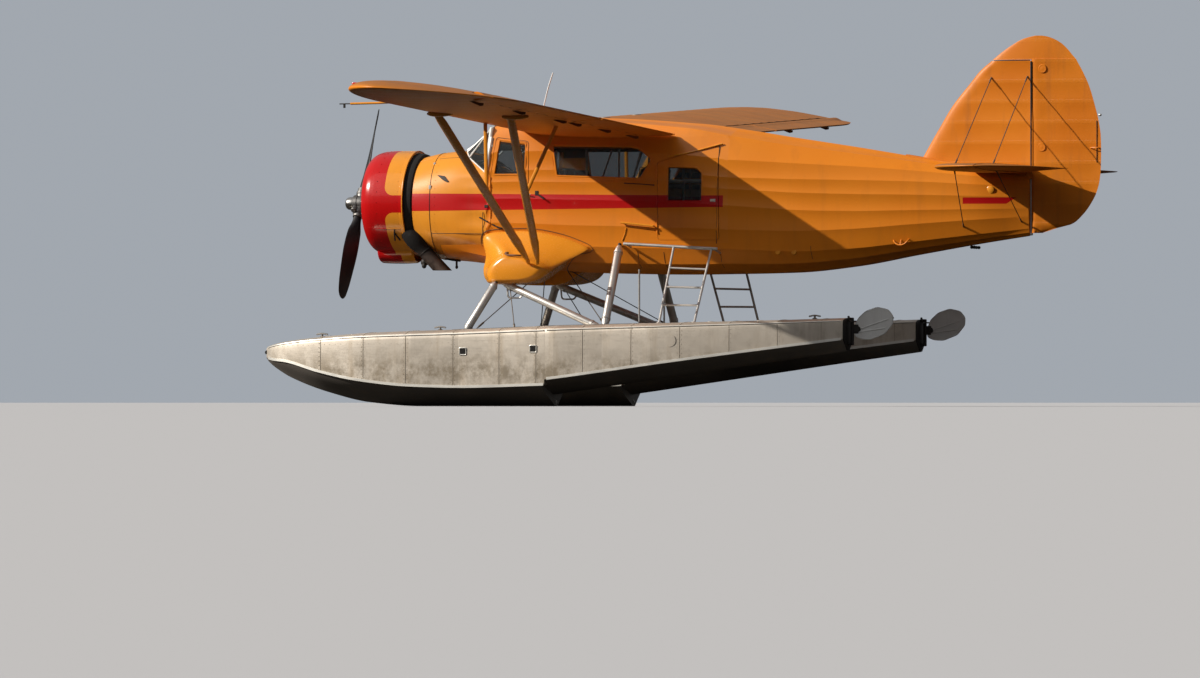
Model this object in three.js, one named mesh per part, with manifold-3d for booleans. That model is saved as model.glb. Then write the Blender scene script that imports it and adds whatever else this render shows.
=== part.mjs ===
// A single-engine high-wing bush plane on two floats, parked on its keels.
// Millimetres. +X is forward, +Y is to port, +Z is up. The flat of each keel rests on z = 0.
import * as THREE from 'three';
import { LoftGeometry } from 'three/addons/geometries/LoftGeometry.js';
import { mergeVertices } from 'three/addons/utils/BufferGeometryUtils.js';
import Module from 'manifold-3d';

const wasm = await Module();
wasm.setup();

// Driving dimensions
const GAP = 0.4; // between pieces that touch
const MOVING_GAP = 8; // around doors and control surfaces
const BOX_MIDDLE_X = 270; // middle of the whole aircraft, from bow bumper to rudder
const WALL = 45; // cabin walls, roof and doors
const GLASS = 8;

const THRUST_Z = 2528;
const PROP_X = 4740;
const PROP_RADIUS = 1370;
const HUB_TIP_X = 4930;
const COWL_RADIUS = 643;
const COWL_FRONT_X = 4540;

const NOSE_FRONT_X = 3840;
const FIREWALL_X = 3500;
const CABIN_REAR_X = -300;
const FLOOR_Z = 2000;
const SHOULDER_Z = 3330; // where the roof meets the walls

const WING_ROOT_Y = 640;
const WING_TIP_Y = 7850;
const WING_ROUND_Y = 6050; // where the rounded tip begins
const WING_LE_X = 2420;
const WING_CHORD = 2040;
const WING_ROOT_Z = 3450;
const WING_INCIDENCE = THREE.MathUtils.degToRad( 3 );
const WING_DIHEDRAL = THREE.MathUtils.degToRad( 2.75 );
const FLAP_HINGE_X = 750;
const HINGE_RADIUS = 51; // of a flap's or aileron's round front edge
const END_GAP = 15; // at each end of a flap or aileron
const FLAP_Y = [ 700, 3350 ];
const AILERON_Y = [ 3380, 6900 ];

const TAIL_Z = 2900; // tailplane
const TAIL_HALF_SPAN = 2450;
const TAIL_ROUND_Y = 1500; // where the rounded tip begins
const TAIL_LE_X = - 3290;
const ELEVATOR_HINGE_X = - 4030;
const TAIL_TE_X = - 4600;
const RUDDER_HINGE_X = - 4055;
const RUDDER_TE_X = - 4900;
const FIN_TOP_Z = 4235;
const FIN_THICKNESS = 100;

const FLOAT_Y = 1475; // middle of each float
const FLOAT_STEP_X = 1630;
const FLOAT_STERN_X = - 2120;

// Materials
const paint = ( color, roughness = 0.4, metalness = 0 ) =>
	new THREE.MeshStandardMaterial( { color, roughness, metalness } );
const yellow = paint( 0xe8930c );
const red = paint( 0xb5121b, 0.35 );
const bare = paint( 0xa9aaa6, 0.45, 0.9 );
const steel = paint( 0x8c8f92, 0.4, 0.8 );
const dark = paint( 0x2a2a2c, 0.5, 0.5 );
const rusty = paint( 0x3a2a24, 0.6, 0.6 );
const trim = paint( 0x5c4a3a, 0.8 );
const glass = new THREE.MeshStandardMaterial( {
	color: 0x9fb4bd, roughness: 0.05, transparent: true, opacity: 0.35
} );

const SIDES = [ { name: 'port', side: 1 }, { name: 'starboard', side: - 1 } ];
const aircraft = new THREE.Group();
aircraft.position.x = - BOX_MIDDLE_X;

// Turns a closed geometry into a solid with its faces outwards
function solid( geometry ) {

	const plain = new THREE.BufferGeometry().copy( geometry );
	plain.deleteAttribute( 'normal' );
	plain.deleteAttribute( 'uv' );
	const merged = mergeVertices( plain, 0.01 );
	const vertProperties = new Float32Array( merged.attributes.position.array );
	const triVerts = new Uint32Array( merged.index.array );
	if ( signedVolume( vertProperties, triVerts ) < 0 ) {

		for ( let i = 0; i < triVerts.length; i += 3 ) {

			[ triVerts[ i + 1 ], triVerts[ i + 2 ] ] = [ triVerts[ i + 2 ], triVerts[ i + 1 ] ];

		}

	}

	return new wasm.Manifold( new wasm.Mesh( { numProp: 3, vertProperties, triVerts } ) );

}

function signedVolume( points, triangles ) {

	const [ a, b, c ] = [ new THREE.Vector3(), new THREE.Vector3(), new THREE.Vector3() ];
	let sum = 0;
	for ( let i = 0; i < triangles.length; i += 3 ) {

		a.fromArray( points, 3 * triangles[ i ] );
		b.fromArray( points, 3 * triangles[ i + 1 ] );
		c.fromArray( points, 3 * triangles[ i + 2 ] );
		sum += a.dot( b.cross( c ) );

	}

	return sum;

}

// Adds a finished piece to the aircraft
function piece( name, shape, material ) {

	const mesh = shape.getMesh();
	const geometry = new THREE.BufferGeometry();
	geometry.setAttribute( 'position', new THREE.BufferAttribute( mesh.vertProperties, 3 ) );
	geometry.setIndex( new THREE.BufferAttribute( mesh.triVerts, 1 ) );
	geometry.computeVertexNormals();
	const node = new THREE.Mesh( geometry, material );
	node.name = name;
	aircraft.add( node );
	return shape;

}

// Shape helpers
const vector = p => new THREE.Vector3( ...p );

// A closed loft through rings of points, which are turned to run counterclockwise seen from its end
function loft( rings ) {

	const sections = rings.map( ring => ring.map( vector ) );
	const total = vectors => vectors.reduce( ( sum, p ) => sum.add( p ), new THREE.Vector3() );
	const middle = ring => total( ring ).divideScalar( ring.length );
	const along = middle( sections.at( - 1 ) ).sub( middle( sections[ 0 ] ) );
	const wide = sections[ 1 ];
	const facing = total( wide.map( ( p, i ) => p.clone().cross( wide.at( i - 1 ) ) ) );
	if ( facing.dot( along ) > 0 ) sections.forEach( ring => ring.reverse() );
	return solid( new LoftGeometry( sections, { capStart: true, capEnd: true } ) );

}

function block( [ x0, x1 ], [ y0, y1 ], [ z0, z1 ] ) {

	const box = new THREE.BoxGeometry( x1 - x0, Math.abs( y1 - y0 ), z1 - z0 );
	return solid( box.translate( ( x0 + x1 ) / 2, ( y0 + y1 ) / 2, ( z0 + z1 ) / 2 ) );

}

// A round bar from a to b
function bar( a, b, radius, sides = 10 ) {

	const [ from, to ] = [ vector( a ), vector( b ) ];
	const along = to.clone().sub( from );
	const tube = new THREE.CylinderGeometry( radius, radius, along.length(), sides );
	tube.applyQuaternion( new THREE.Quaternion().setFromUnitVectors( new THREE.Vector3( 0, 1, 0 ),
		along.clone().normalize() ) );
	return solid( tube.translate( ...from.add( to ).multiplyScalar( 0.5 ).toArray() ) );

}

// A streamlined strut from a to b, its chord along X
function fairedStrut( a, b, chord, thickness, sides = 12 ) {

	const along = vector( b ).sub( vector( a ) ).normalize();
	const fore = new THREE.Vector3( 1, 0, 0 ).addScaledVector( along, - along.x ).normalize();
	const across = fore.clone().cross( along );
	const ring = centre => Array.from( { length: sides }, ( _, i ) => {

		const t = i / sides * 2 * Math.PI;
		const blunt = Math.cos( t ) > 0 ? 0.8 : 1.2;
		return vector( centre ).addScaledVector( fore, Math.cos( t ) * blunt * chord / 2 )
			.addScaledVector( across, Math.sin( t ) * thickness / 2 ).toArray();

	} );
	return loft( [ ring( a ), ring( b ) ] );

}

// An outline in the XZ plane, between two values of Y
function sidePanel( outline, y0, y1 ) {

	const shape = new THREE.Shape( outline.map( ( [ x, z ] ) => new THREE.Vector2( x, z ) ) );
	const depth = Math.abs( y1 - y0 );
	const panel = new THREE.ExtrudeGeometry( shape, { depth, bevelEnabled: false } );
	return solid( panel.rotateX( Math.PI / 2 ).translate( 0, Math.max( y0, y1 ), 0 ) );

}

// An outline in the XY plane, between two values of Z
function planPanel( outline, z0, z1 ) {

	const shape = new THREE.Shape( outline.map( ( [ x, y ] ) => new THREE.Vector2( x, y ) ) );
	const panel = new THREE.ExtrudeGeometry( shape, { depth: z1 - z0, bevelEnabled: false } );
	return solid( panel.translate( 0, 0, z0 ) );

}

// A thin sheet under a surface given by its corners and triangles
function sheet( corners, triangles, thickness ) {

	const top = new THREE.BufferGeometry();
	top.setAttribute( 'position', new THREE.Float32BufferAttribute( corners.flat(), 3 ) );
	top.setIndex( triangles.flat() );
	top.computeVertexNormals();
	const normal = top.attributes.normal;
	const under = corners.map( ( p, i ) => vector( p ).addScaledVector(
		new THREE.Vector3().fromBufferAttribute( normal, i ), - thickness ).toArray() );
	const n = corners.length;
	const edges = new Set( triangles.flatMap( ( [ a, b, c ] ) => [ `${a},${b}`, `${b},${c}`, `${c},${a}` ] ) );
	const rim = [ ...edges ].filter( e => ! edges.has( e.split( ',' ).reverse().join() ) )
		.map( e => e.split( ',' ).map( Number ) );
	const faces = [
		...triangles,
		...triangles.map( ( [ a, b, c ] ) => [ c + n, b + n, a + n ] ),
		...rim.flatMap( ( [ a, b ] ) => [ [ b, a, a + n ], [ b, a + n, b + n ] ] ),
	];
	const closed = new THREE.BufferGeometry();
	closed.setAttribute( 'position', new THREE.Float32BufferAttribute( [ ...corners, ...under ].flat(), 3 ) );
	closed.setIndex( faces.flat() );
	return solid( closed );

}

const ALL_WAYS = [
	[ GAP, 0, 0 ], [ - GAP, 0, 0 ], [ 0, GAP, 0 ], [ 0, - GAP, 0 ], [ 0, 0, GAP ], [ 0, 0, - GAP ],
];
// Cuts a piece by its neighbours, and by the same neighbours moved by each of the given steps
function clearOf( shape, neighbours, steps = ALL_WAYS ) {

	for ( const neighbour of neighbours ) {

		shape = shape.subtract( neighbour );
		for ( const step of steps ) shape = shape.subtract( neighbour.translate( step ) );

	}

	return shape;

}

const join = shapes => shapes.reduce( ( all, shape ) => all.add( shape ) );
// The largest connected piece of a shape, without slivers that a cut left
const largest = shape => shape.decompose().reduce( ( a, b ) => ( a.volume() > b.volume() ? a : b ) );

// Fuselage sections: x, half width, belly z, top z, how square the lower and the upper half are
const NOSE = [
	{ x: NOSE_FRONT_X, half: 592, belly: 1900, top: 3098, low: 2.1, high: 2.1 },
	{ x: 3585, half: 625, belly: 1820, top: 3150, low: 2.3, high: 2.3 },
	{ x: 3300, half: 645, belly: 1800, top: 3175, low: 2.7, high: 2.6 },
	{ x: 2840, half: 660, belly: 1740, top: 3190, low: 3.6, high: 3.0 },
];
const BODY = [
	{ x: 2840, half: 660, belly: 1740, top: 3500, low: 3.6, high: 7 },
	{ x: 2400, half: 660, belly: 1705, top: 3540, low: 4, high: 7 },
	{ x: 1470, half: 660, belly: 1645, top: 3560, low: 4, high: 7 },
	{ x: 270, half: 660, belly: 1625, top: 3490, low: 4, high: 6 },
	{ x: - 300, half: 640, belly: 1630, top: 3415, low: 3.8, high: 4.5 },
	{ x: - 1030, half: 585, belly: 1645, top: 3302, low: 3.4, high: 3.4 },
	{ x: - 1800, half: 490, belly: 1720, top: 3184, low: 3, high: 3 },
	{ x: - 2580, half: 380, belly: 1857, top: 3054, low: 2.8, high: 2.8 },
	{ x: - 3400, half: 235, belly: 1995, top: 2920, low: 2.6, high: 2.6 },
	{ x: - 4000, half: 75, belly: 2085, top: 2830, low: 2.4, high: 2.4 },
];
const HULL_POINTS = 28;

function hull( sections, inset = 0 ) {

	return loft( sections.map( s => {

		const middle = ( s.belly + s.top ) / 2;
		const height = ( s.top - s.belly ) / 2 - inset;
		return Array.from( { length: HULL_POINTS }, ( _, i ) => {

			const t = ( i + 0.5 ) / HULL_POINTS * 2 * Math.PI;
			const power = 2 / ( Math.sin( t ) > 0 ? s.high : s.low );
			const round = value => Math.sign( value ) * Math.pow( Math.abs( value ), power );
			return [ s.x, ( s.half - inset ) * round( Math.cos( t ) ), middle + height * round( Math.sin( t ) ) ];

		} );

	} ) );

}

const noseShape = hull( NOSE );
const bodyShape = hull( BODY );
// The windscreen posts lean back, so the cabin's front edge is slanted
const SCREEN_SLANT = [ [ 2845, 2850 ], [ 2770, 3440 ], [ 2755, 3600 ], [ 3000, 3600 ], [ 3000, 2850 ] ];
const screenSlant = sidePanel( SCREEN_SLANT, - 800, 800 );
const cabinShape = bodyShape.subtract( screenSlant );
const fuselage = noseShape.add( cabinShape );
const hollow = hull( NOSE, WALL ).add( hull( BODY, WALL ).translate( [ 10, 0, 0 ] ) );

// Windscreen corners on the port side: foot, side, post and roof
const SCREEN = {
	footMiddle: [ 3315, 0, 3172 ], foot: [ 3205, 300, 3140 ], bend: [ 3120, 470, 3070 ],
	side: [ 2850, 632, 2880 ],
	post: [ 2778, 600, 3440 ], roof: [ 2768, 330, 3520 ], roofMiddle: [ 2766, 0, 3535 ],
};
const screenOpening = planPanel( [
	[ 3315, 0 ], [ 3205, 300 ], [ 3120, 470 ], [ 2850, 632 ], [ 2700, 632 ],
	[ 2700, - 632 ], [ 2850, - 632 ], [ 3120, - 470 ], [ 3205, - 300 ],
], 2700, 3300 );

// Door and window outlines, as x and z
const PILOT_DOOR = [
	[ 2780, 2185 ], [ 2780, 2840 ], [ 2716, 3300 ], [ 2700, 3318 ], [ 2290, 3268 ], [ 2290, 2185 ],
];
const PILOT_WINDOW = [ [ 2735, 2868 ], [ 2335, 2868 ], [ 2325, 3245 ], [ 2668, 3290 ] ];
const CABIN_DOOR = [ [ 600, 2040 ], [ 600, 3010 ], [ - 180, 3205 ], [ - 180, 2040 ] ];
const DOOR_WINDOW = [ [ 475, 2528 ], [ 465, 2952 ], [ 100, 2935 ], [ 25, 2870 ], [ 30, 2523 ] ];
const CABIN_WINDOW = [
	[ 1915, 2850 ], [ 1970, 3222 ], [ 950, 3205 ], [ 845, 3180 ], [ 680, 3042 ], [ 830, 2808 ],
];

// The outline moved outwards by a distance, or inwards where it is negative
function grown( outline, distance ) {

	const points = outline.map( p => new THREE.Vector2( ...p ) );
	const turn = Math.sign( THREE.ShapeUtils.area( points ) );
	const edgeNormal = ( a, b ) => new THREE.Vector2( b.y - a.y, a.x - b.x ).normalize().multiplyScalar( turn );
	return points.map( ( p, i ) => {

		const before = edgeNormal( points.at( i - 1 ), p );
		const after = edgeNormal( p, points[ ( i + 1 ) % points.length ] );
		const corner = before.clone().add( after );
		return p.clone().addScaledVector( corner, distance / ( 1 + before.dot( after ) ) ).toArray();

	} );

}

// Nose section, from behind the ring cowl to the firewall
const ahead = block( [ FIREWALL_X + GAP, 4000 ], [ - 900, 900 ], [ 1500, 3500 ] );
piece( 'nose_section', noseShape.intersect( ahead ), yellow );

// Cabin floor, walls and roof
const CABIN_X = [ CABIN_REAR_X, FIREWALL_X ];
const slab = ( z0, z1, y0 = - 900, y1 = 900 ) => block( CABIN_X, [ y0, y1 ], [ z0, z1 ] );
piece( 'cabin_floor', fuselage.intersect( slab( 1500, FLOOR_Z - GAP ) ), yellow );
const shell = fuselage.subtract( hollow ).subtract( screenOpening );
piece( 'cabin_roof', shell.intersect( slab( SHOULDER_Z + GAP, 3700 ) ), yellow );

for ( const { name, side } of SIDES ) {

	const half = shell.intersect( slab( FLOOR_Z, SHOULDER_Z, 2 * side, 900 * side ) );
	const panel = outline => sidePanel( outline, 300 * side, 900 * side );
	const wall = half.subtract( panel( grown( PILOT_DOOR, MOVING_GAP ) ) )
		.subtract( panel( grown( CABIN_DOOR, MOVING_GAP ) ) )
		.subtract( panel( CABIN_WINDOW ) );
	piece( `${name}_cabin_wall`, largest( wall ), yellow );

	const doors = [
		{ node: 'pilot_door', outline: PILOT_DOOR, window: PILOT_WINDOW },
		{ node: 'cabin_door', outline: CABIN_DOOR, window: DOOR_WINDOW },
	];
	for ( const { node, outline, window } of doors ) {

		const door = half.intersect( panel( outline ) ).subtract( panel( window ) );
		piece( `${name}_${node}`, largest( door ), yellow );
		piece( `${name}_${node}_glass`, pane( window, side ), glass );

	}

	piece( `${name}_cabin_window`, pane( CABIN_WINDOW, side ), glass );

}

// A window pane in the middle of the wall's thickness, following the wall
function pane( outline, side ) {

	const outer = hull( BODY, WALL / 2 - GLASS / 2 );
	const inner = hull( BODY, WALL / 2 + GLASS / 2 );
	const cut = sidePanel( grown( outline, - GAP ), 300 * side, 900 * side );
	return largest( outer.subtract( inner ).intersect( cut ) );

}

// Windscreen, one folded sheet, and the tubes outside its corners
const mirrored = ( [ x, y, z ] ) => [ x, - y, z ];
const { footMiddle, foot, bend, side: sideCorner, post, roof, roofMiddle } = SCREEN;
const corners = [ footMiddle, foot, bend, sideCorner, post, roof, roofMiddle,
	mirrored( foot ), mirrored( bend ), mirrored( sideCorner ), mirrored( post ), mirrored( roof ) ];
const screenFaces = [
	[ 0, 1, 5 ], [ 0, 5, 6 ], [ 1, 2, 5 ], [ 2, 3, 4 ], [ 2, 4, 5 ],
	[ 0, 11, 7 ], [ 0, 6, 11 ], [ 7, 11, 8 ], [ 8, 10, 9 ], [ 8, 11, 10 ],
];
const screenSheet = sheet( corners, screenFaces, GLASS );
const screen = largest( clearOf( screenSheet, [ fuselage ], [ [ GAP, 0, 0 ], [ 0, 0, GAP ] ] ) );
piece( 'windscreen_glass', screen, glass );
const lifted = ( [ x, y, z ], by = 18 ) => [ x + by * 0.4, y + Math.sign( y ) * by * 0.3, z + by * 0.9 ];
const frameEdges = [
	[ footMiddle, roofMiddle ], [ footMiddle, foot ], [ foot, bend ], [ bend, sideCorner ],
	[ foot, roof ], [ sideCorner, post ], [ post, roof ], [ roof, roofMiddle ],
];
const frameBars = frameEdges.flatMap( ( [ a, b ] ) => [ bar( lifted( a ), lifted( b ), 15, 6 ),
	bar( lifted( mirrored( a ) ), lifted( mirrored( b ) ), 15, 6 ) ] );
const frameSteps = [ [ GAP, 0, 0 ], [ 0, 0, GAP ], [ 0, 0, - GAP ] ];
const frameSolid = clearOf( join( frameBars ), [ screen, fuselage ], frameSteps );
piece( 'windscreen_frame', largest( frameSolid ), bare );

// Cabin furniture: panel, seats
const panelSlab = block( [ 3080, 3110 ], [ - 700, 700 ], [ 2480, 3010 ] );
piece( 'instrument_panel', hull( NOSE, WALL + 3 ).intersect( panelSlab ), dark );
const SEATS = [
	{ node: 'pilot_seat', x: 2150, y: [ 100, 510 ] },
	{ node: 'copilot_seat', x: 2150, y: [ - 510, - 100 ] },
	{ node: 'rear_bench', x: 900, y: [ - 510, 510 ] },
];
for ( const { node, x, y } of SEATS ) {

	const outline = [ [ x, FLOOR_Z + GAP ], [ x + 430, FLOOR_Z + GAP ], [ x + 480, 2440 ], [ x + 110, 2440 ],
		[ x + 10, 2980 ], [ x - 80, 2980 ], [ x - 10, 2400 ] ];
	piece( node, sidePanel( outline, ...y ), trim );

}

// Rear fuselage, solid behind the cabin
const rear = bodyShape.intersect( block( [ - 4100, CABIN_REAR_X - GAP ], [ - 900, 900 ], [ 1500, 3700 ] ) );
piece( 'rear_fuselage', rear, yellow );

// Ring cowl with its chin scoop
const cowlProfile = [
	[ COWL_RADIUS - 22, 3955 ], [ COWL_RADIUS, 3955 ], [ COWL_RADIUS + 3, 4250 ], [ COWL_RADIUS - 6, 4390 ],
	[ COWL_RADIUS - 40, 4480 ], [ COWL_RADIUS - 90, 4528 ], [ COWL_RADIUS - 145, COWL_FRONT_X ],
	[ COWL_RADIUS - 185, 4528 ], [ COWL_RADIUS - 190, 4500 ], [ COWL_RADIUS - 120, 4470 ],
	[ COWL_RADIUS - 60, 4400 ], [ COWL_RADIUS - 28, 4300 ],
];
const COWL_SIDES = 36;
function turned( profile, sides, z = THRUST_Z ) {

	const points = profile.map( ( [ r, x ] ) => new THREE.Vector2( r, x ) );
	const lathe = new THREE.LatheGeometry( [ ...points, points[ 0 ].clone() ], sides );
	return solid( lathe.rotateZ( - Math.PI / 2 ).translate( 0, 0, z ) );

}

const SCOOP = { half: 230, front: 4430, rear: 3965, bottom: 1775 };
const scoopOuter = block( [ SCOOP.rear, SCOOP.front ], [ - SCOOP.half, SCOOP.half ], [ SCOOP.bottom, 2100 ] );
const scoopMouth = block( [ SCOOP.rear + 60, SCOOP.front + 50 ], [ - SCOOP.half + 22, SCOOP.half - 22 ],
	[ SCOOP.bottom + 22, 2100 ] );
const cowlFill = turned( [
	[ 0, NOSE_FRONT_X ], [ COWL_RADIUS - 10, NOSE_FRONT_X ], [ COWL_RADIUS - 10, 4420 ],
	[ COWL_RADIUS - 118, 4560 ], [ 0, 4560 ],
], COWL_SIDES );
const scoop = scoopOuter.subtract( scoopMouth ).subtract( cowlFill );
const cowl = piece( 'engine_cowl', largest( turned( cowlProfile, COWL_SIDES ).add( scoop ) ), red );

// Nine-cylinder radial engine: crankcase, cylinders and the mount ring behind
const CYLINDERS = 9;
const cylinderHeads = Array.from( { length: CYLINDERS }, ( _, i ) => {

	const t = i / CYLINDERS * 2 * Math.PI;
	const at = r => [ 4240, r * Math.sin( t ), THRUST_Z + r * Math.cos( t ) ];
	return bar( at( 200 ), at( 565 ), 85, 12 );

} );
const crankcase = turned( [
	[ 0, NOSE_FRONT_X + 1 ], [ 300, NOSE_FRONT_X + 1 ], [ 300, 4330 ], [ 210, 4470 ],
	[ 120, 4600 ], [ 0, 4600 ],
], 24 );
piece( 'engine', join( [ crankcase, ...cylinderHeads ] ), steel );

// Exhaust pipe, low on the port side, from the cowl's rear gap down and out
const EXHAUST = { from: [ 3935, 400, 2135 ], to: [ 3430, 400, 1600 ], radius: 93 };
const exhaustCut = block( [ 3000, 3800 ], [ 200, 700 ], [ 1400, 1683 ] );
const exhaustBore = bar( [ 3664, 400, 1848 ], [ 3430, 400, 1600 ], EXHAUST.radius - 15, 16 );
const pipe = bar( EXHAUST.from, EXHAUST.to, EXHAUST.radius, 16 ).subtract( exhaustCut.add( exhaustBore ) );
piece( 'exhaust_pipe', largest( clearOf( pipe, [ noseShape, crankcase, cowl ] ) ), rusty );

// Propeller: hub with two counterweights and two twisted blades
const PROP_TURN = THREE.MathUtils.degToRad( 30 ); // from upright, the lower blade towards port
// Blade stations: radius, chord, thickness, pitch in degrees; the upper blade turns to starboard
const BLADE = [
	{ r: 60, chord: 90, thick: 88, pitch: 50 }, { r: 260, chord: 110, thick: 80, pitch: 46 },
	{ r: 430, chord: 190, thick: 46, pitch: 38 }, { r: 750, chord: 235, thick: 28, pitch: 28 },
	{ r: 1080, chord: 215, thick: 17, pitch: 21 }, { r: 1290, chord: 160, thick: 12, pitch: 18 },
	{ r: PROP_RADIUS, chord: 60, thick: 8, pitch: 17 },
];
function blade( turn ) {

	return loft( BLADE.map( ( { r, chord, thick, pitch } ) => Array.from( { length: 12 }, ( _, i ) => {

		const t = i / 12 * 2 * Math.PI;
		const lean = THREE.MathUtils.degToRad( pitch - 90 );
		const [ u, v ] = [ Math.cos( t ) * chord / 2, Math.sin( t ) * thick / 2 ];
		const across = u * Math.sin( lean ) + v * Math.cos( lean );
		const fore = u * Math.cos( lean ) - v * Math.sin( lean );
		return [ PROP_X + fore, across * Math.cos( turn ) - r * Math.sin( turn ),
			THRUST_Z + across * Math.sin( turn ) + r * Math.cos( turn ) ];

	} ) ) );

}

const hub = turned( [
	[ 0, 4606 ], [ 92, 4606 ], [ 92, 4670 ], [ 105, 4690 ], [ 105, 4810 ], [ 82, 4822 ], [ 82, 4900 ],
	[ 60, 4922 ], [ 0, HUB_TIP_X ],
], 24 );
const weight = turn => {

	const at = r => [ PROP_X + 35, - r * Math.sin( turn ), THRUST_Z + r * Math.cos( turn ) ];
	return bar( at( 60 ), at( 185 ), 34, 10 );

};

piece( 'propeller', join( [ hub, blade( PROP_TURN ), blade( PROP_TURN + Math.PI ),
	weight( PROP_TURN + 0.55 ), weight( PROP_TURN + 0.55 + Math.PI ) ] ), dark );

// Wing sections: an airfoil as x and z shares of the chord, from the trailing edge over the top and back
const AIRFOIL = [
	[ 1, 0.004 ], [ 0.85, 0.026 ], [ 0.7, 0.048 ], [ 0.5, 0.071 ], [ 0.32, 0.081 ], [ 0.18, 0.074 ],
	[ 0.08, 0.056 ], [ 0.025, 0.032 ], [ 0, 0 ], [ 0.025, - 0.021 ], [ 0.08, - 0.033 ], [ 0.18, - 0.041 ],
	[ 0.35, - 0.044 ], [ 0.6, - 0.037 ], [ 0.8, - 0.022 ], [ 1, - 0.004 ],
];
function wingRing( y, side ) {

	const past = Math.max( 0, ( y - WING_ROUND_Y ) / ( WING_TIP_Y - WING_ROUND_Y ) );
	const chord = WING_CHORD * Math.max( 0.12, Math.sqrt( 1 - past * past ) );
	const front = WING_LE_X - ( WING_CHORD - chord ) * 0.36;
	const rise = WING_ROOT_Z + ( y - WING_ROOT_Y ) * Math.tan( WING_DIHEDRAL );
	return AIRFOIL.map( ( [ u, v ] ) => [ front - chord * u, y * side,
		rise - ( WING_LE_X - front + chord * u ) * Math.sin( WING_INCIDENCE ) + chord * v ] );

}

const WING_STATIONS = [ WING_ROOT_Y, 3365, WING_ROUND_Y, 6550, 6950, 7300, 7550, 7720, 7810, WING_TIP_Y ];
const hingeZ = y => WING_ROOT_Z + ( y - WING_ROOT_Y ) * Math.tan( WING_DIHEDRAL )
	- ( WING_LE_X - FLAP_HINGE_X ) * Math.sin( WING_INCIDENCE ) + 10;

// The round nose of a flap or aileron, or with a gap the cove that it turns in
function hingeBar( [ y0, y1 ], side, radius ) {

	const [ from, to ] = [ y0, y1 ].map( y => [ FLAP_HINGE_X, y * side, hingeZ( y ) ] );
	return bar( from, to, radius, 20 );

}

const wings = {};
for ( const { name, side } of SIDES ) {

	const full = loft( WING_STATIONS.map( y => wingRing( y, side ) ) );
	const behind = ( [ y0, y1 ] ) => block( [ 0, FLAP_HINGE_X ], [ y0 * side, y1 * side ], [ 2900, 4200 ] );
	let wing = clearOf( full, [ fuselage ], [ [ 0, - GAP * side, 0 ], [ 0, GAP * side, 0 ] ] );
	for ( const [ node, span ] of [ [ 'flap', FLAP_Y ], [ 'aileron', AILERON_Y ] ] ) {

		const surface = full.intersect( behind( span ) ).add( hingeBar( span, side, HINGE_RADIUS ) );
		piece( `${name}_${node}`, surface, yellow );
		const open = [ span[ 0 ] - END_GAP, span[ 1 ] + END_GAP ];
		wing = wing.subtract( behind( open ) ).subtract( hingeBar( open, side, HINGE_RADIUS + MOVING_GAP ) );

	}

	wings[ name ] = piece( `${name}_wing`, largest( wing ), yellow );

}

// Stub fairings beside the cabin, which carry the lift struts and the front float struts
// Outline at the fuselage as x and z, and at the outer end as x and z
const STUB = [
	{ root: [ 2880, 1690 ], tip: [ 2690, 1655 ] }, { root: [ 2850, 1850 ], tip: [ 2630, 1765 ] },
	{ root: [ 2870, 2110 ], tip: [ 2470, 1880 ] }, { root: [ 2550, 2160 ], tip: [ 2350, 1860 ] },
	{ root: [ 2200, 2155 ], tip: [ 2180, 1840 ] }, { root: [ 1900, 2100 ], tip: [ 2060, 1800 ] },
	{ root: [ 1680, 2030 ], tip: [ 1950, 1750 ] }, { root: [ 1500, 1940 ], tip: [ 1880, 1690 ] },
	{ root: [ 1690, 1895 ], tip: [ 1910, 1630 ] }, { root: [ 1850, 1760 ], tip: [ 1990, 1570 ] },
	{ root: [ 2050, 1610 ], tip: [ 2110, 1530 ] }, { root: [ 2260, 1515 ], tip: [ 2270, 1512 ] },
	{ root: [ 2740, 1510 ], tip: [ 2610, 1510 ] }, { root: [ 2850, 1570 ], tip: [ 2680, 1565 ] },
];
// Stations outwards: y, share of the way from root to tip, size about the middle
const STUB_STATIONS = [
	{ y: 430, share: 0, size: 1 }, { y: 660, share: 0, size: 1 }, { y: 820, share: 0.3, size: 1 },
	{ y: 980, share: 0.72, size: 1 }, { y: 1090, share: 1, size: 1 }, { y: 1150, share: 1, size: 0.86 },
	{ y: 1180, share: 1, size: 0.6 },
];
const STUB_MIDDLE = [ 2290, 1680 ];
const stubs = {};
for ( const { name, side } of SIDES ) {

	const rings = STUB_STATIONS.map( ( { y, share, size } ) => STUB.map( ( { root, tip } ) => {

		const [ x, z ] = [ 0, 1 ].map( i => {

			const at = root[ i ] + ( tip[ i ] - root[ i ] ) * share;
			return STUB_MIDDLE[ i ] + ( at - STUB_MIDDLE[ i ] ) * size;

		} );
		return [ x, y * side, z ];

	} ) );
	stubs[ name ] = piece( `${name}_stub_fairing`, largest( clearOf( loft( rings ), [ fuselage ] ) ), yellow );

}

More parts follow.
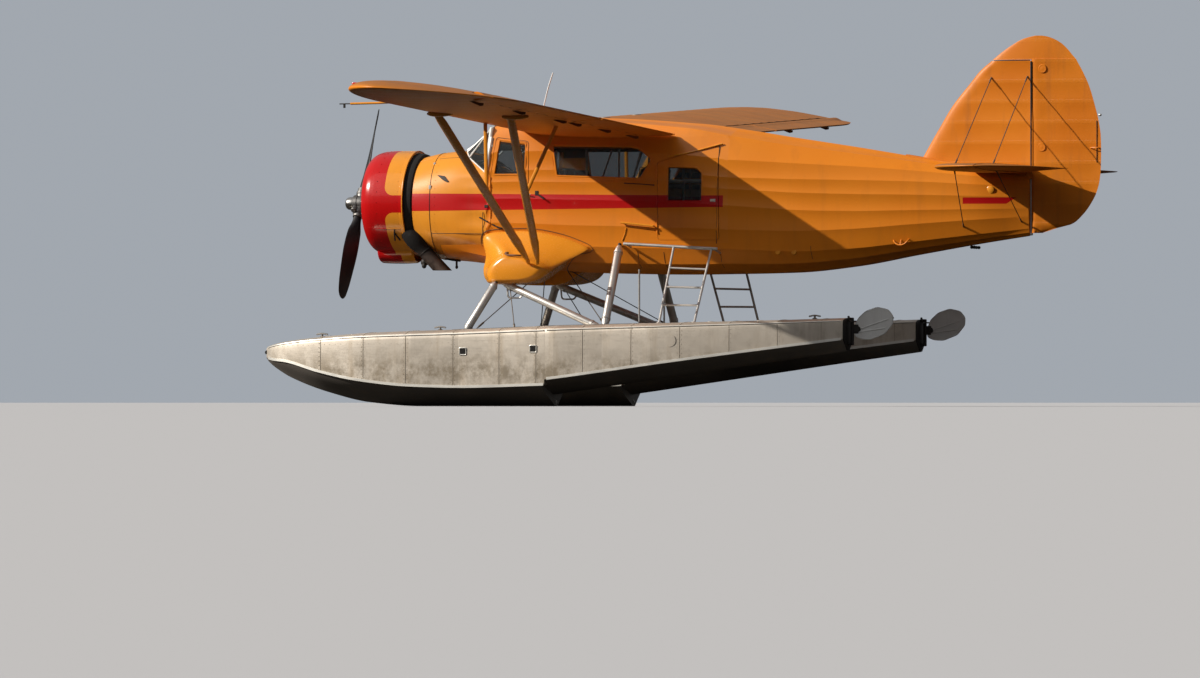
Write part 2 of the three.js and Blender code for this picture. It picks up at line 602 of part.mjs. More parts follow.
// Lift struts, each with a jury strut to the wing, as foot, top, and the jury strut's ends
const LIFT_STRUTS = [
	{ node: 'front_lift_strut', foot: [ 2090, 1090, 1700 ], top: [ 2180, 4400, 3570 ], chord: 125,
		jury: [ [ 2132, 2650, 2581 ], [ 2150, 2650, 3510 ] ] },
	{ node: 'rear_lift_strut', foot: [ 2010, 1070, 1700 ], top: [ 1220, 4400, 3525 ], chord: 105,
		jury: [ [ 1635, 2650, 2566 ], [ 1214, 2650, 3450 ] ] },
];
const mirrorY = ( [ x, y, z ], side ) => [ x, y * side, z ];
for ( const { name, side } of SIDES ) {

	const made = [];
	for ( const { node, foot, top, chord, jury } of LIFT_STRUTS ) {

		const long = fairedStrut( mirrorY( foot, side ), mirrorY( top, side ), chord, 48 );
		const short = fairedStrut( mirrorY( jury[ 0 ], side ), mirrorY( jury[ 1 ], side ), 48, 26, 8 );
		const shape = largest( clearOf( long.add( short ), [ wings[ name ], stubs[ name ], ...made ] ) );
		made.push( piece( `${name}_${node}`, shape, yellow ) );

	}

}

// Floats. Stations: x, half beam, keel z, chine z, deck z
const FLOAT = [
	{ x: 5400, half: 95, keel: 560, chine: 605, deck: 715 },
	{ x: 5315, half: 170, keel: 489, chine: 578, deck: 742 },
	{ x: 5090, half: 275, keel: 354, chine: 555, deck: 785 },
	{ x: 4600, half: 390, keel: 174, chine: 425, deck: 840 },
	{ x: 4050, half: 455, keel: 48, chine: 318, deck: 880 },
	{ x: 3390, half: 475, keel: 0, chine: 252, deck: 905 },
	{ x: 2720, half: 475, keel: 0, chine: 235, deck: 925 },
	{ x: FLOAT_STEP_X + 1, half: 475, keel: 0, chine: 262, deck: 965 },
	{ x: FLOAT_STEP_X, half: 475, keel: 150, chine: 330, deck: 965 },
	{ x: 0, half: 430, keel: 378, chine: 548, deck: 1000 },
	{ x: - 1300, half: 330, keel: 560, chine: 713, deck: 1028 },
	{ x: FLOAT_STERN_X, half: 205, keel: 672, chine: 816, deck: 1050 },
];
const KEEL_HALF = 38;
// Half of a float's section, from the keel up to the deck's middle, for a station
const floatSide = ( { half, keel, chine, deck } ) => [
	[ Math.min( KEEL_HALF, half * 0.3 ), keel ], [ half * 0.6, keel + ( chine - keel ) * 0.52 ],
	[ half, chine ], [ half, chine + ( deck - chine ) * 0.25 ], [ half * 0.985, deck - ( deck - chine ) * 0.2 ],
	[ half * 0.86, deck - ( deck - chine ) * 0.03 ], [ half * 0.4, deck + 22 ],
];
const floats = {};
for ( const { name, side } of SIDES ) {

	const rings = FLOAT.map( station => {

		const half = floatSide( station );
		const middle = FLOAT_Y * side;
		return [ ...half.map( ( [ y, z ] ) => [ station.x, middle + y, z ] ),
			...half.reverse().map( ( [ y, z ] ) => [ station.x, middle - y, z ] ) ];

	} );
	const bumper = bar( [ 5408, FLOAT_Y * side - 120, 665 ], [ 5408, FLOAT_Y * side + 120, 665 ], 32, 16 );
	floats[ name ] = piece( `${name}_float`, loft( rings ).add( bumper ), bare );

}

// Float struts and the spreader bars between the floats, as lower end, upper end and radius
const FLOAT_STRUTS = [
	{ node: 'front_float_strut', foot: [ 2845, 1440, 900 ], top: [ 2531, 1126, 1550 ], radius: 48 },
	{ node: 'rear_float_strut', foot: [ 1045, 1400, 930 ], top: [ 1092, 640, 2020 ], radius: 50 },
	{ node: 'diagonal_float_strut', foot: [ 1070, 1250, 930 ], top: [ 2560, 980, 1545 ], radius: 46 },
];
for ( const { name, side } of SIDES ) {

	for ( const { node, foot, top, radius } of FLOAT_STRUTS ) {

		const strut = bar( mirrorY( foot, side ), mirrorY( top, side ), radius, 12 );
		const shape = clearOf( strut, [ floats[ name ], stubs[ name ], fuselage ] );
		piece( `${name}_${node}`, largest( shape ), steel );

	}

}

const SPREADERS = [ { node: 'front_spreader_bar', x: 2980 }, { node: 'rear_spreader_bar', x: 900 } ];
const SPREADER_Z = 780;
for ( const { node, x } of SPREADERS ) {

	const spreader = bar( [ x, - 1100, SPREADER_Z ], [ x, 1100, SPREADER_Z ], 42, 12 );
	const between = clearOf( spreader, [ floats.port, floats.starboard ], [ [ 0, GAP, 0 ], [ 0, - GAP, 0 ] ] );
	piece( node, largest( between ), steel );

}

// Boarding ladders from the rail beside the cabin down to the float deck
const LADDER = {
	railY: 850, railZ: 1950, footY: 1560, footZ: 985, front: [ 324, 283 ], rear: [ - 163, - 170 ],
};
const RUNG_SHARES = [ 0.27, 0.51, 0.74 ];
const STARBOARD_AHEAD = 180; // the starboard ladder stands further forward
for ( const { name, side } of SIDES ) {

	const ahead = side < 0 ? STARBOARD_AHEAD : 0;
	const at = ( x, y, z ) => [ x, y * side, z ];
	const { railY, railZ, footY, footZ, front, rear } = LADDER;
	const between = ( [ a, b ], share ) => a + ( b - a ) * share;
	const parts = [
		bar( at( 980, railY, 2000 ), at( - 240, railY, 1930 ), 20, 8 ),
		bar( at( 950, railY + 10, 1998 ), at( 950, 640, 1960 ), 16, 8 ),
		bar( at( - 200, railY + 10, 1932 ), at( - 200, 600, 1880 ), 16, 8 ),
		bar( at( front[ 0 ] + ahead, railY, railZ + 12 ), at( front[ 1 ] + ahead, footY, footZ ), 16, 8 ),
		bar( at( rear[ 0 ] + ahead, railY, railZ - 18 ), at( rear[ 1 ] + ahead, footY, footZ + 5 ), 16, 8 ),
		...RUNG_SHARES.map( share => {

			const [ y, z ] = [ between( [ railY, footY ], share ), between( [ railZ, footZ ], share ) ];
			const [ x0, x1 ] = [ front, rear ].map( ends => between( ends, share ) + ahead );
			return bar( at( x0, y, z ), at( x1, y, z - 8 ), 14, 8 );

		} ),
	];
	piece( `${name}_ladder`, largest( clearOf( join( parts ), [ fuselage, floats[ name ] ] ) ), steel );

}

// Fin sections: z, leading edge x
const FIN = [
	{ z: 2780, front: - 2450 }, { z: 3068, front: - 2628 }, { z: 3207, front: - 2709 }, { z: 3421, front: - 2837 },
	{ z: 3680, front: - 2999 }, { z: 3954, front: - 3224 }, { z: 4107, front: - 3352 },
	{ z: FIN_TOP_Z - 5, front: - 3500 },
];
// A thin upright or flat surface's section from a round front edge to a back edge
function finRing( front, back, thick, backThick, place ) {

	const shares = [ [ 0, 0 ], [ 0.03, 0.4 ], [ 0.12, 0.8 ], [ 0.35, 1 ] ];
	const top = shares.map( ( [ u, v ] ) => [ front - ( front - back ) * u, v * thick / 2 ] );
	top.push( [ back, backThick / 2 ] );
	const under = top.slice( 1 ).reverse().map( ( [ x, t ] ) => [ x, - t ] );
	return [ ...top, ...under ].map( ( [ x, t ] ) => place( x, t ) );

}

const HINGE_NOSE = 42; // radius of the rudder's and elevators' front edge
const upright = z => ( x, t ) => [ x, t, z ];
const finFull = loft( FIN.map( ( { z, front } ) =>
	finRing( front, RUDDER_HINGE_X, FIN_THICKNESS, FIN_THICKNESS - 10, upright( z ) ) ) );
const coveEnds = [ 2000, 4300 ].map( z => [ RUDDER_HINGE_X, 0, z ] );
const rudderCove = bar( ...coveEnds, HINGE_NOSE + MOVING_GAP, 20 );
const fin = piece( 'fin', largest( clearOf( finFull.subtract( rudderCove ), [ rear ] ) ), yellow );

// Rudder sections: z and back edge x, below and above the horn's lower edge
const RUDDER = [
	{ z: 2120, back: - 4150 }, { z: 2180, back: - 4343 }, { z: 2230, back: - 4534 }, { z: 2320, back: - 4647 },
	{ z: 2460, back: - 4760 }, { z: 2610, back: - 4840 }, { z: 2765, back: - 4882 }, { z: 2940, back: - 4897 },
	{ z: 3130, back: RUDDER_TE_X }, { z: 3310, back: - 4895 }, { z: 3500, back: - 4866 }, { z: 3680, back: - 4820 },
	{ z: 3896, back: - 4755 }, { z: 4064, back: - 4680 }, { z: FIN_TOP_Z + 15, back: - 4578 },
];
const HORN = [
	{ z: FIN_TOP_Z + 8, front: - 3513, back: - 4583 }, { z: 4366, front: - 3673, back: - 4475 },
	{ z: 4440, front: - 3790, back: - 4395 }, { z: 4490, front: - 3880, back: - 4310 },
	{ z: 4522, front: - 3985, back: - 4225 }, { z: 4537, front: - 4060, back: - 4140 },
];
const HORN_TOP_Z = 4560; // where its sides would meet
const HORN_THICKNESS = 70;
const RUDDER_EDGE = 6; // thickness of the back edge
const hornThickness = z => HORN_THICKNESS * ( HORN_TOP_Z - z ) / ( HORN_TOP_Z - FIN_TOP_Z );
const rudderBody = loft( RUDDER.map( ( { z, back } ) =>
	finRing( RUDDER_HINGE_X, back, 2 * HINGE_NOSE, RUDDER_EDGE, upright( z ) ) ) );
const horn = loft( HORN.map( ( { z, front, back } ) =>
	finRing( front, back, hornThickness( z ), RUDDER_EDGE - 1, upright( z ) ) ) );
const rudderNose = bar( [ RUDDER_HINGE_X, 0, 2120 ], [ RUDDER_HINGE_X, 0, FIN_TOP_Z + 12 ], HINGE_NOSE, 20 );
piece( 'rudder', largest( join( [ rudderBody, rudderNose, horn ] ) ), yellow );

// Tailplane and elevators, with elliptical tips in plan
const TAIL_STATIONS = [ 40, 700, 1500, 1800, 2050, 2220, 2340, 2410, 2440, TAIL_HALF_SPAN ];
const TAIL_THICKNESS = 96;
const ELEVATOR_THICKNESS = 80;
const ELEVATOR_EDGE = 5;
const ELEVATOR_INNER = { hinge: 130, back: 420 }; // clear of the turned rudder
function tailShare( y ) {

	const past = Math.max( 0, y - TAIL_ROUND_Y ) / ( TAIL_HALF_SPAN - TAIL_ROUND_Y );
	return Math.max( 0.1, Math.sqrt( Math.max( 0, 1 - past * past ) ) );

}

const flat = ( y, side ) => ( x, t ) => [ x, y * side, TAIL_Z + t ];
for ( const { name, side } of SIDES ) {

	const thin = y => Math.max( 0.3, tailShare( y ) );
	const tailplane = loft( TAIL_STATIONS.map( y => {

		const front = ELEVATOR_HINGE_X + ( TAIL_LE_X - ELEVATOR_HINGE_X ) * tailShare( y );
		const [ thick, backThick ] = [ TAIL_THICKNESS, ELEVATOR_THICKNESS ].map( size => size * thin( y ) );
		return finRing( front, ELEVATOR_HINGE_X, thick, backThick, flat( y, side ) );

	} ) );
	const tailBar = ( y0, y1, radius ) =>
		bar( [ ELEVATOR_HINGE_X, y0 * side, TAIL_Z ], [ ELEVATOR_HINGE_X, y1 * side, TAIL_Z ], radius, 20 );
	const cove = tailBar( 0, TAIL_HALF_SPAN + 100, HINGE_NOSE + MOVING_GAP );
	piece( `${name}_tailplane`, largest( clearOf( tailplane.subtract( cove ), [ rear, fin ] ) ), yellow );

	const surface = loft( TAIL_STATIONS.map( y => {

		const back = ELEVATOR_HINGE_X + ( TAIL_TE_X - ELEVATOR_HINGE_X ) * tailShare( y );
		return finRing( ELEVATOR_HINGE_X, back, ELEVATOR_THICKNESS * thin( y ), ELEVATOR_EDGE, flat( y, side ) );

	} ) );
	const { hinge, back } = ELEVATOR_INNER;
	const notch = planPanel( [
		[ ELEVATOR_HINGE_X + 130, - 10 * side ], [ ELEVATOR_HINGE_X + 130, hinge * side ],
		[ ELEVATOR_HINGE_X, hinge * side ], [ TAIL_TE_X - 50, back * side ], [ TAIL_TE_X - 50, - 10 * side ],
	], TAIL_Z - 400, TAIL_Z + 400 );
	const nose = tailBar( hinge, TAIL_ROUND_Y + 300, ELEVATOR_THICKNESS / 2 );
	piece( `${name}_elevator`, largest( surface.subtract( notch ).add( nose ) ), yellow );

}

// Water rudders, lifted, hung on the sterns of the floats
const WATER_RUDDER = [
	[ - 2200, 940 ], [ - 2215, 850 ], [ - 2300, 815 ], [ - 2420, 810 ], [ - 2600, 880 ], [ - 2700, 1000 ],
	[ - 2705, 1100 ], [ - 2640, 1180 ], [ - 2500, 1210 ], [ - 2350, 1160 ], [ - 2250, 1070 ],
];
const RUDDER_POST_X = FLOAT_STERN_X - 60;
for ( const { name, side } of SIDES ) {

	const middle = FLOAT_Y * side;
	const plate = sidePanel( WATER_RUDDER, middle - 7, middle + 7 );
	const postBar = bar( [ RUDDER_POST_X, middle, 740 ], [ RUDDER_POST_X, middle, 1080 ], 26, 12 );
	const arm = block( [ RUDDER_POST_X - 80, RUDDER_POST_X + 10 ], [ middle - 14, middle + 14 ], [ 880, 1000 ] );
	piece( `${name}_water_rudder`, join( [ plate, postBar, arm ] ), bare );

}

aircraft.updateMatrixWorld( true );

export default aircraft;
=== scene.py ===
import bmesh
import bpy
import numpy as np
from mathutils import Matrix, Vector
from mathutils.geometry import delaunay_2d_cdt


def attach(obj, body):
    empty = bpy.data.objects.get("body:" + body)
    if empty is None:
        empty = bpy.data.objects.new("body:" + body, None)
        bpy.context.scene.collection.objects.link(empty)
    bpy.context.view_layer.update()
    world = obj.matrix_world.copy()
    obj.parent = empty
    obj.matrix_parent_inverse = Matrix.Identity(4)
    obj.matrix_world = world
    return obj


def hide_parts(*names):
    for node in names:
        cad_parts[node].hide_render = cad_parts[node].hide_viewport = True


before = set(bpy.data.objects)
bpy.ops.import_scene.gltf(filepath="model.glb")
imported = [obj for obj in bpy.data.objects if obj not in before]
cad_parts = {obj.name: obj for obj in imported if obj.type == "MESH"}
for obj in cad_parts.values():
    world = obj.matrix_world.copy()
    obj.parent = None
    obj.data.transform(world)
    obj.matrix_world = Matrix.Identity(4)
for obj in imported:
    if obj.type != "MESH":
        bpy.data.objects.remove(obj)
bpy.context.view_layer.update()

# Numbers shared by the pieces, in metres, as in the CAD: X forward, Y to port, Z up.
# Every table keeps the maker's own X, and ORIGIN_X is taken off when a piece is finished.
ORIGIN_X = 0.27
SIDES = (("port", 1), ("starboard", -1))
AHEAD, PORT, ABOVE = np.eye(3)

THRUST_Z = 2.528
PROP_X = 4.74
PROP_TURN = np.radians(30)
SHAFT = (0, 0, THRUST_Z)
FIREWALL_X = 3.5
DECK_REAR_X = 2.845
CABIN_REAR_X = -0.3
FLOOR_Z = 2.0
SHOULDER_Z = 3.33

WING_ROOT_Y = 0.645
WING_TIP_Y = 7.85
WING_ROUND_Y = 6.05
WING_LE_X = 2.42
WING_CHORD = 2.04
WING_ROOT_Z = 3.45
INCIDENCE = np.sin(np.radians(3))
DIHEDRAL = np.tan(np.radians(2.75))
HINGE_X = 0.75
HINGE_RADIUS = 0.051
COVE_RADIUS = 0.059
FLAP_Y = (0.70, 3.35)
AILERON_Y = (3.38, 6.90)
RIB_PITCH = 0.33
RIB_STEP = 0.055
DIHEDRAL_Y = 0.64

TAIL_Z = 2.90
TAIL_ROUND_Y = 1.5
TAIL_HALF = 0.048
TAIL_RIB_PITCH = 0.25
TAIL_RIB_Z = 2.73
ELEVATOR_X = -4.03
RUDDER_X = -4.055

FLOAT_Y = 1.475
STEP_X = 1.63
STERN_X = -2.12

# The red stripe in side view, as X and Z of its two ends, in the finished frame
STRIPE_LOW = ((-0.22, 2.448), (3.315, 2.420))
STRIPE_HIGH = ((-0.22, 2.592), (3.315, 2.636))
STRIPE_END_X = -0.51
# Its short piece ahead of the rudder
DASH_Z = (2.478, 2.556)
DASH_X = (-4.12, -3.48)


# Curves and surfaces

def curve(knots, values, at):
    """A smooth curve through the knots: cubic pieces, whose slope at a knot is the harmonic
    mean of the chords beside it, or zero where they turn, so it never overshoots."""
    knots, values = np.asarray(knots, float), np.asarray(values, float)
    order = np.argsort(knots)
    k, v = knots[order], values[order]
    if v.ndim > 1:
        return np.stack([curve(k, column, at) for column in v.T], -1)
    chord = np.diff(v) / np.diff(k)
    both = chord[1:] * chord[:-1]
    mean = 2 * both / np.where(both > 0, chord[1:] + chord[:-1], 1)
    slope = np.concatenate([chord[:1], np.where(both > 0, mean, 0), chord[-1:]])
    at = np.clip(at, k[0], k[-1])
    i = np.clip(np.searchsorted(k, at) - 1, 0, len(k) - 2)
    h = k[i + 1] - k[i]
    t = (at - k[i]) / h
    return (v[i] * (1 + 2 * t) * (1 - t) ** 2 + slope[i] * h * t * (1 - t) ** 2
            + v[i + 1] * t * t * (3 - 2 * t) + slope[i + 1] * h * t * t * (t - 1))


def lerp(a, b, t):
    return a + (b - a) * t


def between(a, b, shares):
    """Points on the line from a to b at the given shares of its length."""
    return lerp(np.array(a, float), np.array(b, float), np.asarray(shares, float)[:, None])


def spaced(start, stop, step):
    """Even values from start to stop, about step apart."""
    return np.linspace(start, stop, max(2, int(round(abs(stop - start) / step)) + 1))


def wave(value, pitch):
    """0 on every multiple of the pitch and 1 half way between, as a parabola."""
    share = np.mod(value / pitch, 1)
    return 1 - (2 * share - 1) ** 2


def ramp(low, high, value):
    t = np.clip((value - low) / (high - low), 0, 1)
    return t * t * (3 - 2 * t)


# A shape is (points, [faces]), where each faces array has one row of point numbers a face.

def square_mesh(n):
    """Numbers of n by n points, and the quads between them."""
    number = np.arange(n * n).reshape(n, n)
    quads = np.stack([number[:-1, :-1], number[1:, :-1], number[1:, 1:], number[:-1, 1:]], -1)
    return number, quads.reshape(-1, 4)


def grid(points, around=True, along=False, caps=True):
    """Quads between neighbouring rows and columns of points. The columns meet again where
    around is set, the rows where along is set, and caps closes the first and last row."""
    rows, columns = points.shape[:2]
    index = np.arange(rows * columns).reshape(rows, columns)
    if along:
        index = np.vstack([index, index[:1]])
    right = np.roll(index, -1, axis=1)
    if not around:
        index, right = index[:, :-1], index[:, 1:]
    quads = np.stack([index[:-1], right[:-1], right[1:], index[1:]], -1).reshape(-1, 4)
    faces = [quads]
    if caps and around and not along:
        faces += [index[:1], index[-1:, ::-1]]
    return points.reshape(-1, 3), faces


def merged(*shapes):
    starts = np.cumsum([0] + [len(points) for points, _ in shapes[:-1]])
    points = np.concatenate([points for points, _ in shapes])
    return points, [f + start for (_, faces), start in zip(shapes, starts) for f in faces]


def mirrored(shape, side):
    points, faces = shape
    return points * np.array([1, side, 1]), [f[:, ::side] for f in faces]


def many(shape, places, turns=None):
    """The shape copied to each place, and turned there by each 3 x 3 matrix."""
    points, faces = shape
    places = np.atleast_2d(places)
    copies = points[None] if turns is None else np.einsum("nij,kj->nki", turns, points)
    copies = copies + places[:, None]
    starts = (np.arange(len(places)) * len(points))[:, None, None]
    return copies.reshape(-1, 3), [(f[None] + starts).reshape(-1, f.shape[1]) for f in faces]


def frames_along(path, up):
    """Unit vectors across a path: one close to the up direction, the other square to both."""
    along = np.gradient(path, axis=0)
    along /= np.linalg.norm(along, axis=1, keepdims=True)
    if up is None:
        up = np.eye(3)[np.argmin(np.abs(along).mean(0))]
    first = up - (along @ up)[:, None] * along
    first /= np.linalg.norm(first, axis=1, keepdims=True)
    return along, first, np.cross(along, first)


def swept(path, section, size=1.0, up=None, along=False):
    """A section (n, 2) carried along a path, scaled by size at each point."""
    path = np.asarray(path, float)
    _, first, second = frames_along(path, up)
    size = np.broadcast_to(size, len(path))[:, None, None]
    flat = section[None] * size
    points = path[:, None] + flat[..., :1] * first[:, None] + flat[..., 1:] * second[:, None]
    return grid(points, along=along)


def even_turn(count):
    """Angles in even steps once round."""
    return np.arange(count) / count * 2 * np.pi


def circle(sides, radius=1.0):
    a = even_turn(sides)
    return radius * np.stack([np.cos(a), np.sin(a)], -1)


def tube(path, radius, sides=12):
    """A round tube along a path, its ends rounded off over a third of the radius."""
    path = np.asarray(path, float)
    radius = np.broadcast_to(radius, len(path)).astype(float)
    step = path[1] - path[0], path[-1] - path[-2]
    nose, tail = [s / np.linalg.norm(s) for s in step]
    path = np.vstack([path[0], path[0] + nose * radius[0] * 0.3, path[1:-1],
                      path[-1] - tail * radius[-1] * 0.3, path[-1]])
    size = np.concatenate([[radius[0] * 0.7], radius, [radius[-1] * 0.7]])
    return swept(path, circle(sides), size)


def bent(points, step=0.02):
    """A smooth path through a few points, as cubic curves in the length along them."""
    points = np.asarray(points, float)
    length = np.concatenate([[0], np.cumsum(np.linalg.norm(np.diff(points, axis=0), axis=1))])
    return curve(length, points, spaced(0, length[-1], step))


def streamlined(chord, thickness):
    """A drop-shaped section: a cosine fore and aft, drawn out behind, a sine across."""
    a = even_turn(24)
    fore = np.cos(a) * np.where(np.cos(a) > 0, 0.8, 1.2) * chord / 2
    return np.stack([fore, np.sin(a) * thickness / 2], -1)


def bar(a, b, radius, sides=8, steps=6, past=0.0):
    """A straight round tube, which may run past both ends by a share of its length."""
    return tube(between(a, b, np.linspace(-past, 1 + past, steps)), radius, sides)


def strut(a, b, chord, thickness, steps=14):
    return swept(between(a, b, np.linspace(0, 1, steps)), streamlined(chord, thickness), up=AHEAD)


def turned(profile, sides, centre=(0, 0, 0), axis=0, along=False):
    """A profile of (radius, height) rows, turned round the axis through the centre."""
    radius, height = np.asarray(profile, float).T
    ring = circle(sides)
    points = np.stack([np.broadcast_to(height[:, None], (len(height), sides)),
                       radius[:, None] * ring[:, 0], radius[:, None] * ring[:, 1]], -1)
    return grid(np.roll(points, axis, axis=2) + np.array(centre, float), along=along)


def egg(centre, size, tail=1.0):
    """A drop-shaped body: a sine profile along X, its widest part moved forward by tail > 1."""
    a = np.linspace(0, np.pi, 14)
    x = np.cos(a) * np.where(np.cos(a) > 0, 1, tail)
    ring = circle(20)
    points = np.stack([x[:, None] + 0 * ring[:, 0], np.sin(a)[:, None] * ring[:, 0],
                       np.sin(a)[:, None] * ring[:, 1]], -1)
    return grid(points * np.array(size) + np.array(centre), caps=False)


def block(low, high, round_edge):
    """A box whose upright edges are cut at 45 degrees and whose top and bottom are drawn in."""
    low, high = np.array(low, float), np.array(high, float)
    r = round_edge
    x, y = (low + high)[:2] / 2
    hx, hy = (high - low)[:2] / 2
    outline = np.array([(hx, hy - r), (hx - r, hy), (r - hx, hy), (-hx, hy - r),
                        (-hx, r - hy), (r - hx, -hy), (hx - r, -hy), (hx, r - hy)])
    inner = outline * np.array([(hx - r) / hx, (hy - r) / hy]) if r else outline
    rows = [(inner, low[2]), (outline, low[2] + r), (outline, high[2] - r), (inner, high[2])]
    if not r:
        rows = rows[1:3]
    points = np.stack([np.column_stack([x + o[:, 0], y + o[:, 1], np.full(8, z)]) for o, z in rows])
    return grid(points)


def square_to(normals):
    """A 3 x 3 turn for each normal, whose third column is the normal."""
    normals = np.atleast_2d(normals).astype(float)
    helper = np.where(np.abs(normals[:, :1]) > 0.9, [[0, 1.0, 0]], [[1.0, 0, 0]])
    first = np.cross(helper, normals)
    first /= np.linalg.norm(first, axis=1, keepdims=True)
    return np.stack([first, np.cross(normals, first), normals], -1)


def rivets(places, normals, radius=0.006):
    """Low domes: two rings of six points and a tip, sunk a little into the skin."""
    a = circle(6)
    dome = np.vstack([np.column_stack([a * radius, np.full(6, -0.3 * radius)]),
                      np.column_stack([a * radius * 0.7, np.full(6, 0.28 * radius)])])
    places, normals = np.broadcast_arrays(np.atleast_2d(places), normals)
    return many(grid(dome.reshape(2, 6, 3)), places, square_to(normals))


def round_shaft(x, radius, angle):
    """Points at a distance and an angle from the thrust line."""
    y, z = np.cos(angle) * radius, THRUST_Z + np.sin(angle) * radius
    return np.column_stack(np.broadcast_arrays(x, y, z))


# Finished pieces

def finish_piece(name, shape, body, slot, material, replaces=(), angle=35, weld=True):
    """Makes the mesh, closes its seams and poles, turns its faces outwards, and adds it to the aircraft as a
    piece of the given body. The slot is not used."""
    points, faces = shape
    points = points - np.array([ORIGIN_X, 0, 0])
    mesh = bpy.data.meshes.new(name)
    mesh.vertices.add(len(points))
    mesh.vertices.foreach_set("co", np.ascontiguousarray(points, np.float32).ravel())
    faces = [f for f in faces if len(f)]
    corners = np.concatenate([f.ravel() for f in faces]).astype(np.int32)
    sizes = np.concatenate([np.full(len(f), f.shape[1]) for f in faces])
    starts = np.concatenate([[0], np.cumsum(sizes)[:-1]]).astype(np.int32)
    mesh.loops.add(len(corners))
    mesh.loops.foreach_set("vertex_index", corners)
    mesh.polygons.add(len(sizes))
    mesh.polygons.foreach_set("loop_start", starts)
    mesh.update(calc_edges=True)
    mesh.validate()
    work = bmesh.new()
    work.from_mesh(mesh)
    if weld:
        bmesh.ops.remove_doubles(work, verts=work.verts, dist=2e-5)
        bmesh.ops.dissolve_degenerate(work, edges=work.edges, dist=1e-6)
    bmesh.ops.recalc_face_normals(work, faces=work.faces)
    work.to_mesh(mesh)
    work.free()
    piece = bpy.data.objects.new(name, mesh)
    bpy.context.scene.collection.objects.link(piece)
    shade(piece, material)
    mesh.set_sharp_from_angle(angle=np.radians(angle))
    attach(piece, body)
    if replaces:
        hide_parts(*replaces)
    return piece


def finish_pair(name, shape, slot, material, replaces=(), body="airframe", **more):
    """A piece on the port side and its mirror image to starboard. Its name and the names of the
    nodes it stands for begin with the side; in its body's name {side} is put in."""
    for side, sign in SIDES:
        finish_piece(f"{side}_{name}", mirrored(shape, sign), body.format(side=side), slot, material,
                     [f"{side}_{part}" for part in replaces], **more)


def shade(piece, material):
    """Smooth shading and the one material."""
    mesh = piece.data
    mesh.polygons.foreach_set("use_smooth", np.ones(len(mesh.polygons), bool))
    mesh.materials.clear()
    mesh.materials.append(material)


# Materials

def connect(tree, made, inputs):
    for name, value in inputs.items():
        socket = made.inputs[name]
        if isinstance(value, bpy.types.NodeSocket):
            tree.links.new(value, socket)
        else:
            socket.default_value = value
    return made


def node(tree, kind, inputs=None, **settings):
    made = tree.nodes.new("ShaderNode" + kind)
    for name, value in settings.items():
        setattr(made, name, value)
    return connect(tree, made, inputs or {})


def calc(tree, operation, a, b=0.0, c=0.0):
    return node(tree, "Math", {0: a, 1: b, 2: c}, operation=operation).outputs[0]


def product(tree, first, *others):
    """The product of values; for masks of 0 and 1 it is 1 where every mask is."""
    for other in others:
        first = calc(tree, "MULTIPLY", first, other)
    return first


def within(tree, value, low, high):
    """1 where the value lies between two limits."""
    return product(tree, calc(tree, "GREATER_THAN", value, low), calc(tree, "LESS_THAN", value, high))


def blend_colours(tree, share, a, b, kind="MIX"):
    made = node(tree, "Mix", data_type="RGBA", blend_type=kind)
    connect(tree, made, {0: share, 6: a, 7: b})
    return made.outputs[2]


def toned(tree, colour, tone):
    """The colour multiplied by a grey tone."""
    grey = node(tree, "CombineXYZ", {0: tone, 1: tone, 2: tone}).outputs[0]
    return blend_colours(tree, 1.0, colour, grey, "MULTIPLY")


def remap(tree, value, low, high, to_low=0.0, to_high=1.0):
    inputs = {"Value": value, "From Min": low, "From Max": high, "To Min": to_low, "To Max": to_high}
    return node(tree, "MapRange", inputs).outputs[0]


def object_axes(tree):
    place = node(tree, "TexCoord").outputs["Object"]
    split = node(tree, "SeparateXYZ", {0: place})
    return place, split.outputs[0], split.outputs[1], split.outputs[2]


def noise(tree, place, scale, detail, stretch=None, roughness=0.55):
    if stretch:
        place = node(tree, "Mapping", {"Vector": place, "Scale": stretch}).outputs[0]
    inputs = {"Vector": place, "Scale": scale, "Detail": detail, "Roughness": roughness}
    return node(tree, "TexNoise", inputs).outputs["Fac"]


def shader_group(name, inputs, outputs):
    """An empty shader group with named inputs and outputs; a colour has four defaults."""
    group = bpy.data.node_groups.new(name, "ShaderNodeTree")
    for label, default in inputs:
        kind = "NodeSocketColor" if isinstance(default, tuple) else "NodeSocketFloat"
        group.interface.new_socket(label, in_out="INPUT", socket_type=kind).default_value = default
    for label, kind in outputs:
        group.interface.new_socket(label, in_out="OUTPUT", socket_type="NodeSocket" + kind)
    return group, group.nodes.new("NodeGroupInput"), group.nodes.new("NodeGroupOutput")


def use(tree, group, inputs=None):
    made = tree.nodes.new("ShaderNodeGroup")
    made.node_tree = group
    return connect(tree, made, inputs or {})


YELLOW = (0.70, 0.208, 0.010, 1)
FADED = (0.76, 0.262, 0.018, 1)
RED = (0.46, 0.003, 0.004, 1)
FADED_RED = (0.54, 0.012, 0.012, 1)
METAL_YELLOW = (0.74, 0.275, 0.020, 1)
METAL_FADED = (0.78, 0.330, 0.035, 1)
METAL_STAIN = (0.2, 0.16, 0.11, 1)


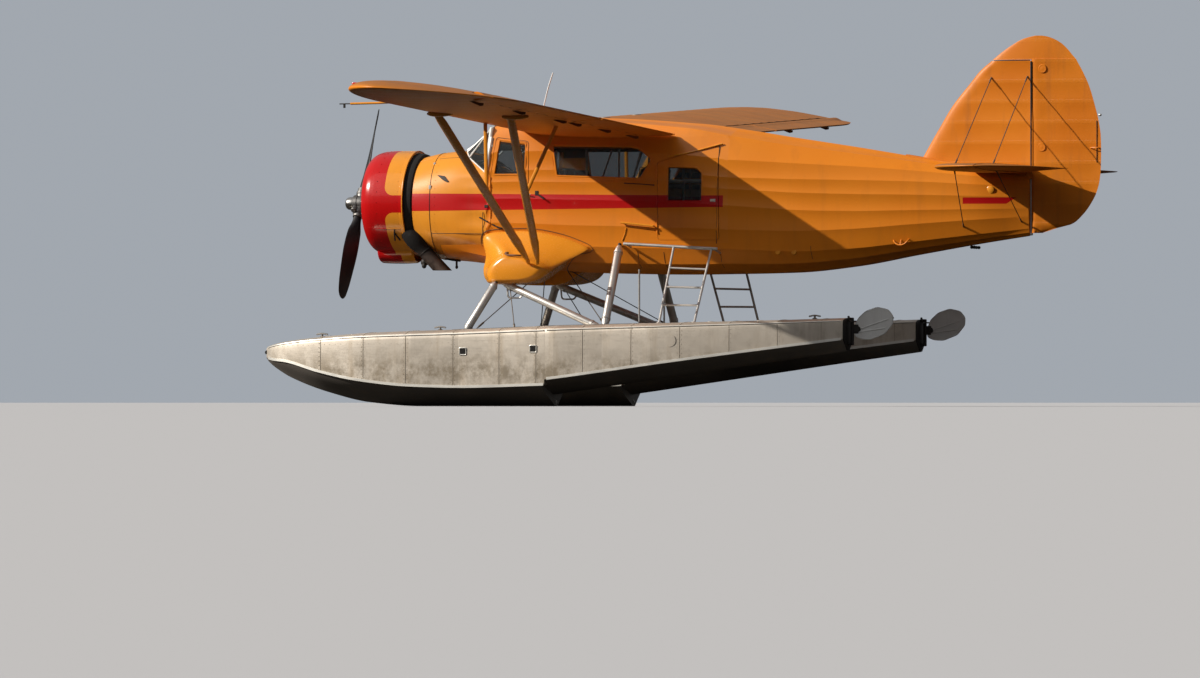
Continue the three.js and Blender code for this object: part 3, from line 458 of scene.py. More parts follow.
def make_worn_paint():
    """Paint that has faded in clouds, run with thin streaks and picked up grime: colours are mixed by noises
    of three sizes, and the smallest also gives a faint orange peel. Where the grime amount is raised, as on
    the fin and rudder, its streaks are painted shade as well."""
    group, given, out = shader_group(
        "worn paint",
        [("Colour", YELLOW), ("Faded", FADED), ("Grime", 0.12), ("Gloss", 0.32)],
        [("Colour", "Color"), ("Roughness", "Float"), ("Height", "Float")])
    place, *_ = object_axes(group)
    clouds = remap(group, noise(group, place, 0.9, 4.0), 0.38, 0.68)
    streaks = remap(group, noise(group, place, 7.0, 4.0, (1.0, 1.0, 0.12)), 0.52, 0.78)
    specks = noise(group, place, 45.0, 2.0)
    faded = blend_colours(group, product(group, clouds, 0.4), given.outputs["Colour"],
                          given.outputs["Faded"])
    # The grime amount darkens the colour in streaks: grime, and painted shade where a material raises it.
    amount = product(group, streaks, given.outputs["Grime"])
    painted_shade_below = blend_colours(group, amount, faded, (0.11, 0.05, 0.02, 1))
    rough = calc(group, "ADD", given.outputs["Gloss"], product(group, specks, 0.12))
    rough = calc(group, "ADD", rough, product(group, amount, 0.3))
    connect(group, out, {"Colour": painted_shade_below, "Roughness": rough, "Height": specks})
    return group


def make_side_stripe():
    """1 inside the stripe: Z between two lines that slope with X, and X ahead of its end."""
    group, _, out = shader_group("side stripe", [], [("Mask", "Float")])
    _, x, _, z = object_axes(group)
    (x0, low0), (x1, low1) = STRIPE_LOW
    (_, high0), (_, high1) = STRIPE_HIGH
    low = remap(group, x, x0, x1, low0, low1)
    high = remap(group, x, x0, x1, high0, high1)
    ahead = calc(group, "GREATER_THAN", x, STRIPE_END_X)
    connect(group, out, {"Mask": product(group, within(group, z, low, high), ahead)})
    return group


def make_rib_tapes():
    """Tape over each rib of a doped surface: within half a tape's width of a multiple of the
    pitch, with saw-toothed edges, on a fine weave of two crossed waves."""
    group, given, out = shader_group(
        "rib tapes", [("Across", 0.0), ("Along", 0.0), ("Pitch", RIB_PITCH), ("Width", 0.05)],
        [("Tape", "Float"), ("Height", "Float")])
    across, along = given.outputs["Across"], given.outputs["Along"]
    share = calc(group, "PINGPONG", across, product(group, given.outputs["Pitch"], 0.5))
    edge = calc(group, "ADD", share, calc(group, "PINGPONG", along, 0.006))
    tape = calc(group, "LESS_THAN", edge, product(group, given.outputs["Width"], 0.5))
    weave = calc(group, "ADD", calc(group, "SINE", product(group, across, 2600.0)),
                 calc(group, "SINE", product(group, along, 2600.0)))
    stitches = product(group, calc(group, "LESS_THAN", calc(group, "PINGPONG", along, 0.035), 0.006),
                       calc(group, "LESS_THAN", share, 0.004))
    height = calc(group, "ADD", product(group, weave, 0.04), tape)
    connect(group, out, {"Tape": tape, "Height": calc(group, "ADD", height, stitches)})
    return group


def make_worn_metal():
    """Bare metal: long scratches, cloudy oxide and stains that run down, as three noises that
    darken the colour and dull the shine."""
    group, given, out = shader_group(
        "worn metal",
        [("Colour", (0.6, 0.6, 0.58, 1)), ("Stain", METAL_STAIN), ("Amount", 0.5), ("Gloss", 0.35)],
        [("Colour", "Color"), ("Roughness", "Float"), ("Height", "Float")])
    place, *_ = object_axes(group)
    clouds = remap(group, noise(group, place, 2.4, 5.0), 0.35, 0.7)
    runs = remap(group, noise(group, place, 9.0, 5.0, (1.0, 1.0, 0.1)), 0.5, 0.75)
    scratch = noise(group, place, 60.0, 2.0, (0.08, 1.0, 1.0))
    share = product(group, runs, clouds, given.outputs["Amount"])
    colour = blend_colours(group, share, given.outputs["Colour"], given.outputs["Stain"])
    colour = toned(group, colour, remap(group, clouds, 0, 1, 0.88, 1.06))
    rough = calc(group, "ADD", given.outputs["Gloss"], product(group, scratch, 0.22))
    rough = calc(group, "ADD", rough, product(group, share, 0.3))
    connect(group, out, {"Colour": colour, "Roughness": rough, "Height": scratch})
    return group


WORN_PAINT = make_worn_paint()
SIDE_STRIPE = make_side_stripe()
RIB_TAPES = make_rib_tapes()
WORN_METAL = make_worn_metal()


def material(name, **constants):
    """A material with a Principled shader whose constant values are set on its own sockets."""
    made = bpy.data.materials.new(name)
    made.use_nodes = True
    tree = made.node_tree
    shader = tree.nodes["Principled BSDF"]
    for label, value in constants.items():
        shader.inputs[label.replace("_", " ")].default_value = value
    return made, tree, shader


def bump(tree, shader, height, strength, distance):
    made = node(tree, "Bump", {"Height": height, "Strength": strength, "Distance": distance})
    tree.links.new(made.outputs[0], shader.inputs["Normal"])


def feed(tree, shader, colour, rough):
    tree.links.new(colour, shader.inputs["Base Color"])
    tree.links.new(rough, shader.inputs["Roughness"])


def cover(tree, shader, worn, strength, distance, colour=None):
    """Links a wear group's roughness and height, and its colour or the one given."""
    colour = worn.outputs["Colour"] if colour is None else colour
    feed(tree, shader, colour, worn.outputs["Roughness"])
    bump(tree, shader, worn.outputs["Height"], strength, distance)


def striped(tree, colour, **paint):
    """The colour with the red side stripe over it."""
    red = use(tree, WORN_PAINT, {"Colour": RED, "Faded": FADED_RED, **paint})
    return blend_colours(tree, use(tree, SIDE_STRIPE).outputs["Mask"], colour, red.outputs["Colour"])


def doped_fabric(name, across=None, along=None, pitch=RIB_PITCH, start=0.0, stripe=True, colour=YELLOW,
                 grime_and_shade=0.12, dust_and_grazing_shade=None):
    """Yellow doped fabric. With an axis given, rib tapes cross it at each pitch from start. Where
    dust_and_grazing_shade gives its least and most share, brown-grey lies on what faces up, in soft patches:
    in part dust, in part painted shade for the dull look of upper faces seen at a low angle."""
    made, tree, shader = material(name, IOR=1.4, Specular_IOR_Level=0.35)
    worn = use(tree, WORN_PAINT, {"Gloss": 0.36, "Colour": colour, "Grime": grime_and_shade})
    place, *axes = object_axes(tree)
    colour, height = worn.outputs["Colour"], worn.outputs["Height"]
    if stripe:
        colour = striped(tree, colour)
    if across is not None:
        moved = calc(tree, "SUBTRACT", axes[across], start)
        tapes = use(tree, RIB_TAPES, {"Across": moved, "Along": axes[along], "Pitch": pitch})
        tape = product(tree, tapes.outputs["Tape"], 0.05)
        colour = blend_colours(tree, tape, colour, (0.95, 0.40, 0.05, 1))
        height = calc(tree, "ADD", product(tree, height, 0.25), tapes.outputs["Height"])
    if dust_and_grazing_shade:
        # Brown-grey in soft patches on faces that point up: in part dust, in part painted shade for how
        # upper faces look dull at a low angle.
        normal = node(tree, "NewGeometry").outputs["Normal"]
        up = remap(tree, node(tree, "SeparateXYZ", {0: normal}).outputs[2], 0.25, 0.9)
        patches = remap(tree, noise(tree, place, 3.0, 5.0, (0.8, 1.0, 1.0)), 0.30, 0.70, *dust_and_grazing_shade)
        colour = blend_colours(tree, product(tree, up, patches), colour, (0.16, 0.088, 0.036, 1))
    feed(tree, shader, colour, worn.outputs["Roughness"])
    bump(tree, shader, height, 0.5, 0.0012 if across is not None else 0.0005)
    return made


def rear_fabric():
    """The rear fuselage's fabric: as the doors', with a short red dash ahead of the rudder, whose
    hind end slants."""
    made = doped_fabric("rear fuselage fabric")
    tree = made.node_tree
    shader = tree.nodes["Principled BSDF"]
    colour = shader.inputs["Base Color"].links[0].from_socket
    _, x, _, z = object_axes(tree)
    low, high = DASH_Z
    rear, front = DASH_X
    end = calc(tree, "ADD", rear, product(tree, calc(tree, "SUBTRACT", high, z), 1.5))
    dash = product(tree, within(tree, z, low, high), within(tree, x, end, front))
    tree.links.new(blend_colours(tree, dash, colour, RED), shader.inputs["Base Color"])
    return made


def painted_metal(name, stripe=False, colour=METAL_YELLOW, faded=METAL_FADED, gloss=0.2, grime_and_shade=0.10,
                  coat=0.22, painted_shade_below=None):
    """Glossy enamel, with painted shade in brown below a height where one is given."""
    made, tree, shader = material(name, IOR=1.4, Coat_Weight=coat, Coat_Roughness=0.1)
    worn = use(tree, WORN_PAINT, {"Colour": colour, "Faded": faded, "Gloss": gloss, "Grime": grime_and_shade})
    shown = worn.outputs["Colour"]
    if stripe:
        shown = striped(tree, shown, Grime=grime_and_shade)
    if painted_shade_below:
        # Painted shade: brown in noisy patches below the given height, where the skin turns under.
        place, _, _, z = object_axes(tree)
        painted_shade = product(tree, remap(tree, z, painted_shade_below, painted_shade_below - 0.12),
                      remap(tree, noise(tree, place, 4.0, 5.0), 0.25, 0.65, 0.35, 0.75))
        shown = blend_colours(tree, painted_shade, shown, (0.16, 0.035, 0.004, 1))
    cover(tree, shader, worn, 0.3, 0.0006, shown)
    return made


def cowl_paint():
    """Red in front and in the stripe, yellow in two panels behind, whose corners are rounded: a
    point is yellow where its distance past both edges passes a radius. The chin is red in front."""
    made, tree, shader = material("cowl paint", IOR=1.4, Coat_Weight=0.4, Coat_Roughness=0.06)
    _, x, _, z = object_axes(tree)
    red = use(tree, WORN_PAINT, {"Colour": RED, "Faded": FADED_RED, "Gloss": 0.16, "Grime": 0.10})
    yellow = use(tree, WORN_PAINT, {"Colour": METAL_YELLOW, "Faded": METAL_FADED, "Gloss": 0.2})
    panel_front, stripe_z, stripe_half, radius = 4.19 - ORIGIN_X, 2.508, 0.108, 0.11
    chin_front, chin_top = 4.12 - ORIGIN_X, 1.885
    behind = calc(tree, "SUBTRACT", panel_front, x)
    off_stripe = calc(tree, "ABSOLUTE", calc(tree, "SUBTRACT", z, stripe_z))
    away = calc(tree, "SUBTRACT", off_stripe, stripe_half)
    short = [calc(tree, "MAXIMUM", calc(tree, "SUBTRACT", radius, value), 0.0)
             for value in (behind, away)]
    corner = calc(tree, "SQRT", calc(tree, "ADD", *[product(tree, s, s) for s in short]))
    chin = product(tree, calc(tree, "LESS_THAN", z, chin_top),
                   calc(tree, "GREATER_THAN", x, chin_front))
    panel = calc(tree, "SUBTRACT", calc(tree, "LESS_THAN", corner, radius), chin)
    panel = calc(tree, "MAXIMUM", panel, 0.0)
    colour = blend_colours(tree, panel, red.outputs["Colour"], yellow.outputs["Colour"])
    cover(tree, shader, red, 0.2, 0.0005, colour)
    return made


def metal(name, colour, gloss, amount, stain=METAL_STAIN, metallic=1.0, strength=0.35,
          depth=0.0004):
    made, tree, shader = material(name, Metallic=metallic)
    worn = use(tree, WORN_METAL, {"Colour": colour, "Stain": stain, "Amount": amount, "Gloss": gloss})
    cover(tree, shader, worn, strength, depth)
    return made


def float_skin():
    """Weathered aluminium plates: each plate between two frames has its own tone, scum gathers
    near the waterline, and smears spread over the rest."""
    made, tree, shader = material("float plates", Metallic=0.55)
    place, x, _, z = object_axes(tree)
    worn = use(tree, WORN_METAL, {"Colour": (0.66, 0.60, 0.515, 1), "Stain": (0.24, 0.18, 0.11, 1),
                                  "Amount": 0.85, "Gloss": 0.36})
    plate = calc(tree, "FLOOR", calc(tree, "DIVIDE", x, 0.62))
    tone = node(tree, "TexWhiteNoise", {"W": plate}, noise_dimensions="1D").outputs["Value"]
    colour = toned(tree, worn.outputs["Colour"], remap(tree, tone, 0, 1, 0.88, 1.10))
    line = calc(tree, "ABSOLUTE", calc(tree, "SUBTRACT", z, 0.42))
    blots = remap(tree, noise(tree, place, 4.0, 8.0, (1.1, 1.0, 0.9), 0.72), 0.42, 0.58)
    scum = product(tree, remap(tree, line, 0.30, 0.04), blots, 0.72)
    colour = blend_colours(tree, scum, colour, (0.20, 0.155, 0.095, 1))
    smears = remap(tree, noise(tree, place, 9.0, 7.0, (1.0, 1.0, 0.8), 0.7), 0.50, 0.72)
    colour = blend_colours(tree, product(tree, smears, 0.35), colour, (0.30, 0.26, 0.20, 1))
    cover(tree, shader, worn, 0.35, 0.0006, colour)
    return made


def clear_glass():
    """Tinted acrylic: a thin clear shell, smeared a little by noise in its roughness."""
    made, tree, shader = material("window acrylic", Metallic=0.0, IOR=1.15, Transmission_Weight=0.96,
                                  Base_Color=(0.50, 0.54, 0.56, 1))
    place, *_ = object_axes(tree)
    tree.links.new(remap(tree, noise(tree, place, 6.0, 3.0), 0.3, 0.8, 0.02, 0.10),
                   shader.inputs["Roughness"])
    return made


def seat_cover():
    """Brown leathercloth: Voronoi cells for the grain, worn paler where noise is high."""
    made, tree, shader = material("seat leathercloth", Sheen_Weight=0.15)
    place, *_ = object_axes(tree)
    cells = node(tree, "TexVoronoi", {"Vector": place, "Scale": 260.0}, feature="DISTANCE_TO_EDGE")
    worn = remap(tree, noise(tree, place, 7.0, 4.0), 0.45, 0.75)
    colour = blend_colours(tree, worn, (0.045, 0.024, 0.014, 1), (0.11, 0.066, 0.04, 1))
    feed(tree, shader, colour, remap(tree, worn, 0, 1, 0.5, 0.72))
    bump(tree, shader, remap(tree, cells.outputs["Distance"], 0.0, 0.12), 0.6, 0.0008)
    return made


def plain(name, colour, rough, scale=30.0, depth=0.0004, spread=0.25):
    """One finish with a noise in its tone, its roughness and its surface."""
    made, tree, shader = material(name)
    place, *_ = object_axes(tree)
    grain = noise(tree, place, scale, 4.0)
    dark, light = [tuple(min(1, c * share) for c in colour) + (1,) for share in (1 - spread, 1 + spread)]
    feed(tree, shader, blend_colours(tree, grain, dark, light),
         remap(tree, grain, 0.2, 0.8, rough - 0.08, rough + 0.12))
    bump(tree, shader, grain, 0.4, depth)
    return made


def exhaust_steel():
    """Heat-stained pipe: black soot where it leaves the cowl, brown and grey scale in clouds below."""
    made, tree, shader = material("exhaust scale", Metallic=0.6)
    place, _, _, z = object_axes(tree)
    clouds = remap(tree, noise(tree, place, 11.0, 5.0), 0.35, 0.65)
    scale = blend_colours(tree, clouds, (0.035, 0.024, 0.020, 1), (0.11, 0.078, 0.065, 1))
    soot = remap(tree, z, 1.80, 1.94)
    feed(tree, shader, blend_colours(tree, soot, scale, (0.012, 0.011, 0.011, 1)),
         remap(tree, calc(tree, "ADD", clouds, soot), 0, 1.5, 0.45, 0.9))
    bump(tree, shader, noise(tree, place, 70.0, 3.0), 0.5, 0.001)
    return made


FABRIC = doped_fabric("doped fabric")
REAR_FABRIC = rear_fabric()
# The wing fabric's upper faces get dust and painted shade in brown-grey patches.
WING_FABRIC = doped_fabric("wing fabric", across=1, along=0, stripe=False, dust_and_grazing_shade=(0.42, 0.64))
# The fin and rudder fabric is the yellow darkened, with its grime streaks raised: painted shade.
UPRIGHT_FABRIC = doped_fabric("fin fabric", across=2, along=0, pitch=TAIL_RIB_PITCH, start=2.98,
                              stripe=False, colour=(0.60, 0.165, 0.006, 1), grime_and_shade=0.3)
# The tailplane fabric's upper faces get more dust and painted shade in brown-grey patches.
TAIL_FABRIC = doped_fabric("tailplane fabric", across=1, along=0, pitch=TAIL_RIB_PITCH,
                           stripe=False, dust_and_grazing_shade=(0.60, 0.80))
YELLOW_METAL = painted_metal("yellow metal")
# The nose metal gets painted shade in brown below Z 2.15.
NOSE_METAL = painted_metal("nose metal", stripe=True, gloss=0.32, coat=0.1, painted_shade_below=2.15)
COWL_PAINT = cowl_paint()
WINDOW_METAL = painted_metal("window strip metal", stripe=True, colour=YELLOW, faded=FADED, gloss=0.3)
SIDE_FABRIC = painted_metal("cabin side cover", stripe=True, colour=YELLOW, faded=FADED, gloss=0.3,
                            grime_and_shade=0.12)
FLOAT_SKIN = float_skin()
# The bottoms and keels darker than the bare sides: painted shade, with brown stains in patches.
FLOAT_BOTTOM = metal("float bottom in painted shade", (0.20, 0.18, 0.16, 1), 0.45, 0.7, stain=(0.34, 0.26, 0.18, 1),
                     metallic=0.0, strength=0.3, depth=0.0006)
SILVER = metal("silver tube paint", (0.62, 0.61, 0.59, 1), 0.3, 0.35, metallic=0.75)
WHITE_TUBE = metal("pale tube paint", (0.80, 0.80, 0.77, 1), 0.32, 0.15, metallic=0.2)
DULL_ALUMINIUM = metal("dull aluminium", (0.46, 0.46, 0.45, 1), 0.42, 0.5, metallic=0.85)
POLISHED = metal("polished hub", (0.72, 0.70, 0.66, 1), 0.14, 0.2)
HUB_STEEL = metal("hub steel", (0.22, 0.215, 0.21, 1), 0.34, 0.6, metallic=0.85)
CASTING = metal("engine casting", (0.16, 0.16, 0.165, 1), 0.5, 0.6, metallic=0.6, depth=0.001)
FIN_METAL = metal("cylinder fins", (0.09, 0.09, 0.095, 1), 0.5, 0.5, metallic=0.6)
BLADE_BLACK = metal("propeller paint", (0.010, 0.010, 0.012, 1), 0.38, 0.3, stain=(0.05, 0.05, 0.05, 1),
                    metallic=0.0)
DARK_STEEL = metal("dark fittings", (0.016, 0.013, 0.011, 1), 0.5, 0.5, stain=(0.04, 0.028, 0.02, 1),
                   metallic=0.1)
# The yellow paint darkened to brown: painted shade for the hinge arms and the stub's fittings.
SHADED_YELLOW_PAINT = metal("yellow paint in painted shade", (0.16, 0.055, 0.010, 1), 0.5, 0.6, stain=(0.04, 0.02, 0.01, 1),
                      metallic=0.0)
BRIGHT_STRIP = metal("bright strip", (0.74, 0.73, 0.68, 1), 0.3, 0.45, metallic=0.7)
SEAM_GREY = metal("float seam", (0.40, 0.35, 0.28, 1), 0.5, 0.6, metallic=0.2)
RUDDER_GREY = metal("water rudder plate", (0.66, 0.67, 0.66, 1), 0.4, 0.4, metallic=0.15)
STEEL_WIRE = metal("bracing steel", (0.13, 0.11, 0.09, 1), 0.4, 0.3, metallic=0.6)
EXHAUST = exhaust_steel()
GLASS = clear_glass()
SEAT_COVER = seat_cover()
# Black rubber, also used as painted shade in the gaps of the fin and along the wing's hinges.
RUBBER_AND_GAP_SHADE = plain("black rubber and painted gap shade", (0.010, 0.010, 0.010), 0.7)
PANEL_BLACK = plain("panel black", (0.025, 0.025, 0.027), 0.6, scale=120.0)
# Near black, made as painted shade for the gap between nose and cowl; the engine baffle and the float
# openings use it too.
DARK_GAP = plain("near black for painted gap shade", (0.005, 0.004, 0.004), 0.85)
CABIN_LINING = plain("cabin lining", (0.035, 0.034, 0.032), 0.85, scale=18.0)
FLOOR_BOARD = plain("cabin floor board", (0.16, 0.12, 0.08), 0.75, scale=9.0)
DIAL_FACE = plain("dial face", (0.5, 0.5, 0.46), 0.4, scale=60.0, spread=0.1)
TREAD = plain("deck tread", (0.07, 0.07, 0.07), 0.9, scale=260.0, depth=0.0015)
RED_LENS = plain("port lamp lens", (0.55, 0.01, 0.01), 0.15, scale=40.0, spread=0.1)
GREEN_LENS = plain("starboard lamp lens", (0.01, 0.35, 0.06), 0.15, scale=40.0, spread=0.1)
WHITE_ROD = plain("white rod", (0.72, 0.73, 0.74), 0.4, scale=50.0, spread=0.05)


# Fuselage skin

HULL_HALF = 0.66
FABRIC_SAG = 0.016
TAIL_POST_X = -4.0
# X, half width, belly Z, top Z, and the powers of the lower and upper half of the section
NOSE_TABLE = np.array([
    (3.84, 0.592, 1.900, 3.098, 2.1, 2.1), (3.585, 0.625, 1.820, 3.150, 2.3, 2.3),
    (3.30, 0.645, 1.800, 3.175, 2.7, 2.6), (2.84, 0.660, 1.740, 3.190, 3.6, 3.0)])
BODY_TABLE = np.array([
    (2.84, 0.660, 1.740, 3.500, 3.6, 7.0), (2.40, 0.660, 1.705, 3.540, 4.0, 7.0),
    (1.47, 0.660, 1.645, 3.560, 4.0, 7.0), (0.27, 0.660, 1.625, 3.490, 4.0, 6.0),
    (-0.30, 0.640, 1.630, 3.415, 3.8, 4.5), (-1.03, 0.585, 1.645, 3.302, 3.4, 3.4),
    (-1.80, 0.490, 1.720, 3.184, 3.0, 3.0), (-2.58, 0.380, 1.857, 3.054, 2.8, 2.8),
    (-3.40, 0.235, 1.995, 2.920, 2.6, 2.6), (-4.00, 0.075, 2.085, 2.830, 2.4, 2.4)])
# Stringer ridges as hull angles in degrees, along the cabin and at the tail post
RIDGES = np.radians([(-90, -90), (-68, -74), (-47, -58), (-35, -46), (-21.5, -21), (-3.5, -6), (9.5, 15),
                     (18, 34), (30, 48), (48, 62), (68, 76), (90, 90)])
SCREEN_LINE = np.array([(3.315, 3.172), (3.205, 3.140), (3.12, 3.07), (2.85, 2.88)])


def section(x, inset):
    """Half width, half height, middle Z and both powers of the fuselage at X, drawn in by inset.
    Ahead of the body table's first X the top is the nose deck, behind it the cabin."""
    x = np.asarray(x, float)
    nose = curve(NOSE_TABLE[:, 0], NOSE_TABLE[:, 1:], x)
    body = curve(BODY_TABLE[:, 0], BODY_TABLE[:, 1:], x)
    ahead = (x > BODY_TABLE[0, 0])[..., None]
    half, belly, top, low, high = np.moveaxis(np.where(ahead, nose, body), -1, 0)
    return half - inset, (top - belly) / 2 - inset, (top + belly) / 2, low, high


def ridge_angles(x):
    back = np.clip((CABIN_REAR_X - np.asarray(x, float)) / (CABIN_REAR_X - TAIL_POST_X), 0, 1)[..., None]
    return lerp(RIDGES[:, 0], RIDGES[:, 1], back)


def between_ridges(x, angle):
    """0 on each ridge and a parabola between, as high as the ridges' gap over 0.3 radians."""
    ridge, folded = ridge_angles(x), np.arctan2(np.sin(angle), np.abs(np.cos(angle)))[..., None]
    gap = np.diff(ridge)
    t = (folded - ridge[..., :-1]) / gap
    return np.where((t >= 0) & (t < 1), 4 * t * (1 - t) * gap / 0.3, 0).sum(-1)


def ridge_rows(x, per):
    """Hull angles from -90 to 90 degrees: every ridge, and even steps between neighbours."""
    ridge = ridge_angles(x)
    steps = ridge[..., :-1, None] + np.diff(ridge)[..., None] * np.arange(per) / per
    return np.concatenate([steps.reshape(len(x), -1), ridge[:, -1:]], 1)


def hull(x, angle, inset=0.0, sag=FABRIC_SAG):
    """Points of the skin: direction (cos a, sin a) scaled to |y|^p + |z|^p = 1, where p differs
    above and below the middle. Fabric sags as a parabola from stringer to stringer."""
    x, angle = np.broadcast_arrays(np.asarray(x, float), np.asarray(angle, float))
    half, tall, middle, low, high = section(x, inset)
    c, s = np.cos(angle), np.sin(angle)
    p = np.where(s > 0, high, low)
    r = (np.abs(c) ** p + np.abs(s) ** p) ** (-1 / p)
    fabric = sag * (half / HULL_HALF) * ramp(3.3, 3.0, x)
    r = r * (1 - fabric * between_ridges(x, angle) / half)
    return np.stack([x, half * r * c, middle + tall * r * s], -1)


def angle_at(x, z):
    """The hull angle, from -90 to 90 degrees, at which the skin passes a height."""
    _, tall, middle, low, high = section(x, 0.0)
    v = np.clip((z - middle) / tall, -1, 1)
    p = np.where(v > 0, high, low)
    return np.arctan2(v, (1 - np.abs(v) ** p) ** (1 / p))


def densified(outline, step=0.04):
    """A closed outline with points added, so that no side is longer than the step."""
    outline = np.asarray(outline, float)
    sides = zip(outline, np.roll(outline, -1, axis=0))
    return np.concatenate([lerp(a, b, np.linspace(0, 1, 1 + int(np.ceil(np.linalg.norm(b - a) / step)))
                                [:-1, None]) for a, b in sides])


def rounded(outline, radius, steps=5):
    """A closed outline whose corners are cut by quadratic curves that start radius away."""
    outline = np.asarray(outline, float)
    before, after = np.roll(outline, 1, axis=0), np.roll(outline, -1, axis=0)
    radius = np.broadcast_to(radius, len(outline))
    t = np.linspace(0, 1, steps + 1)[:, None]
    corners = []
    for a, b, c, r in zip(before, outline, after, radius):
        start = b + (a - b) / np.linalg.norm(a - b) * r
        end = b + (c - b) / np.linalg.norm(c - b) * r
        corners.append((1 - t) ** 2 * start + 2 * t * (1 - t) * b + t * t * end)
    return np.concatenate(corners)


def offset(outline, distance):
    """A closed outline moved outwards, each corner along the sum of its two sides' normals."""
    outline = np.asarray(outline, float)
    side = np.roll(outline, -1, axis=0) - outline
    side /= np.linalg.norm(side, axis=1, keepdims=True)
    normal = np.stack([side[:, 1], -side[:, 0]], -1)
    x, y = outline.T
    if np.sum(x * np.roll(y, -1) - y * np.roll(x, -1)) < 0:
        normal = -normal
    both = normal + np.roll(normal, 1, axis=0)
    both /= np.maximum(0.3, (both * both).sum(1, keepdims=True)) / 2
    return outline + both * distance


def inside(points, outline):
    """Whether each point lies in the outline: an odd number of sides crosses the ray from it."""
    x, y = points.T[:, :, None]
    (x0, y0), (x1, y1) = outline.T, np.roll(outline, -1, axis=0).T
    crosses = (y0 > y) != (y1 > y)
    at = x0 + (y - y0) / np.where(y1 == y0, 1, y1 - y0) * (x1 - x0)
    return (crosses & (x < at)).sum(1) % 2 == 1


def away_from(points, outline, distance):
    a = outline
    side = np.roll(outline, -1, axis=0) - a
    t = np.clip(((points[:, None] - a) * side).sum(-1) / (side * side).sum(-1), 0, 1)
    gap = np.linalg.norm(points[:, None] - a - t[..., None] * side, axis=-1)
    return gap.min(1) > distance


def filled(outline, holes, step, rows=None):
    """Triangles that fill an outline around its holes, with a lattice of points inside, whose
    rows may be given."""
    loops = [np.asarray(outline, float)] + [np.asarray(hole, float) for hole in holes]
    low, high = loops[0].min(0), loops[0].max(0)
    rows = spaced(low[1], high[1], step) if rows is None else rows
    lattice = np.stack(np.meshgrid(spaced(low[0], high[0], step), rows), -1).reshape(-1, 2)
    keep = inside(lattice, loops[0]) & away_from(lattice, loops[0], step * 0.2)
    for hole in loops[1:]:
        keep &= ~inside(lattice, hole) & away_from(lattice, hole, step * 0.2)
    points = np.concatenate(loops + [lattice[keep]])
    edges, start = [], 0
    for loop in loops:
        number = np.arange(len(loop))
        edges += np.stack([start + number, start + np.roll(number, -1)], -1).tolist()
        start += len(loop)
    found = delaunay_2d_cdt([Vector(p) for p in points], edges, [], 0, 1e-6)
    flat = np.array([tuple(v) for v in found[0]])
    faces = np.array(found[2])
    middle = flat[faces].mean(1)
    keep = inside(middle, loops[0])
    for hole in loops[1:]:
        keep &= ~inside(middle, hole)
    return flat, faces[keep]


def shell(flat, faces, outer, inner):
    """A closed shell over flat triangles: two surfaces of the flat points, joined at the rims."""
    sides = np.concatenate([faces[:, [0, 1]], faces[:, [1, 2]], faces[:, [2, 0]]])
    key = np.sort(sides, axis=1)
    _, number, count = np.unique(key[:, 0] * len(flat) + key[:, 1], return_inverse=True,
                                 return_counts=True)
    rim = sides[count[number] == 1]
    n = len(flat)
    walls = np.stack([rim[:, 1], rim[:, 0], rim[:, 0] + n, rim[:, 1] + n], -1)
    return np.concatenate([outer(flat), inner(flat)]), [faces, faces[:, ::-1] + n, walls]


# The side is drawn flat as X and hull angle times this, which is close to the length round it
ARC = 0.9


def unrolled(outline):
    """X and length round the hull of a side outline, with points enough to follow the skin."""
    loop = densified(outline)
    return np.stack([loop[:, 0], ARC * angle_at(loop[:, 0], loop[:, 1])], -1)


def wrapped(flat, faces, depth=(0.0, 0.03), sag=FABRIC_SAG):
    """Unrolled triangles laid back on the skin as a shell between two depths."""
    return shell(flat, faces, lambda f: hull(f[:, 0], f[:, 1] / ARC, depth[0], sag),
                 lambda f: hull(f[:, 0], f[:, 1] / ARC, depth[1], sag))


def panel(outline, holes, depth=(0.0, 0.04), step=0.05, sag=FABRIC_SAG):
    """A piece of the cabin side, drawn as (X, Z) outlines, as a shell between two depths."""
    flat, faces = filled(unrolled(outline), [unrolled(hole) for hole in holes], step,
                         ARC * ridge_rows(np.zeros(1), 4)[0])
    return wrapped(flat, faces, depth, sag)


def lining(outline, holes, depth=0.037):
    """Dark cloth behind the skin, cut back from the openings."""
    return panel(offset(outline, -0.02), [offset(hole, grow) for hole, grow in holes],
                 (depth, depth + 0.004), 0.08, 0.0)


def pane(outline):
    return panel(offset(outline, -GLASS_EDGE), (), (0.012, 0.018), 0.08, 0.0)


def on_side(outline, out=0.0):
    """Points on the port side at the given X and Z, moved out of the skin."""
    x, z = np.asarray(outline, float).T
    return hull(x, angle_at(x, z), -out) * np.array([1, 1, 0]) + np.stack([0 * x, 0 * x, z], -1)


def rim(outline, radius, out=0.0):
    """A bead along a closed outline on the side, lower than it is wide."""
    path = on_side(outline, out)
    loop = np.vstack([path, path[:1]])
    ring = circle(8, radius) * np.array([0.6, 1.0])
    points = swept(loop, ring, up=PORT)[0].reshape(len(loop), 8, 3)[:-1]
    return grid(points, along=True)


def smooth_line(places, step=0.04):
    """X and Z along a smooth curve through a few places on the side."""
    return bent(np.column_stack([places, np.zeros(len(places))]), step)[:, :2].T


def along_side(places, radius, out):
    """A round bar held off the port side along a line of X and Z."""
    return tube(on_side(smooth_line(places).T, out), radius, 8)


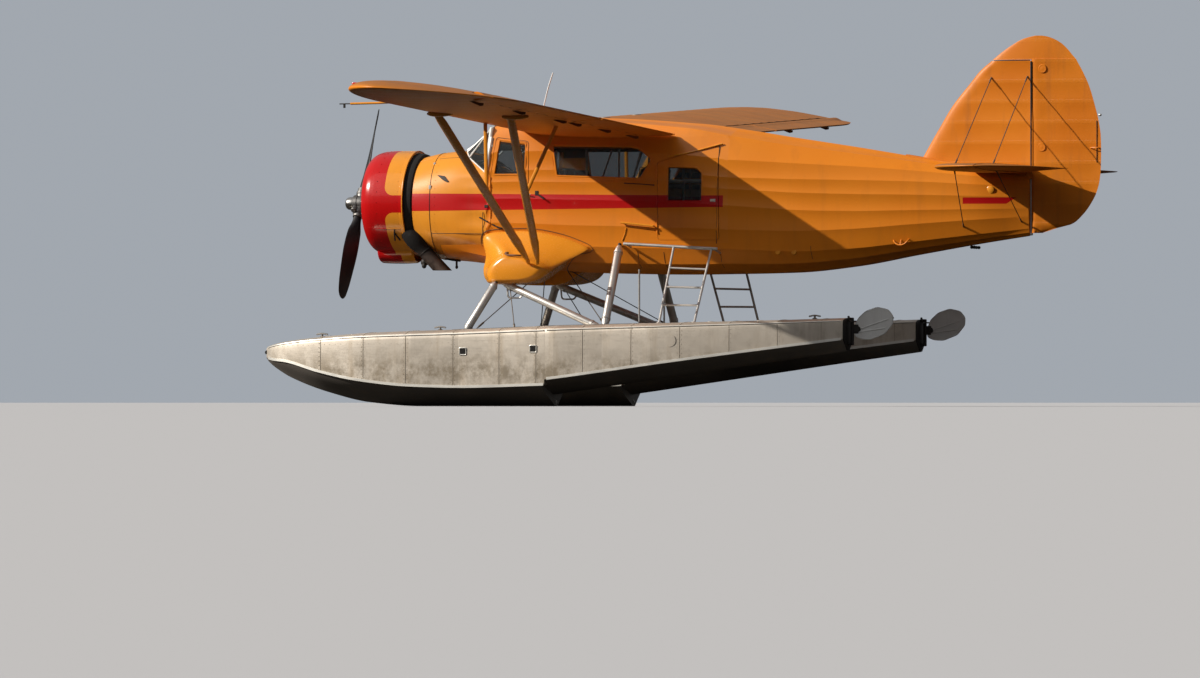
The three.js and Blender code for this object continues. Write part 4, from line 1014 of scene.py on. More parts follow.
# Outlines on the cabin side as (X, Z), front corner first, with the radius of each corner
PILOT_DOOR = rounded([(2.78, 2.185), (2.78, 2.84), (2.716, 3.30), (2.70, 3.318), (2.29, 3.268),
                      (2.29, 2.185)], (0.04, 0.02, 0.01, 0.01, 0.04, 0.04))
PILOT_WINDOW = rounded([(2.735, 2.868), (2.335, 2.868), (2.325, 3.245), (2.668, 3.290)], 0.018)
CABIN_DOOR = rounded([(0.60, 2.04), (0.60, 3.01), (-0.18, 3.205), (-0.18, 2.04)], 0.03)
DOOR_WINDOW = rounded([(0.475, 2.528), (0.465, 2.952), (0.10, 2.935), (0.025, 2.87), (0.03, 2.523)], 0.02)
CABIN_WINDOW = rounded([(1.915, 2.85), (1.97, 3.222), (0.95, 3.205), (0.845, 3.18), (0.68, 3.042),
                        (0.83, 2.808)], (0.02, 0.025, 0.04, 0.04, 0.03, 0.03))
GLASS_EDGE = 0.012


def hinges(x, heights):
    """A piano hinge on a door's front edge: three knuckles on a pin at each height."""
    knuckle = turned([(0.0, -0.03), (0.009, -0.03), (0.010, -0.02), (0.010, 0.02), (0.009, 0.03),
                      (0.0, 0.03)], 10, axis=2)
    z = np.concatenate([[h - 0.065, h, h + 0.065] for h in heights])
    return many(knuckle, on_side(np.column_stack([np.full(len(z), x), z]), 0.006))


def door_handle(x, z, length):
    """An oval plate with a lever on it."""
    y = on_side([(x, z)])[0, 1]
    plate = turned([(0.0, -0.004), (0.032, -0.004), (0.032, 0.004), (0.022, 0.009), (0.0, 0.009)],
                   20, (x, y + 0.004, z), axis=1)
    lever = bent([(x, y + 0.01, z), (x - 0.02, y + 0.03, z), (x - length, y + 0.034, z - 0.006)])
    return merged(plate, tube(lever, 0.008, 8))


def door_latch():
    """A small plate in the stripe with a finger lever across it."""
    y = on_side([(-0.11, 2.53)])[0, 1]
    return merged(block((-0.145, y - 0.004, 2.512), (-0.075, y + 0.008, 2.548), 0.003),
                  tube([(-0.132, y + 0.012, 2.532), (-0.11, y + 0.016, 2.53), (-0.088, y + 0.012, 2.528)],
                       0.006, 8))


def deck_side():
    """The metal below the windscreen: its edge runs up the screen's foot, round the deck's front,
    back along the floor and up the wall."""
    foot_x, foot_z = smooth_line(SCREEN_LINE[::-1])
    top = np.radians(89.95)
    foot_angle = np.append(angle_at(foot_x[:-1], foot_z[:-1]), top)
    front = np.linspace(top, angle_at(FIREWALL_X, FLOOR_Z), 40)
    low = np.linspace(FIREWALL_X, DECK_REAR_X, 16)[1:]
    back = np.linspace(FLOOR_Z, 2.88, 20)[1:-1]
    edge = np.concatenate([
        np.column_stack([foot_x, ARC * foot_angle]),
        np.column_stack([np.full(40, 3.504), ARC * front]),
        np.column_stack([low, ARC * angle_at(low, FLOOR_Z)]),
        np.column_stack([np.full(18, DECK_REAR_X), ARC * angle_at(DECK_REAR_X, back)])])
    return wrapped(*filled(edge, (), 0.05))


def make_cabin_side():
    """The side wall round its doors and long window, the doors, and their seals and beads."""
    wall = np.array([(CABIN_REAR_X, FLOOR_Z), (CABIN_REAR_X, SHOULDER_Z), (2.755, SHOULDER_Z),
                     (2.77, 3.19), (DECK_REAR_X, 2.88), (DECK_REAR_X, FLOOR_Z)])
    side_wall = panel(wall, [offset(PILOT_DOOR, 0.007), offset(CABIN_DOOR, 0.007), CABIN_WINDOW])
    wall_lining = lining(wall, [(PILOT_DOOR, 0.02), (CABIN_DOOR, 0.02), (CABIN_WINDOW, 0.012)], 0.041)
    seals = [rim(offset(door, 0.0045), 0.0042, -0.004) for door in (PILOT_DOOR, CABIN_DOOR)]
    beads = merged(rim(offset(CABIN_WINDOW, 0.004), 0.010, 0.001), rim(offset(CABIN_WINDOW, 0.03), 0.004))
    finish_pair("cabin_side", side_wall, "yellow_fabric", SIDE_FABRIC, ["cabin_wall"], angle=10)
    finish_pair("cabin_side_lining", wall_lining, "seat_leather", CABIN_LINING)
    finish_pair("door_seals", merged(*seals), "panel_black", RUBBER_AND_GAP_SHADE)
    finish_pair("deck_side", deck_side(), "yellow_metal", NOSE_METAL, ["cabin_wall"])
    finish_pair("long_window_beads", beads, "yellow_metal", WINDOW_METAL)
    finish_pair("long_window", pane(CABIN_WINDOW), "window_glass", GLASS, ["cabin_window"])
    for door, outline, window in (("pilot_door", PILOT_DOOR, PILOT_WINDOW),
                                  ("cabin_door", CABIN_DOOR, DOOR_WINDOW)):
        body = "{side}_" + door
        finish_pair(door + "_skin", panel(outline, [window], (-0.003, 0.036)), "yellow_fabric",
                    SIDE_FABRIC, [door], body, angle=10)
        finish_pair(door + "_lining", lining(outline, [(window, 0.012)]), "seat_leather", CABIN_LINING,
                    body=body)
        finish_pair(door + "_beads", rim(offset(window, 0.004), 0.010, 0.004), "yellow_metal",
                    WINDOW_METAL, body=body)
        finish_pair(door + "_pane", pane(window), "window_glass", GLASS, [door + "_glass"], body)
    finish_pair("pilot_door_fittings", door_handle(2.34, 2.62, 0.09), "silver_tube", SILVER,
                body="{side}_pilot_door")
    finish_pair("cabin_door_fittings", door_latch(), "silver_tube", BRIGHT_STRIP, body="{side}_cabin_door")
    finish_pair("door_hinges", merged(hinges(2.787, (2.42, 2.74)), hinges(0.607, (2.22, 2.55, 2.88))),
                "yellow_metal", WINDOW_METAL)


def make_roof():
    """The cabin's top over the ridges, closed below by an inner face, and cut off in front along
    the slope of the windscreen."""
    x = spaced(CABIN_REAR_X, 2.78, 0.055)
    low = angle_at(x, SHOULDER_Z)
    port = np.maximum(ridge_rows(x, 8)[:, 64:], low[:, None])
    angle = np.concatenate([port, np.pi - port[:, -2::-1]], 1)
    outer = hull(x[:, None], angle)
    inner = hull(x[:, None], angle[:, ::-1], 0.028, 0.0)
    for ring in (outer, inner):
        slope = 2.772 - 0.1 * np.clip(ring[..., 2] - SHOULDER_Z, 0, 1)
        ring[..., 0] = np.minimum(ring[..., 0], slope)
    finish_piece("cabin_roof_skin", grid(np.concatenate([outer, inner], 1)), "airframe", "yellow_fabric",
                 SIDE_FABRIC, ("cabin_roof",), angle=10)


def make_belly():
    """The skin below the floor, closed by the floor itself, and boards with ribs on it."""
    x = spaced(CABIN_REAR_X, FIREWALL_X, 0.05)
    port = np.minimum(ridge_rows(x, 6)[:, :25], angle_at(x, FLOOR_Z)[:, None])
    outer = hull(x[:, None], np.concatenate([-np.pi - port[:, :0:-1], port], 1))
    across = np.linspace(1, -1, 13)[1:-1]
    floor = np.stack(np.broadcast_arrays(x[:, None], outer[:, -1:, 1] * across, FLOOR_Z), -1)
    finish_piece("belly_skin", grid(np.concatenate([outer, floor], 1)), "airframe",
                 "yellow_fabric", FABRIC, ("cabin_floor",), angle=10)
    board = block((-0.25, -0.56, 2.001), (3.0, 0.56, 2.012), 0.004)
    rib_y = np.linspace(-0.5, 0.5, 9)
    ribs = many(block((0, -0.008, 0), (3.1, 0.008, 0.006), 0.002),
                np.column_stack([0 * rib_y - 0.2, rib_y, 0 * rib_y + 2.011]))
    finish_piece("cabin_floor_boards", merged(board, ribs), "airframe", "yellow_fabric", FLOOR_BOARD)


def make_nose():
    """The nose panels: the hull with a lap joint and a row of fasteners round each seam."""
    x = np.concatenate([spaced(3.504, 3.60, 0.02), spaced(3.601, 3.84, 0.02)])
    angle = np.linspace(0, 2 * np.pi, 121)[:-1] - np.pi / 2
    lift = np.where((x > 3.60)[:, None], 0.002, 0.0)
    outer = hull(x[:, None], angle, -lift, 0.0)
    front = hull(np.full((1, 1), 3.84), angle, 0.035, 0.0)
    back = hull(np.full((1, 1), 3.80), angle, 0.038, 0.0)
    seam_x = spaced(3.51, 3.835, 0.02)
    seams = [tube(hull(seam_x, a, -0.001, 0.0), 0.005, 6) for a in np.radians((62, 118, -58, -122))]
    finish_piece("nose_panels", merged(grid(np.concatenate([outer, front, back])), *seams), "airframe",
                 "yellow_metal", NOSE_METAL, ("nose_section",))
    turn = np.arange(0, 360, 9) * np.pi / 180
    out = np.column_stack([0 * turn, np.cos(turn), np.sin(turn)])
    studs = [rivets(hull(at, turn, -0.002, 0.0), out) for at in (3.535, 3.635, 3.825)]
    finish_piece("nose_fasteners", merged(*studs), "airframe", "yellow_metal", NOSE_METAL)
    # Panel joints: a ring round the nose, and lines along its flank and up the deck
    round_nose = hull(3.600, np.arange(72) / 36 * np.pi, -0.0005, 0.0)
    joints = [swept(round_nose, circle(6, 0.0045), up=AHEAD, along=True)]
    for side in (1, -1):
        for path in ([(3.60, 2.143), (3.24, 2.138), (2.881, 2.131)],
                     [(2.887, 2.40), (2.89, 2.20), (2.90, 2.01)],
                     [(3.56, 3.07), (3.4, 3.08), (3.2, 3.085)]):
            x, z = smooth_line(path, 0.05)
            line = hull(x, angle_at(x, z), 0.001, 0.0)
            joints.append(tube(line * np.array([1, side, 1]), 0.0035, 6))
    finish_piece("nose_joints", merged(*joints), "airframe", "engine_metal", DARK_STEEL)
    # The black gap between nose and cowl, as a baffle in near black: painted shade.
    baffle = turned([(0.30, 3.835), (0.575, 3.838), (0.606, 3.86), (0.618, 3.90), (0.612, 3.99),
                     (0.58, 4.02), (0.30, 4.02)], 72, SHAFT)
    finish_piece("cowl_gap_baffle", baffle, "airframe", "engine_metal", DARK_GAP)


def make_rear_fuselage():
    """Fabric over the stringers, which stand proud as ridges, drawn in ahead of the tail post."""
    x = spaced(-3.995, CABIN_REAR_X, 0.045)
    port = ridge_rows(x, 8)
    skin = grid(hull(x[:, None], np.concatenate([port[:, :-1], np.pi - port[:, :0:-1]], 1)))
    finish_piece("rear_fuselage_skin", skin, "airframe", "yellow_fabric", REAR_FABRIC,
                 ("rear_fuselage",), angle=10)
    post = tube([(-4.005, 0, 2.09), (-4.005, 0, 2.50), (-4.005, 0, 2.80)], 0.024, 12)
    finish_piece("tail_post", post, "airframe", "silver_tube", SILVER)


def foot(x, z, out):
    """A short leg that holds a bar off the port side."""
    return bar(on_side([(x, z)], -0.01)[0], on_side([(x, z)], out)[0], 0.008, 8, 4)


def held_bar(places, radius, out, feet):
    return merged(along_side(places, radius, out), *[foot(x, z, out) for x, z in feet])


def round_cover(x, z, radius):
    return turned([(0.0, -0.03), (radius, -0.03), (radius, 0.003), (radius * 0.85, 0.008), (0.0, 0.009)],
                  24, hull(x, angle_at(x, z)), axis=1)


def pad(x, z, length, height, out):
    """A block on the port side."""
    low, high = (x - length / 2, 0, z - height / 2), (x + length / 2, out, z + height / 2)
    points, faces = block(low, high, 0.004)
    return points + np.array([0, on_side([(x, z)])[0, 1] - 0.006, 0]), faces


def lifting_loop():
    """A bow low on the rear fuselage with a short stem to its middle."""
    y = hull(-2.44, angle_at(-2.44, 2.05))[1]
    bow = bent([(-2.345, y - 0.02, 2.045), (-2.36, y + 0.02, 2.02), (-2.40, y + 0.03, 1.985),
                (-2.445, y + 0.032, 1.975), (-2.49, y + 0.03, 1.985), (-2.53, y + 0.02, 2.02),
                (-2.545, y - 0.02, 2.045)], 0.01)
    stem = [(-2.445, y + 0.03, 1.98), (-2.445, y + 0.02, 2.01), (-2.445, y - 0.02, 2.05)]
    return merged(tube(bow, 0.010, 8), tube(stem, 0.008, 8))


def make_side_fittings():
    """Rails, drip strips and covers, placed from the photo on the port side and mirrored."""
    rail = held_bar([(1.069, 2.263), (0.85, 2.241), (0.638, 2.219)], 0.012, 0.045,
                    [(1.05, 2.262), (0.655, 2.221)])
    door_pull = held_bar([(2.755, 2.249), (2.69, 2.216), (2.628, 2.200)], 0.009, 0.03,
                         [(2.74, 2.242), (2.64, 2.203)])
    covers = merged(round_cover(-3.538, 2.653, 0.05), round_cover(-0.917, 1.89, 0.034),
                    round_cover(-1.118, 1.89, 0.034),
                    along_side([(0.46, 3.075), (0.244, 3.111), (-0.225, 3.229)], 0.010, 0.012),
                    along_side([(1.012, 2.20), (1.03, 2.13), (1.07, 2.037)], 0.006, 0.004))
    cheek_outlet = np.array([(3.515, 2.862), (3.41, 2.848), (3.345, 2.778), (3.375, 2.775), (3.435, 2.803)])
    dark = merged(
        held_bar([(1.03, 2.748), (0.82, 2.737), (0.635, 2.722)], 0.006, 0.02,
                 [(1.02, 2.748), (0.65, 2.723)]),
        pad(2.84, 2.473, 0.05, 0.035, 0.022),
        held_bar([(2.926, 2.337), (2.87, 2.308), (2.815, 2.280)], 0.009, 0.03,
                 [(2.91, 2.33), (2.83, 2.288)]),
        pad(2.18, 2.632, 0.045, 0.06, 0.014),
        held_bar([(2.19, 2.635), (2.13, 2.60), (2.07, 2.555)], 0.011, 0.03, [(2.185, 2.632)]),
        panel(cheek_outlet, (), (-0.010, 0.004), 0.02, 0.0))
    # Dark lines of a fabric joint behind the cabin door, and of cross joints below the floor
    joints = merged(along_side([(-0.187, 3.20), (-0.17, 2.70), (-0.150, 2.00)], 0.0035, 0.001),
                    along_side([(0.44, 3.005), (0.10, 2.99), (-0.150, 2.968)], 0.0025, 0.001),
                    *[tube(hull(x, np.linspace(start, stop, 7), -0.0005), 0.003, 6)
                      for x, start, stop in ((-0.19, -0.62, -0.95), (0.88, -0.66, -0.95),
                                             (0.54, -0.66, -0.95), (-1.33, -0.60, -0.82))])
    knobs = merged(egg((3.80, 0.24, 1.79), (0.05, 0.045, 0.05)),
                   egg((3.785, 0.30, 1.745), (0.03, 0.03, 0.035)),
                   egg((-3.26, 0.05, 1.950), (0.022, 0.014, 0.022)),
                   egg((-3.32, 0.05, 1.945), (0.022, 0.014, 0.020)))
    strip = along_side([(2.838, 2.875), (2.815, 3.03), (2.795, 3.20), (2.779, SHOULDER_Z)], 0.018, 0.002)
    latches = merged(pad(3.60, 2.715, 0.035, 0.05, 0.018), pad(3.60, 3.01, 0.03, 0.03, 0.018))
    finish_pair("rails", rail, "yellow_metal", YELLOW_METAL)
    finish_pair("nose_latches", latches, "silver_tube", BRIGHT_STRIP)
    finish_pair("windscreen_strip", strip, "bare_aluminium", WHITE_TUBE)
    finish_pair("lifting_loop", lifting_loop(), "yellow_metal", WINDOW_METAL)
    finish_pair("fuselage_covers", covers, "yellow_metal", YELLOW_METAL)
    finish_pair("side_fittings", dark, "engine_metal", DARK_STEEL)
    finish_pair("fabric_joints", joints, "engine_metal", DARK_STEEL)
    finish_pair("belly_knobs", knobs, "silver_tube", DARK_STEEL)
    finish_pair("door_pull", door_pull, "engine_metal", DARK_STEEL, body="{side}_pilot_door")
    drain = merged(tube([(3.54, 0.20, 1.835), (3.44, 0.20, 1.815), (3.34, 0.20, 1.805)], 0.013, 8),
                   tube([(3.392, 0.20, 1.82), (3.392, 0.20, 1.76), (3.39, 0.20, 1.722)], 0.014, 8),
                   egg((3.391, 0.20, 1.728), (0.018, 0.018, 0.024)))
    finish_piece("belly_drain", drain, "airframe", "silver_tube", DARK_STEEL)


make_cabin_side()
make_roof()
make_belly()
make_nose()
make_rear_fuselage()
make_side_fittings()


# Engine, cowl, exhaust and propeller

ENGINE_X = 4.24
SCOOP_TOP_Z = 1.985
# The cowl's section as radius and X, from the rear edge over the lip and back inside
COWL = np.array([
    (0.621, 3.955), (0.643, 3.955), (0.6435, 4.00), (0.6455, 4.10), (0.646, 4.25), (0.643, 4.34),
    (0.636, 4.40), (0.621, 4.45), (0.598, 4.49), (0.570, 4.52), (0.540, 4.535), (0.512, 4.541),
    (0.485, 4.539), (0.464, 4.528), (0.453, 4.512), (0.452, 4.495), (0.470, 4.480), (0.523, 4.470),
    (0.570, 4.42), (0.600, 4.35), (0.615, 4.25), (0.620, 4.1)])


def scoop_row(x, half, low):
    """Points round the chin scoop at an X: a flattened half ellipse below the ring."""
    angle = np.pi * (1 + np.linspace(0, 1, 25))
    bow = np.sign(np.sin(angle)) * np.abs(np.sin(angle)) ** 0.7
    return np.column_stack([np.full(25, x), np.cos(angle) * half, SCOOP_TOP_Z + bow * (SCOOP_TOP_Z - low)])


def chin_scoop():
    """An arch below the ring, hollow at the front, with a round lip."""
    outer = [scoop_row(x, 0.23 * s, 1.91 - 0.135 * s) for x, s in
             ((3.965, 0.86), (3.99, 0.96), (4.10, 1.0), (4.22, 1.0), (4.32, 0.985), (4.39, 0.96),
              (4.425, 0.93), (4.43, 0.90))]
    inner = [scoop_row(x, 0.205 * s, 1.93 - 0.128 * s) for x, s in
             ((4.43, 0.90), (4.40, 0.88), (4.20, 0.86), (4.02, 0.75))]
    lip = tube(scoop_row(4.430, 0.218 * 0.9, 1.92 - 0.132 * 0.9), 0.011, 8)
    return merged(grid(np.stack(outer + inner), around=False), lip)


def make_cowl():
    """A ring turned from its profile, with seams, a strap round its rear edge with a latch on each
    side, and the chin scoop below."""
    radius, x = COWL.T
    steps = np.concatenate([[0], np.cumsum(np.hypot(np.diff(radius), np.diff(x)))])
    fine = spaced(0, steps[-1], 0.015)
    profile = np.column_stack([np.interp(fine, steps, radius), np.interp(fine, steps, x)])
    ring = turned(profile, 120, SHAFT, along=True)
    strap = turned([(0.643, 3.957), (0.650, 3.962), (0.650, 3.990), (0.6445, 3.995)], 120, SHAFT,
                   along=True)
    seam_x = spaced(3.96, 4.44, 0.02)
    seam_r = np.interp(seam_x, [3.955, 4.25, 4.39, 4.45], [0.6435, 0.6465, 0.638, 0.622])
    seams = [tube(round_shaft(seam_x, seam_r, a), 0.004, 6) for a in np.radians((90, 210, 330))]
    finish_piece("engine_cowl_skin", merged(ring, strap, chin_scoop(), *seams), "airframe", "red_metal",
                 COWL_PAINT, ("engine_cowl",))
    a = np.radians(np.arange(0, 360, 12))
    out = np.column_stack([0 * a, np.cos(a), np.sin(a)])
    studs = [rivets(round_shaft(x, r, a), out, 0.007) for x, r in ((4.025, 0.6445), (4.30, 0.6475))]
    finish_piece("engine_cowl_studs", merged(*studs), "airframe", "red_metal", COWL_PAINT)
    bead = turned([(0.6435, 3.952), (0.6515, 3.952), (0.6535, 3.958), (0.6515, 3.964), (0.6435, 3.964)],
                  120, SHAFT, along=True)
    finish_piece("cowl_rear_bead", bead, "airframe", "yellow_metal", YELLOW_METAL)
    latch = []
    for points in (((4.085, 2.19), (4.10, 2.13), (4.115, 2.055)), ((4.092, 2.15), (4.045, 2.06))):
        x, z = np.array(points).T
        latch.append(tube(np.column_stack([x, np.sqrt(0.653 ** 2 - (z - THRUST_Z) ** 2), z]), 0.009, 8))
    finish_pair("cowl_latch", merged(*latch), "engine_metal", DARK_STEEL)


def make_cylinder():
    """One upright cylinder: a barrel and a head cut into fins by a square wave of the radius,
    with a tapered flange below and rocker boxes, a pair of pushrod tubes and plugs."""
    rows = [(0.0, 0.25), (0.080, 0.250), (0.080, 0.262)]
    for low in np.arange(0.275, 0.455, 0.0115):
        rows += [(0.062, low), (0.080, low + 0.001), (0.080, low + 0.005), (0.062, low + 0.006)]
    for i, low in enumerate(np.arange(0.462, 0.545, 0.0125)):
        wide = 0.084 - 0.0045 * max(0, i - 2)
        rows += [(0.058, low), (wide, low + 0.001), (wide, low + 0.006), (0.058, low + 0.007)]
    barrel = turned(rows + [(0.045, 0.556), (0.0, 0.563)], 36, axis=2)
    boxes = [block((0.052 - 0.028, y - 0.030, 0.505), (0.052 + 0.028, y + 0.030, 0.556), 0.010)
             for y in (0.05, -0.05)]
    rods = [tube(bent([(0.10, y * 0.55, 0.235), (0.085, y, 0.38), (0.062, y, 0.515)], 0.04), 0.0095, 8)
            for y in (0.052, -0.052)]
    plug = tube([(0.045, 0.0, 0.528), (0.085, 0.0, 0.545), (0.10, 0.0, 0.550)], 0.011, 8)
    intake = tube(bent([(-0.10, 0.055, 0.20), (-0.105, 0.07, 0.38), (-0.05, 0.055, 0.495)], 0.03),
                  0.024, 10)
    return barrel, merged(*boxes), merged(*rods), merged(plug, intake)


def make_engine():
    """Nine cylinders round a turned crankcase with rings of bolts, and a baffle behind them."""
    barrel, boxes, rods, plugs = make_cylinder()
    around = np.stack([np.array([[1, 0, 0], [0, np.cos(a), -np.sin(a)], [0, np.sin(a), np.cos(a)]])
                       for a in np.radians(np.arange(9) * 40)])
    centres = np.tile([ENGINE_X, 0, THRUST_Z], (9, 1))
    finish_piece("engine_barrels", many(barrel, centres, around), "airframe", "engine_metal", FIN_METAL,
                 ("engine",), angle=25)
    case = turned([(0.0, 3.842), (0.29, 3.842), (0.295, 3.86), (0.295, 4.10), (0.275, 4.13), (0.275, 4.31),
                   (0.262, 4.335), (0.225, 4.36), (0.212, 4.372), (0.205, 4.44), (0.180, 4.475),
                   (0.150, 4.50), (0.138, 4.53), (0.130, 4.585), (0.112, 4.598), (0.0, 4.60)], 72, SHAFT)
    bolts = [rivets(round_shaft(x, r, even_turn(count)), AHEAD, 0.013)
             for r, x, count in ((0.235, 4.352, 18), (0.145, 4.508, 12), (0.196, 4.455, 16))]
    finish_piece("engine_case", merged(case, many(boxes, centres, around), *bolts), "airframe",
                 "engine_metal", CASTING, ("engine",))
    harness = turned([(0.300, 4.405), (0.312, 4.418), (0.300, 4.431), (0.288, 4.418)], 72, SHAFT,
                     along=True)
    lead = tube(bent([(4.418 - ENGINE_X, 0.02, 0.305), (0.19, 0.01, 0.42), (0.12, 0.0, 0.55)], 0.03),
                0.007, 8)
    tubes = merged(many(rods, centres, around), harness, many(lead, centres, around))
    finish_piece("engine_tubes", tubes, "airframe", "engine_metal", DULL_ALUMINIUM)
    finish_piece("engine_intakes", many(plugs, centres, around), "airframe", "engine_metal", CASTING)
    baffle = turned([(0.29, 3.985), (0.60, 3.985), (0.612, 3.992), (0.60, 4.0), (0.29, 4.0)], 72, SHAFT,
                    along=True)
    finish_piece("engine_baffle", baffle, "airframe", "engine_metal", DARK_GAP)


def make_exhaust():
    """A bent pipe, wide where it leaves the cowl, whose end is cut level: rings below the cut
    slide back along the pipe to it."""
    path = bent([(4.06, 0.33, 2.34), (3.985, 0.385, 2.235), (3.87, 0.44, 2.09), (3.70, 0.42, 1.89),
                 (3.56, 0.402, 1.738), (3.41, 0.38, 1.58)], 0.05)
    along, first, second = frames_along(path, PORT)
    outside = 0.086 + 0.034 * ramp(1.93, 2.06, path[:, 2])
    turn = circle(28)
    across = turn[:, :1] * first[:, None] + turn[:, 1:] * second[:, None]
    rows = []
    for radius in (outside, outside - 0.006):
        ring = path[:, None] + radius[:, None, None] * across
        over = np.maximum(0, 1.684 - ring[..., 2]) / along[-1, 2]
        rows.append(ring + over[..., None] * along[-1])
    pipe = grid(np.concatenate([rows[0], rows[1][::-1]]), along=True)
    weld = swept([(3.725, 0.424, 1.92), (3.72, 0.4235, 1.914), (3.715, 0.423, 1.908)], turn,
                 [0.088, 0.0925, 0.088])
    finish_piece("exhaust_pipe_skin", merged(pipe, weld), "airframe", "exhaust_steel", EXHAUST,
                 ("exhaust_pipe",))


# Radius, chord, thickness and pitch in degrees along a blade
BLADE = np.array([(0.06, 0.090, 0.088, 50), (0.26, 0.110, 0.080, 46), (0.43, 0.190, 0.046, 38),
                  (0.75, 0.235, 0.028, 28), (1.08, 0.215, 0.017, 21), (1.29, 0.160, 0.012, 18),
                  (1.345, 0.105, 0.010, 17), (1.366, 0.050, 0.008, 17), (1.370, 0.012, 0.004, 17)])


def spindles(turn, x, reach, size, sides):
    """Two bodies of rings, opposite each other, that point out from the thrust line."""
    parts = []
    for a in (turn, turn + np.pi):
        axis = np.array([0, -np.sin(a), np.cos(a)])
        path = np.array([x, 0, THRUST_Z]) + axis * np.array(reach)[:, None]
        parts.append(swept(path, circle(sides), size, up=AHEAD))
    return parts


def make_propeller():
    """Two twisted blades: ellipse sections at the root grow into thin ones, turned by the pitch
    about the blade's own axis, and the second is the first turned half way round the shaft."""
    r = np.concatenate([spaced(0.06, 1.29, 0.03), [1.31, 1.33, 1.35, 1.36, 1.366, 1.37]])
    chord, thick, pitch = curve(BLADE[:, 0], BLADE[:, 1:], r).T
    lean = np.radians(pitch - 90)[:, None]
    c, s = circle(36).T
    drop = ramp(0.25, 0.5, r)[:, None]
    u = chord[:, None] / 2 * (c + drop * 0.12 * (c * c - 0.5))
    v = thick[:, None] / 2 * s * (1 - drop * 0.25 * c)
    across, fore = u * np.sin(lean) + v * np.cos(lean), u * np.cos(lean) - v * np.sin(lean)
    blades = [grid(np.stack([PROP_X + fore, across * np.cos(turn) - r[:, None] * np.sin(turn),
                             THRUST_Z + across * np.sin(turn) + r[:, None] * np.cos(turn)], -1))
              for turn in (PROP_TURN, PROP_TURN + np.pi)]
    finish_piece("propeller_blades", merged(*blades), "propeller", "propeller_metal", BLADE_BLACK,
                 ("propeller",))
    shaft = turned([(0.0, 4.607), (0.085, 4.607), (0.092, 4.613), (0.092, 4.668), (0.105, 4.690),
                    (0.105, 4.715), (0.098, 4.722), (0.098, 4.758), (0.105, 4.765), (0.105, 4.808),
                    (0.098, 4.817), (0.0, 4.817)], 48, SHAFT)
    sockets = spindles(PROP_TURN, PROP_X, (0.06, 0.11, 0.118, 0.15, 0.158, 0.20, 0.208),
                       (0.062, 0.066, 0.072, 0.072, 0.064, 0.062, 0.05), 30)
    weights = spindles(PROP_TURN + 0.55, 4.775, (0.06, 0.10, 0.105, 0.135, 0.14, 0.18, 0.186),
                       (0.020, 0.022, 0.032, 0.034, 0.034, 0.033, 0.026), 24)
    bolts = rivets(round_shaft(4.817, 0.080, even_turn(8)), AHEAD, 0.011)
    finish_piece("propeller_hub", merged(shaft, *sockets, *weights, bolts), "propeller",
                 "propeller_metal", HUB_STEEL, ("propeller",))
    dome = turned([(0.0, 4.815), (0.078, 4.815), (0.082, 4.822), (0.081, 4.85), (0.079, 4.880),
                   (0.074, 4.897), (0.062, 4.913), (0.045, 4.923), (0.024, 4.929), (0.0, 4.930)],
                  48, SHAFT)
    finish_piece("propeller_dome", dome, "propeller", "propeller_metal", POLISHED, ("propeller",))


make_cowl()
make_engine()
make_exhaust()
make_propeller()


# Wings

# The aerofoil's upper and lower half, as shares of the chord
UPPER = np.array([(1, 0.004), (0.85, 0.026), (0.7, 0.048), (0.5, 0.071), (0.32, 0.081), (0.18, 0.074),
                  (0.08, 0.056), (0.025, 0.032), (0.006, 0.016), (0, 0)])
LOWER = np.array([(0, 0), (0.006, -0.011), (0.025, -0.021), (0.08, -0.033), (0.18, -0.041),
                  (0.35, -0.044), (0.6, -0.037), (0.8, -0.022), (1, -0.004)])


def wing_frame(y):
    """Leading edge, chord and height at each Y: an elliptical tip past the last straight rib."""
    past = np.clip((y - WING_ROUND_Y) / (WING_TIP_Y - WING_ROUND_Y), 0, 1)
    chord = WING_CHORD * np.maximum(0.02, np.sqrt(1 - past ** 2))
    return WING_LE_X - (WING_CHORD - chord) * 0.36, chord, WING_ROOT_Z + (y - DIHEDRAL_Y) * DIHEDRAL


def wing_surface(y, x, top, sag=0.006):
    """Height of the upper or lower surface at X, with the cloth drawn in between the ribs."""
    front, chord, rise = wing_frame(y)
    u = np.clip((front - x) / chord, 0, 1)
    table = UPPER if top else LOWER
    v = curve(np.sqrt(table[:, 0]), table[:, 1], np.sqrt(u))
    cloth = sag * wave(y, RIB_PITCH) * ramp(0.10, 0.2, u) * ramp(1.0, 0.85, u) * chord / WING_CHORD
    return rise - (WING_LE_X - x) * INCIDENCE + chord * v + (-cloth if top else cloth)


def wing_points(y, x, top):
    return np.stack([x, 0 * x + y, wing_surface(y, x, top)], -1)


def hinge_z(y):
    return WING_ROOT_Z + (y - DIHEDRAL_Y) * DIHEDRAL - (WING_LE_X - HINGE_X) * INCIDENCE + 0.010


def hinge_arc(y, radius, angles):
    """Points on an arc about the hinge line of flap and aileron, at each Y."""
    a = np.radians(angles)
    x = HINGE_X + radius * np.cos(a) + 0 * y
    return np.stack([x, 0 * x + y, hinge_z(y) + radius * np.sin(a)], -1)


def whole_sections(y):
    """The wing with its trailing edge closed, in sections at the given Y, dense at both edges."""
    y = np.asarray(y)[:, None]
    front, chord, _ = wing_frame(y)
    t = (1 - np.cos(np.linspace(0, np.pi, 40))) / 2
    return grid(np.concatenate([wing_points(y, front - chord * (1 - t), True),
                                wing_points(y, front - chord * t[1:-1], False)], 1))


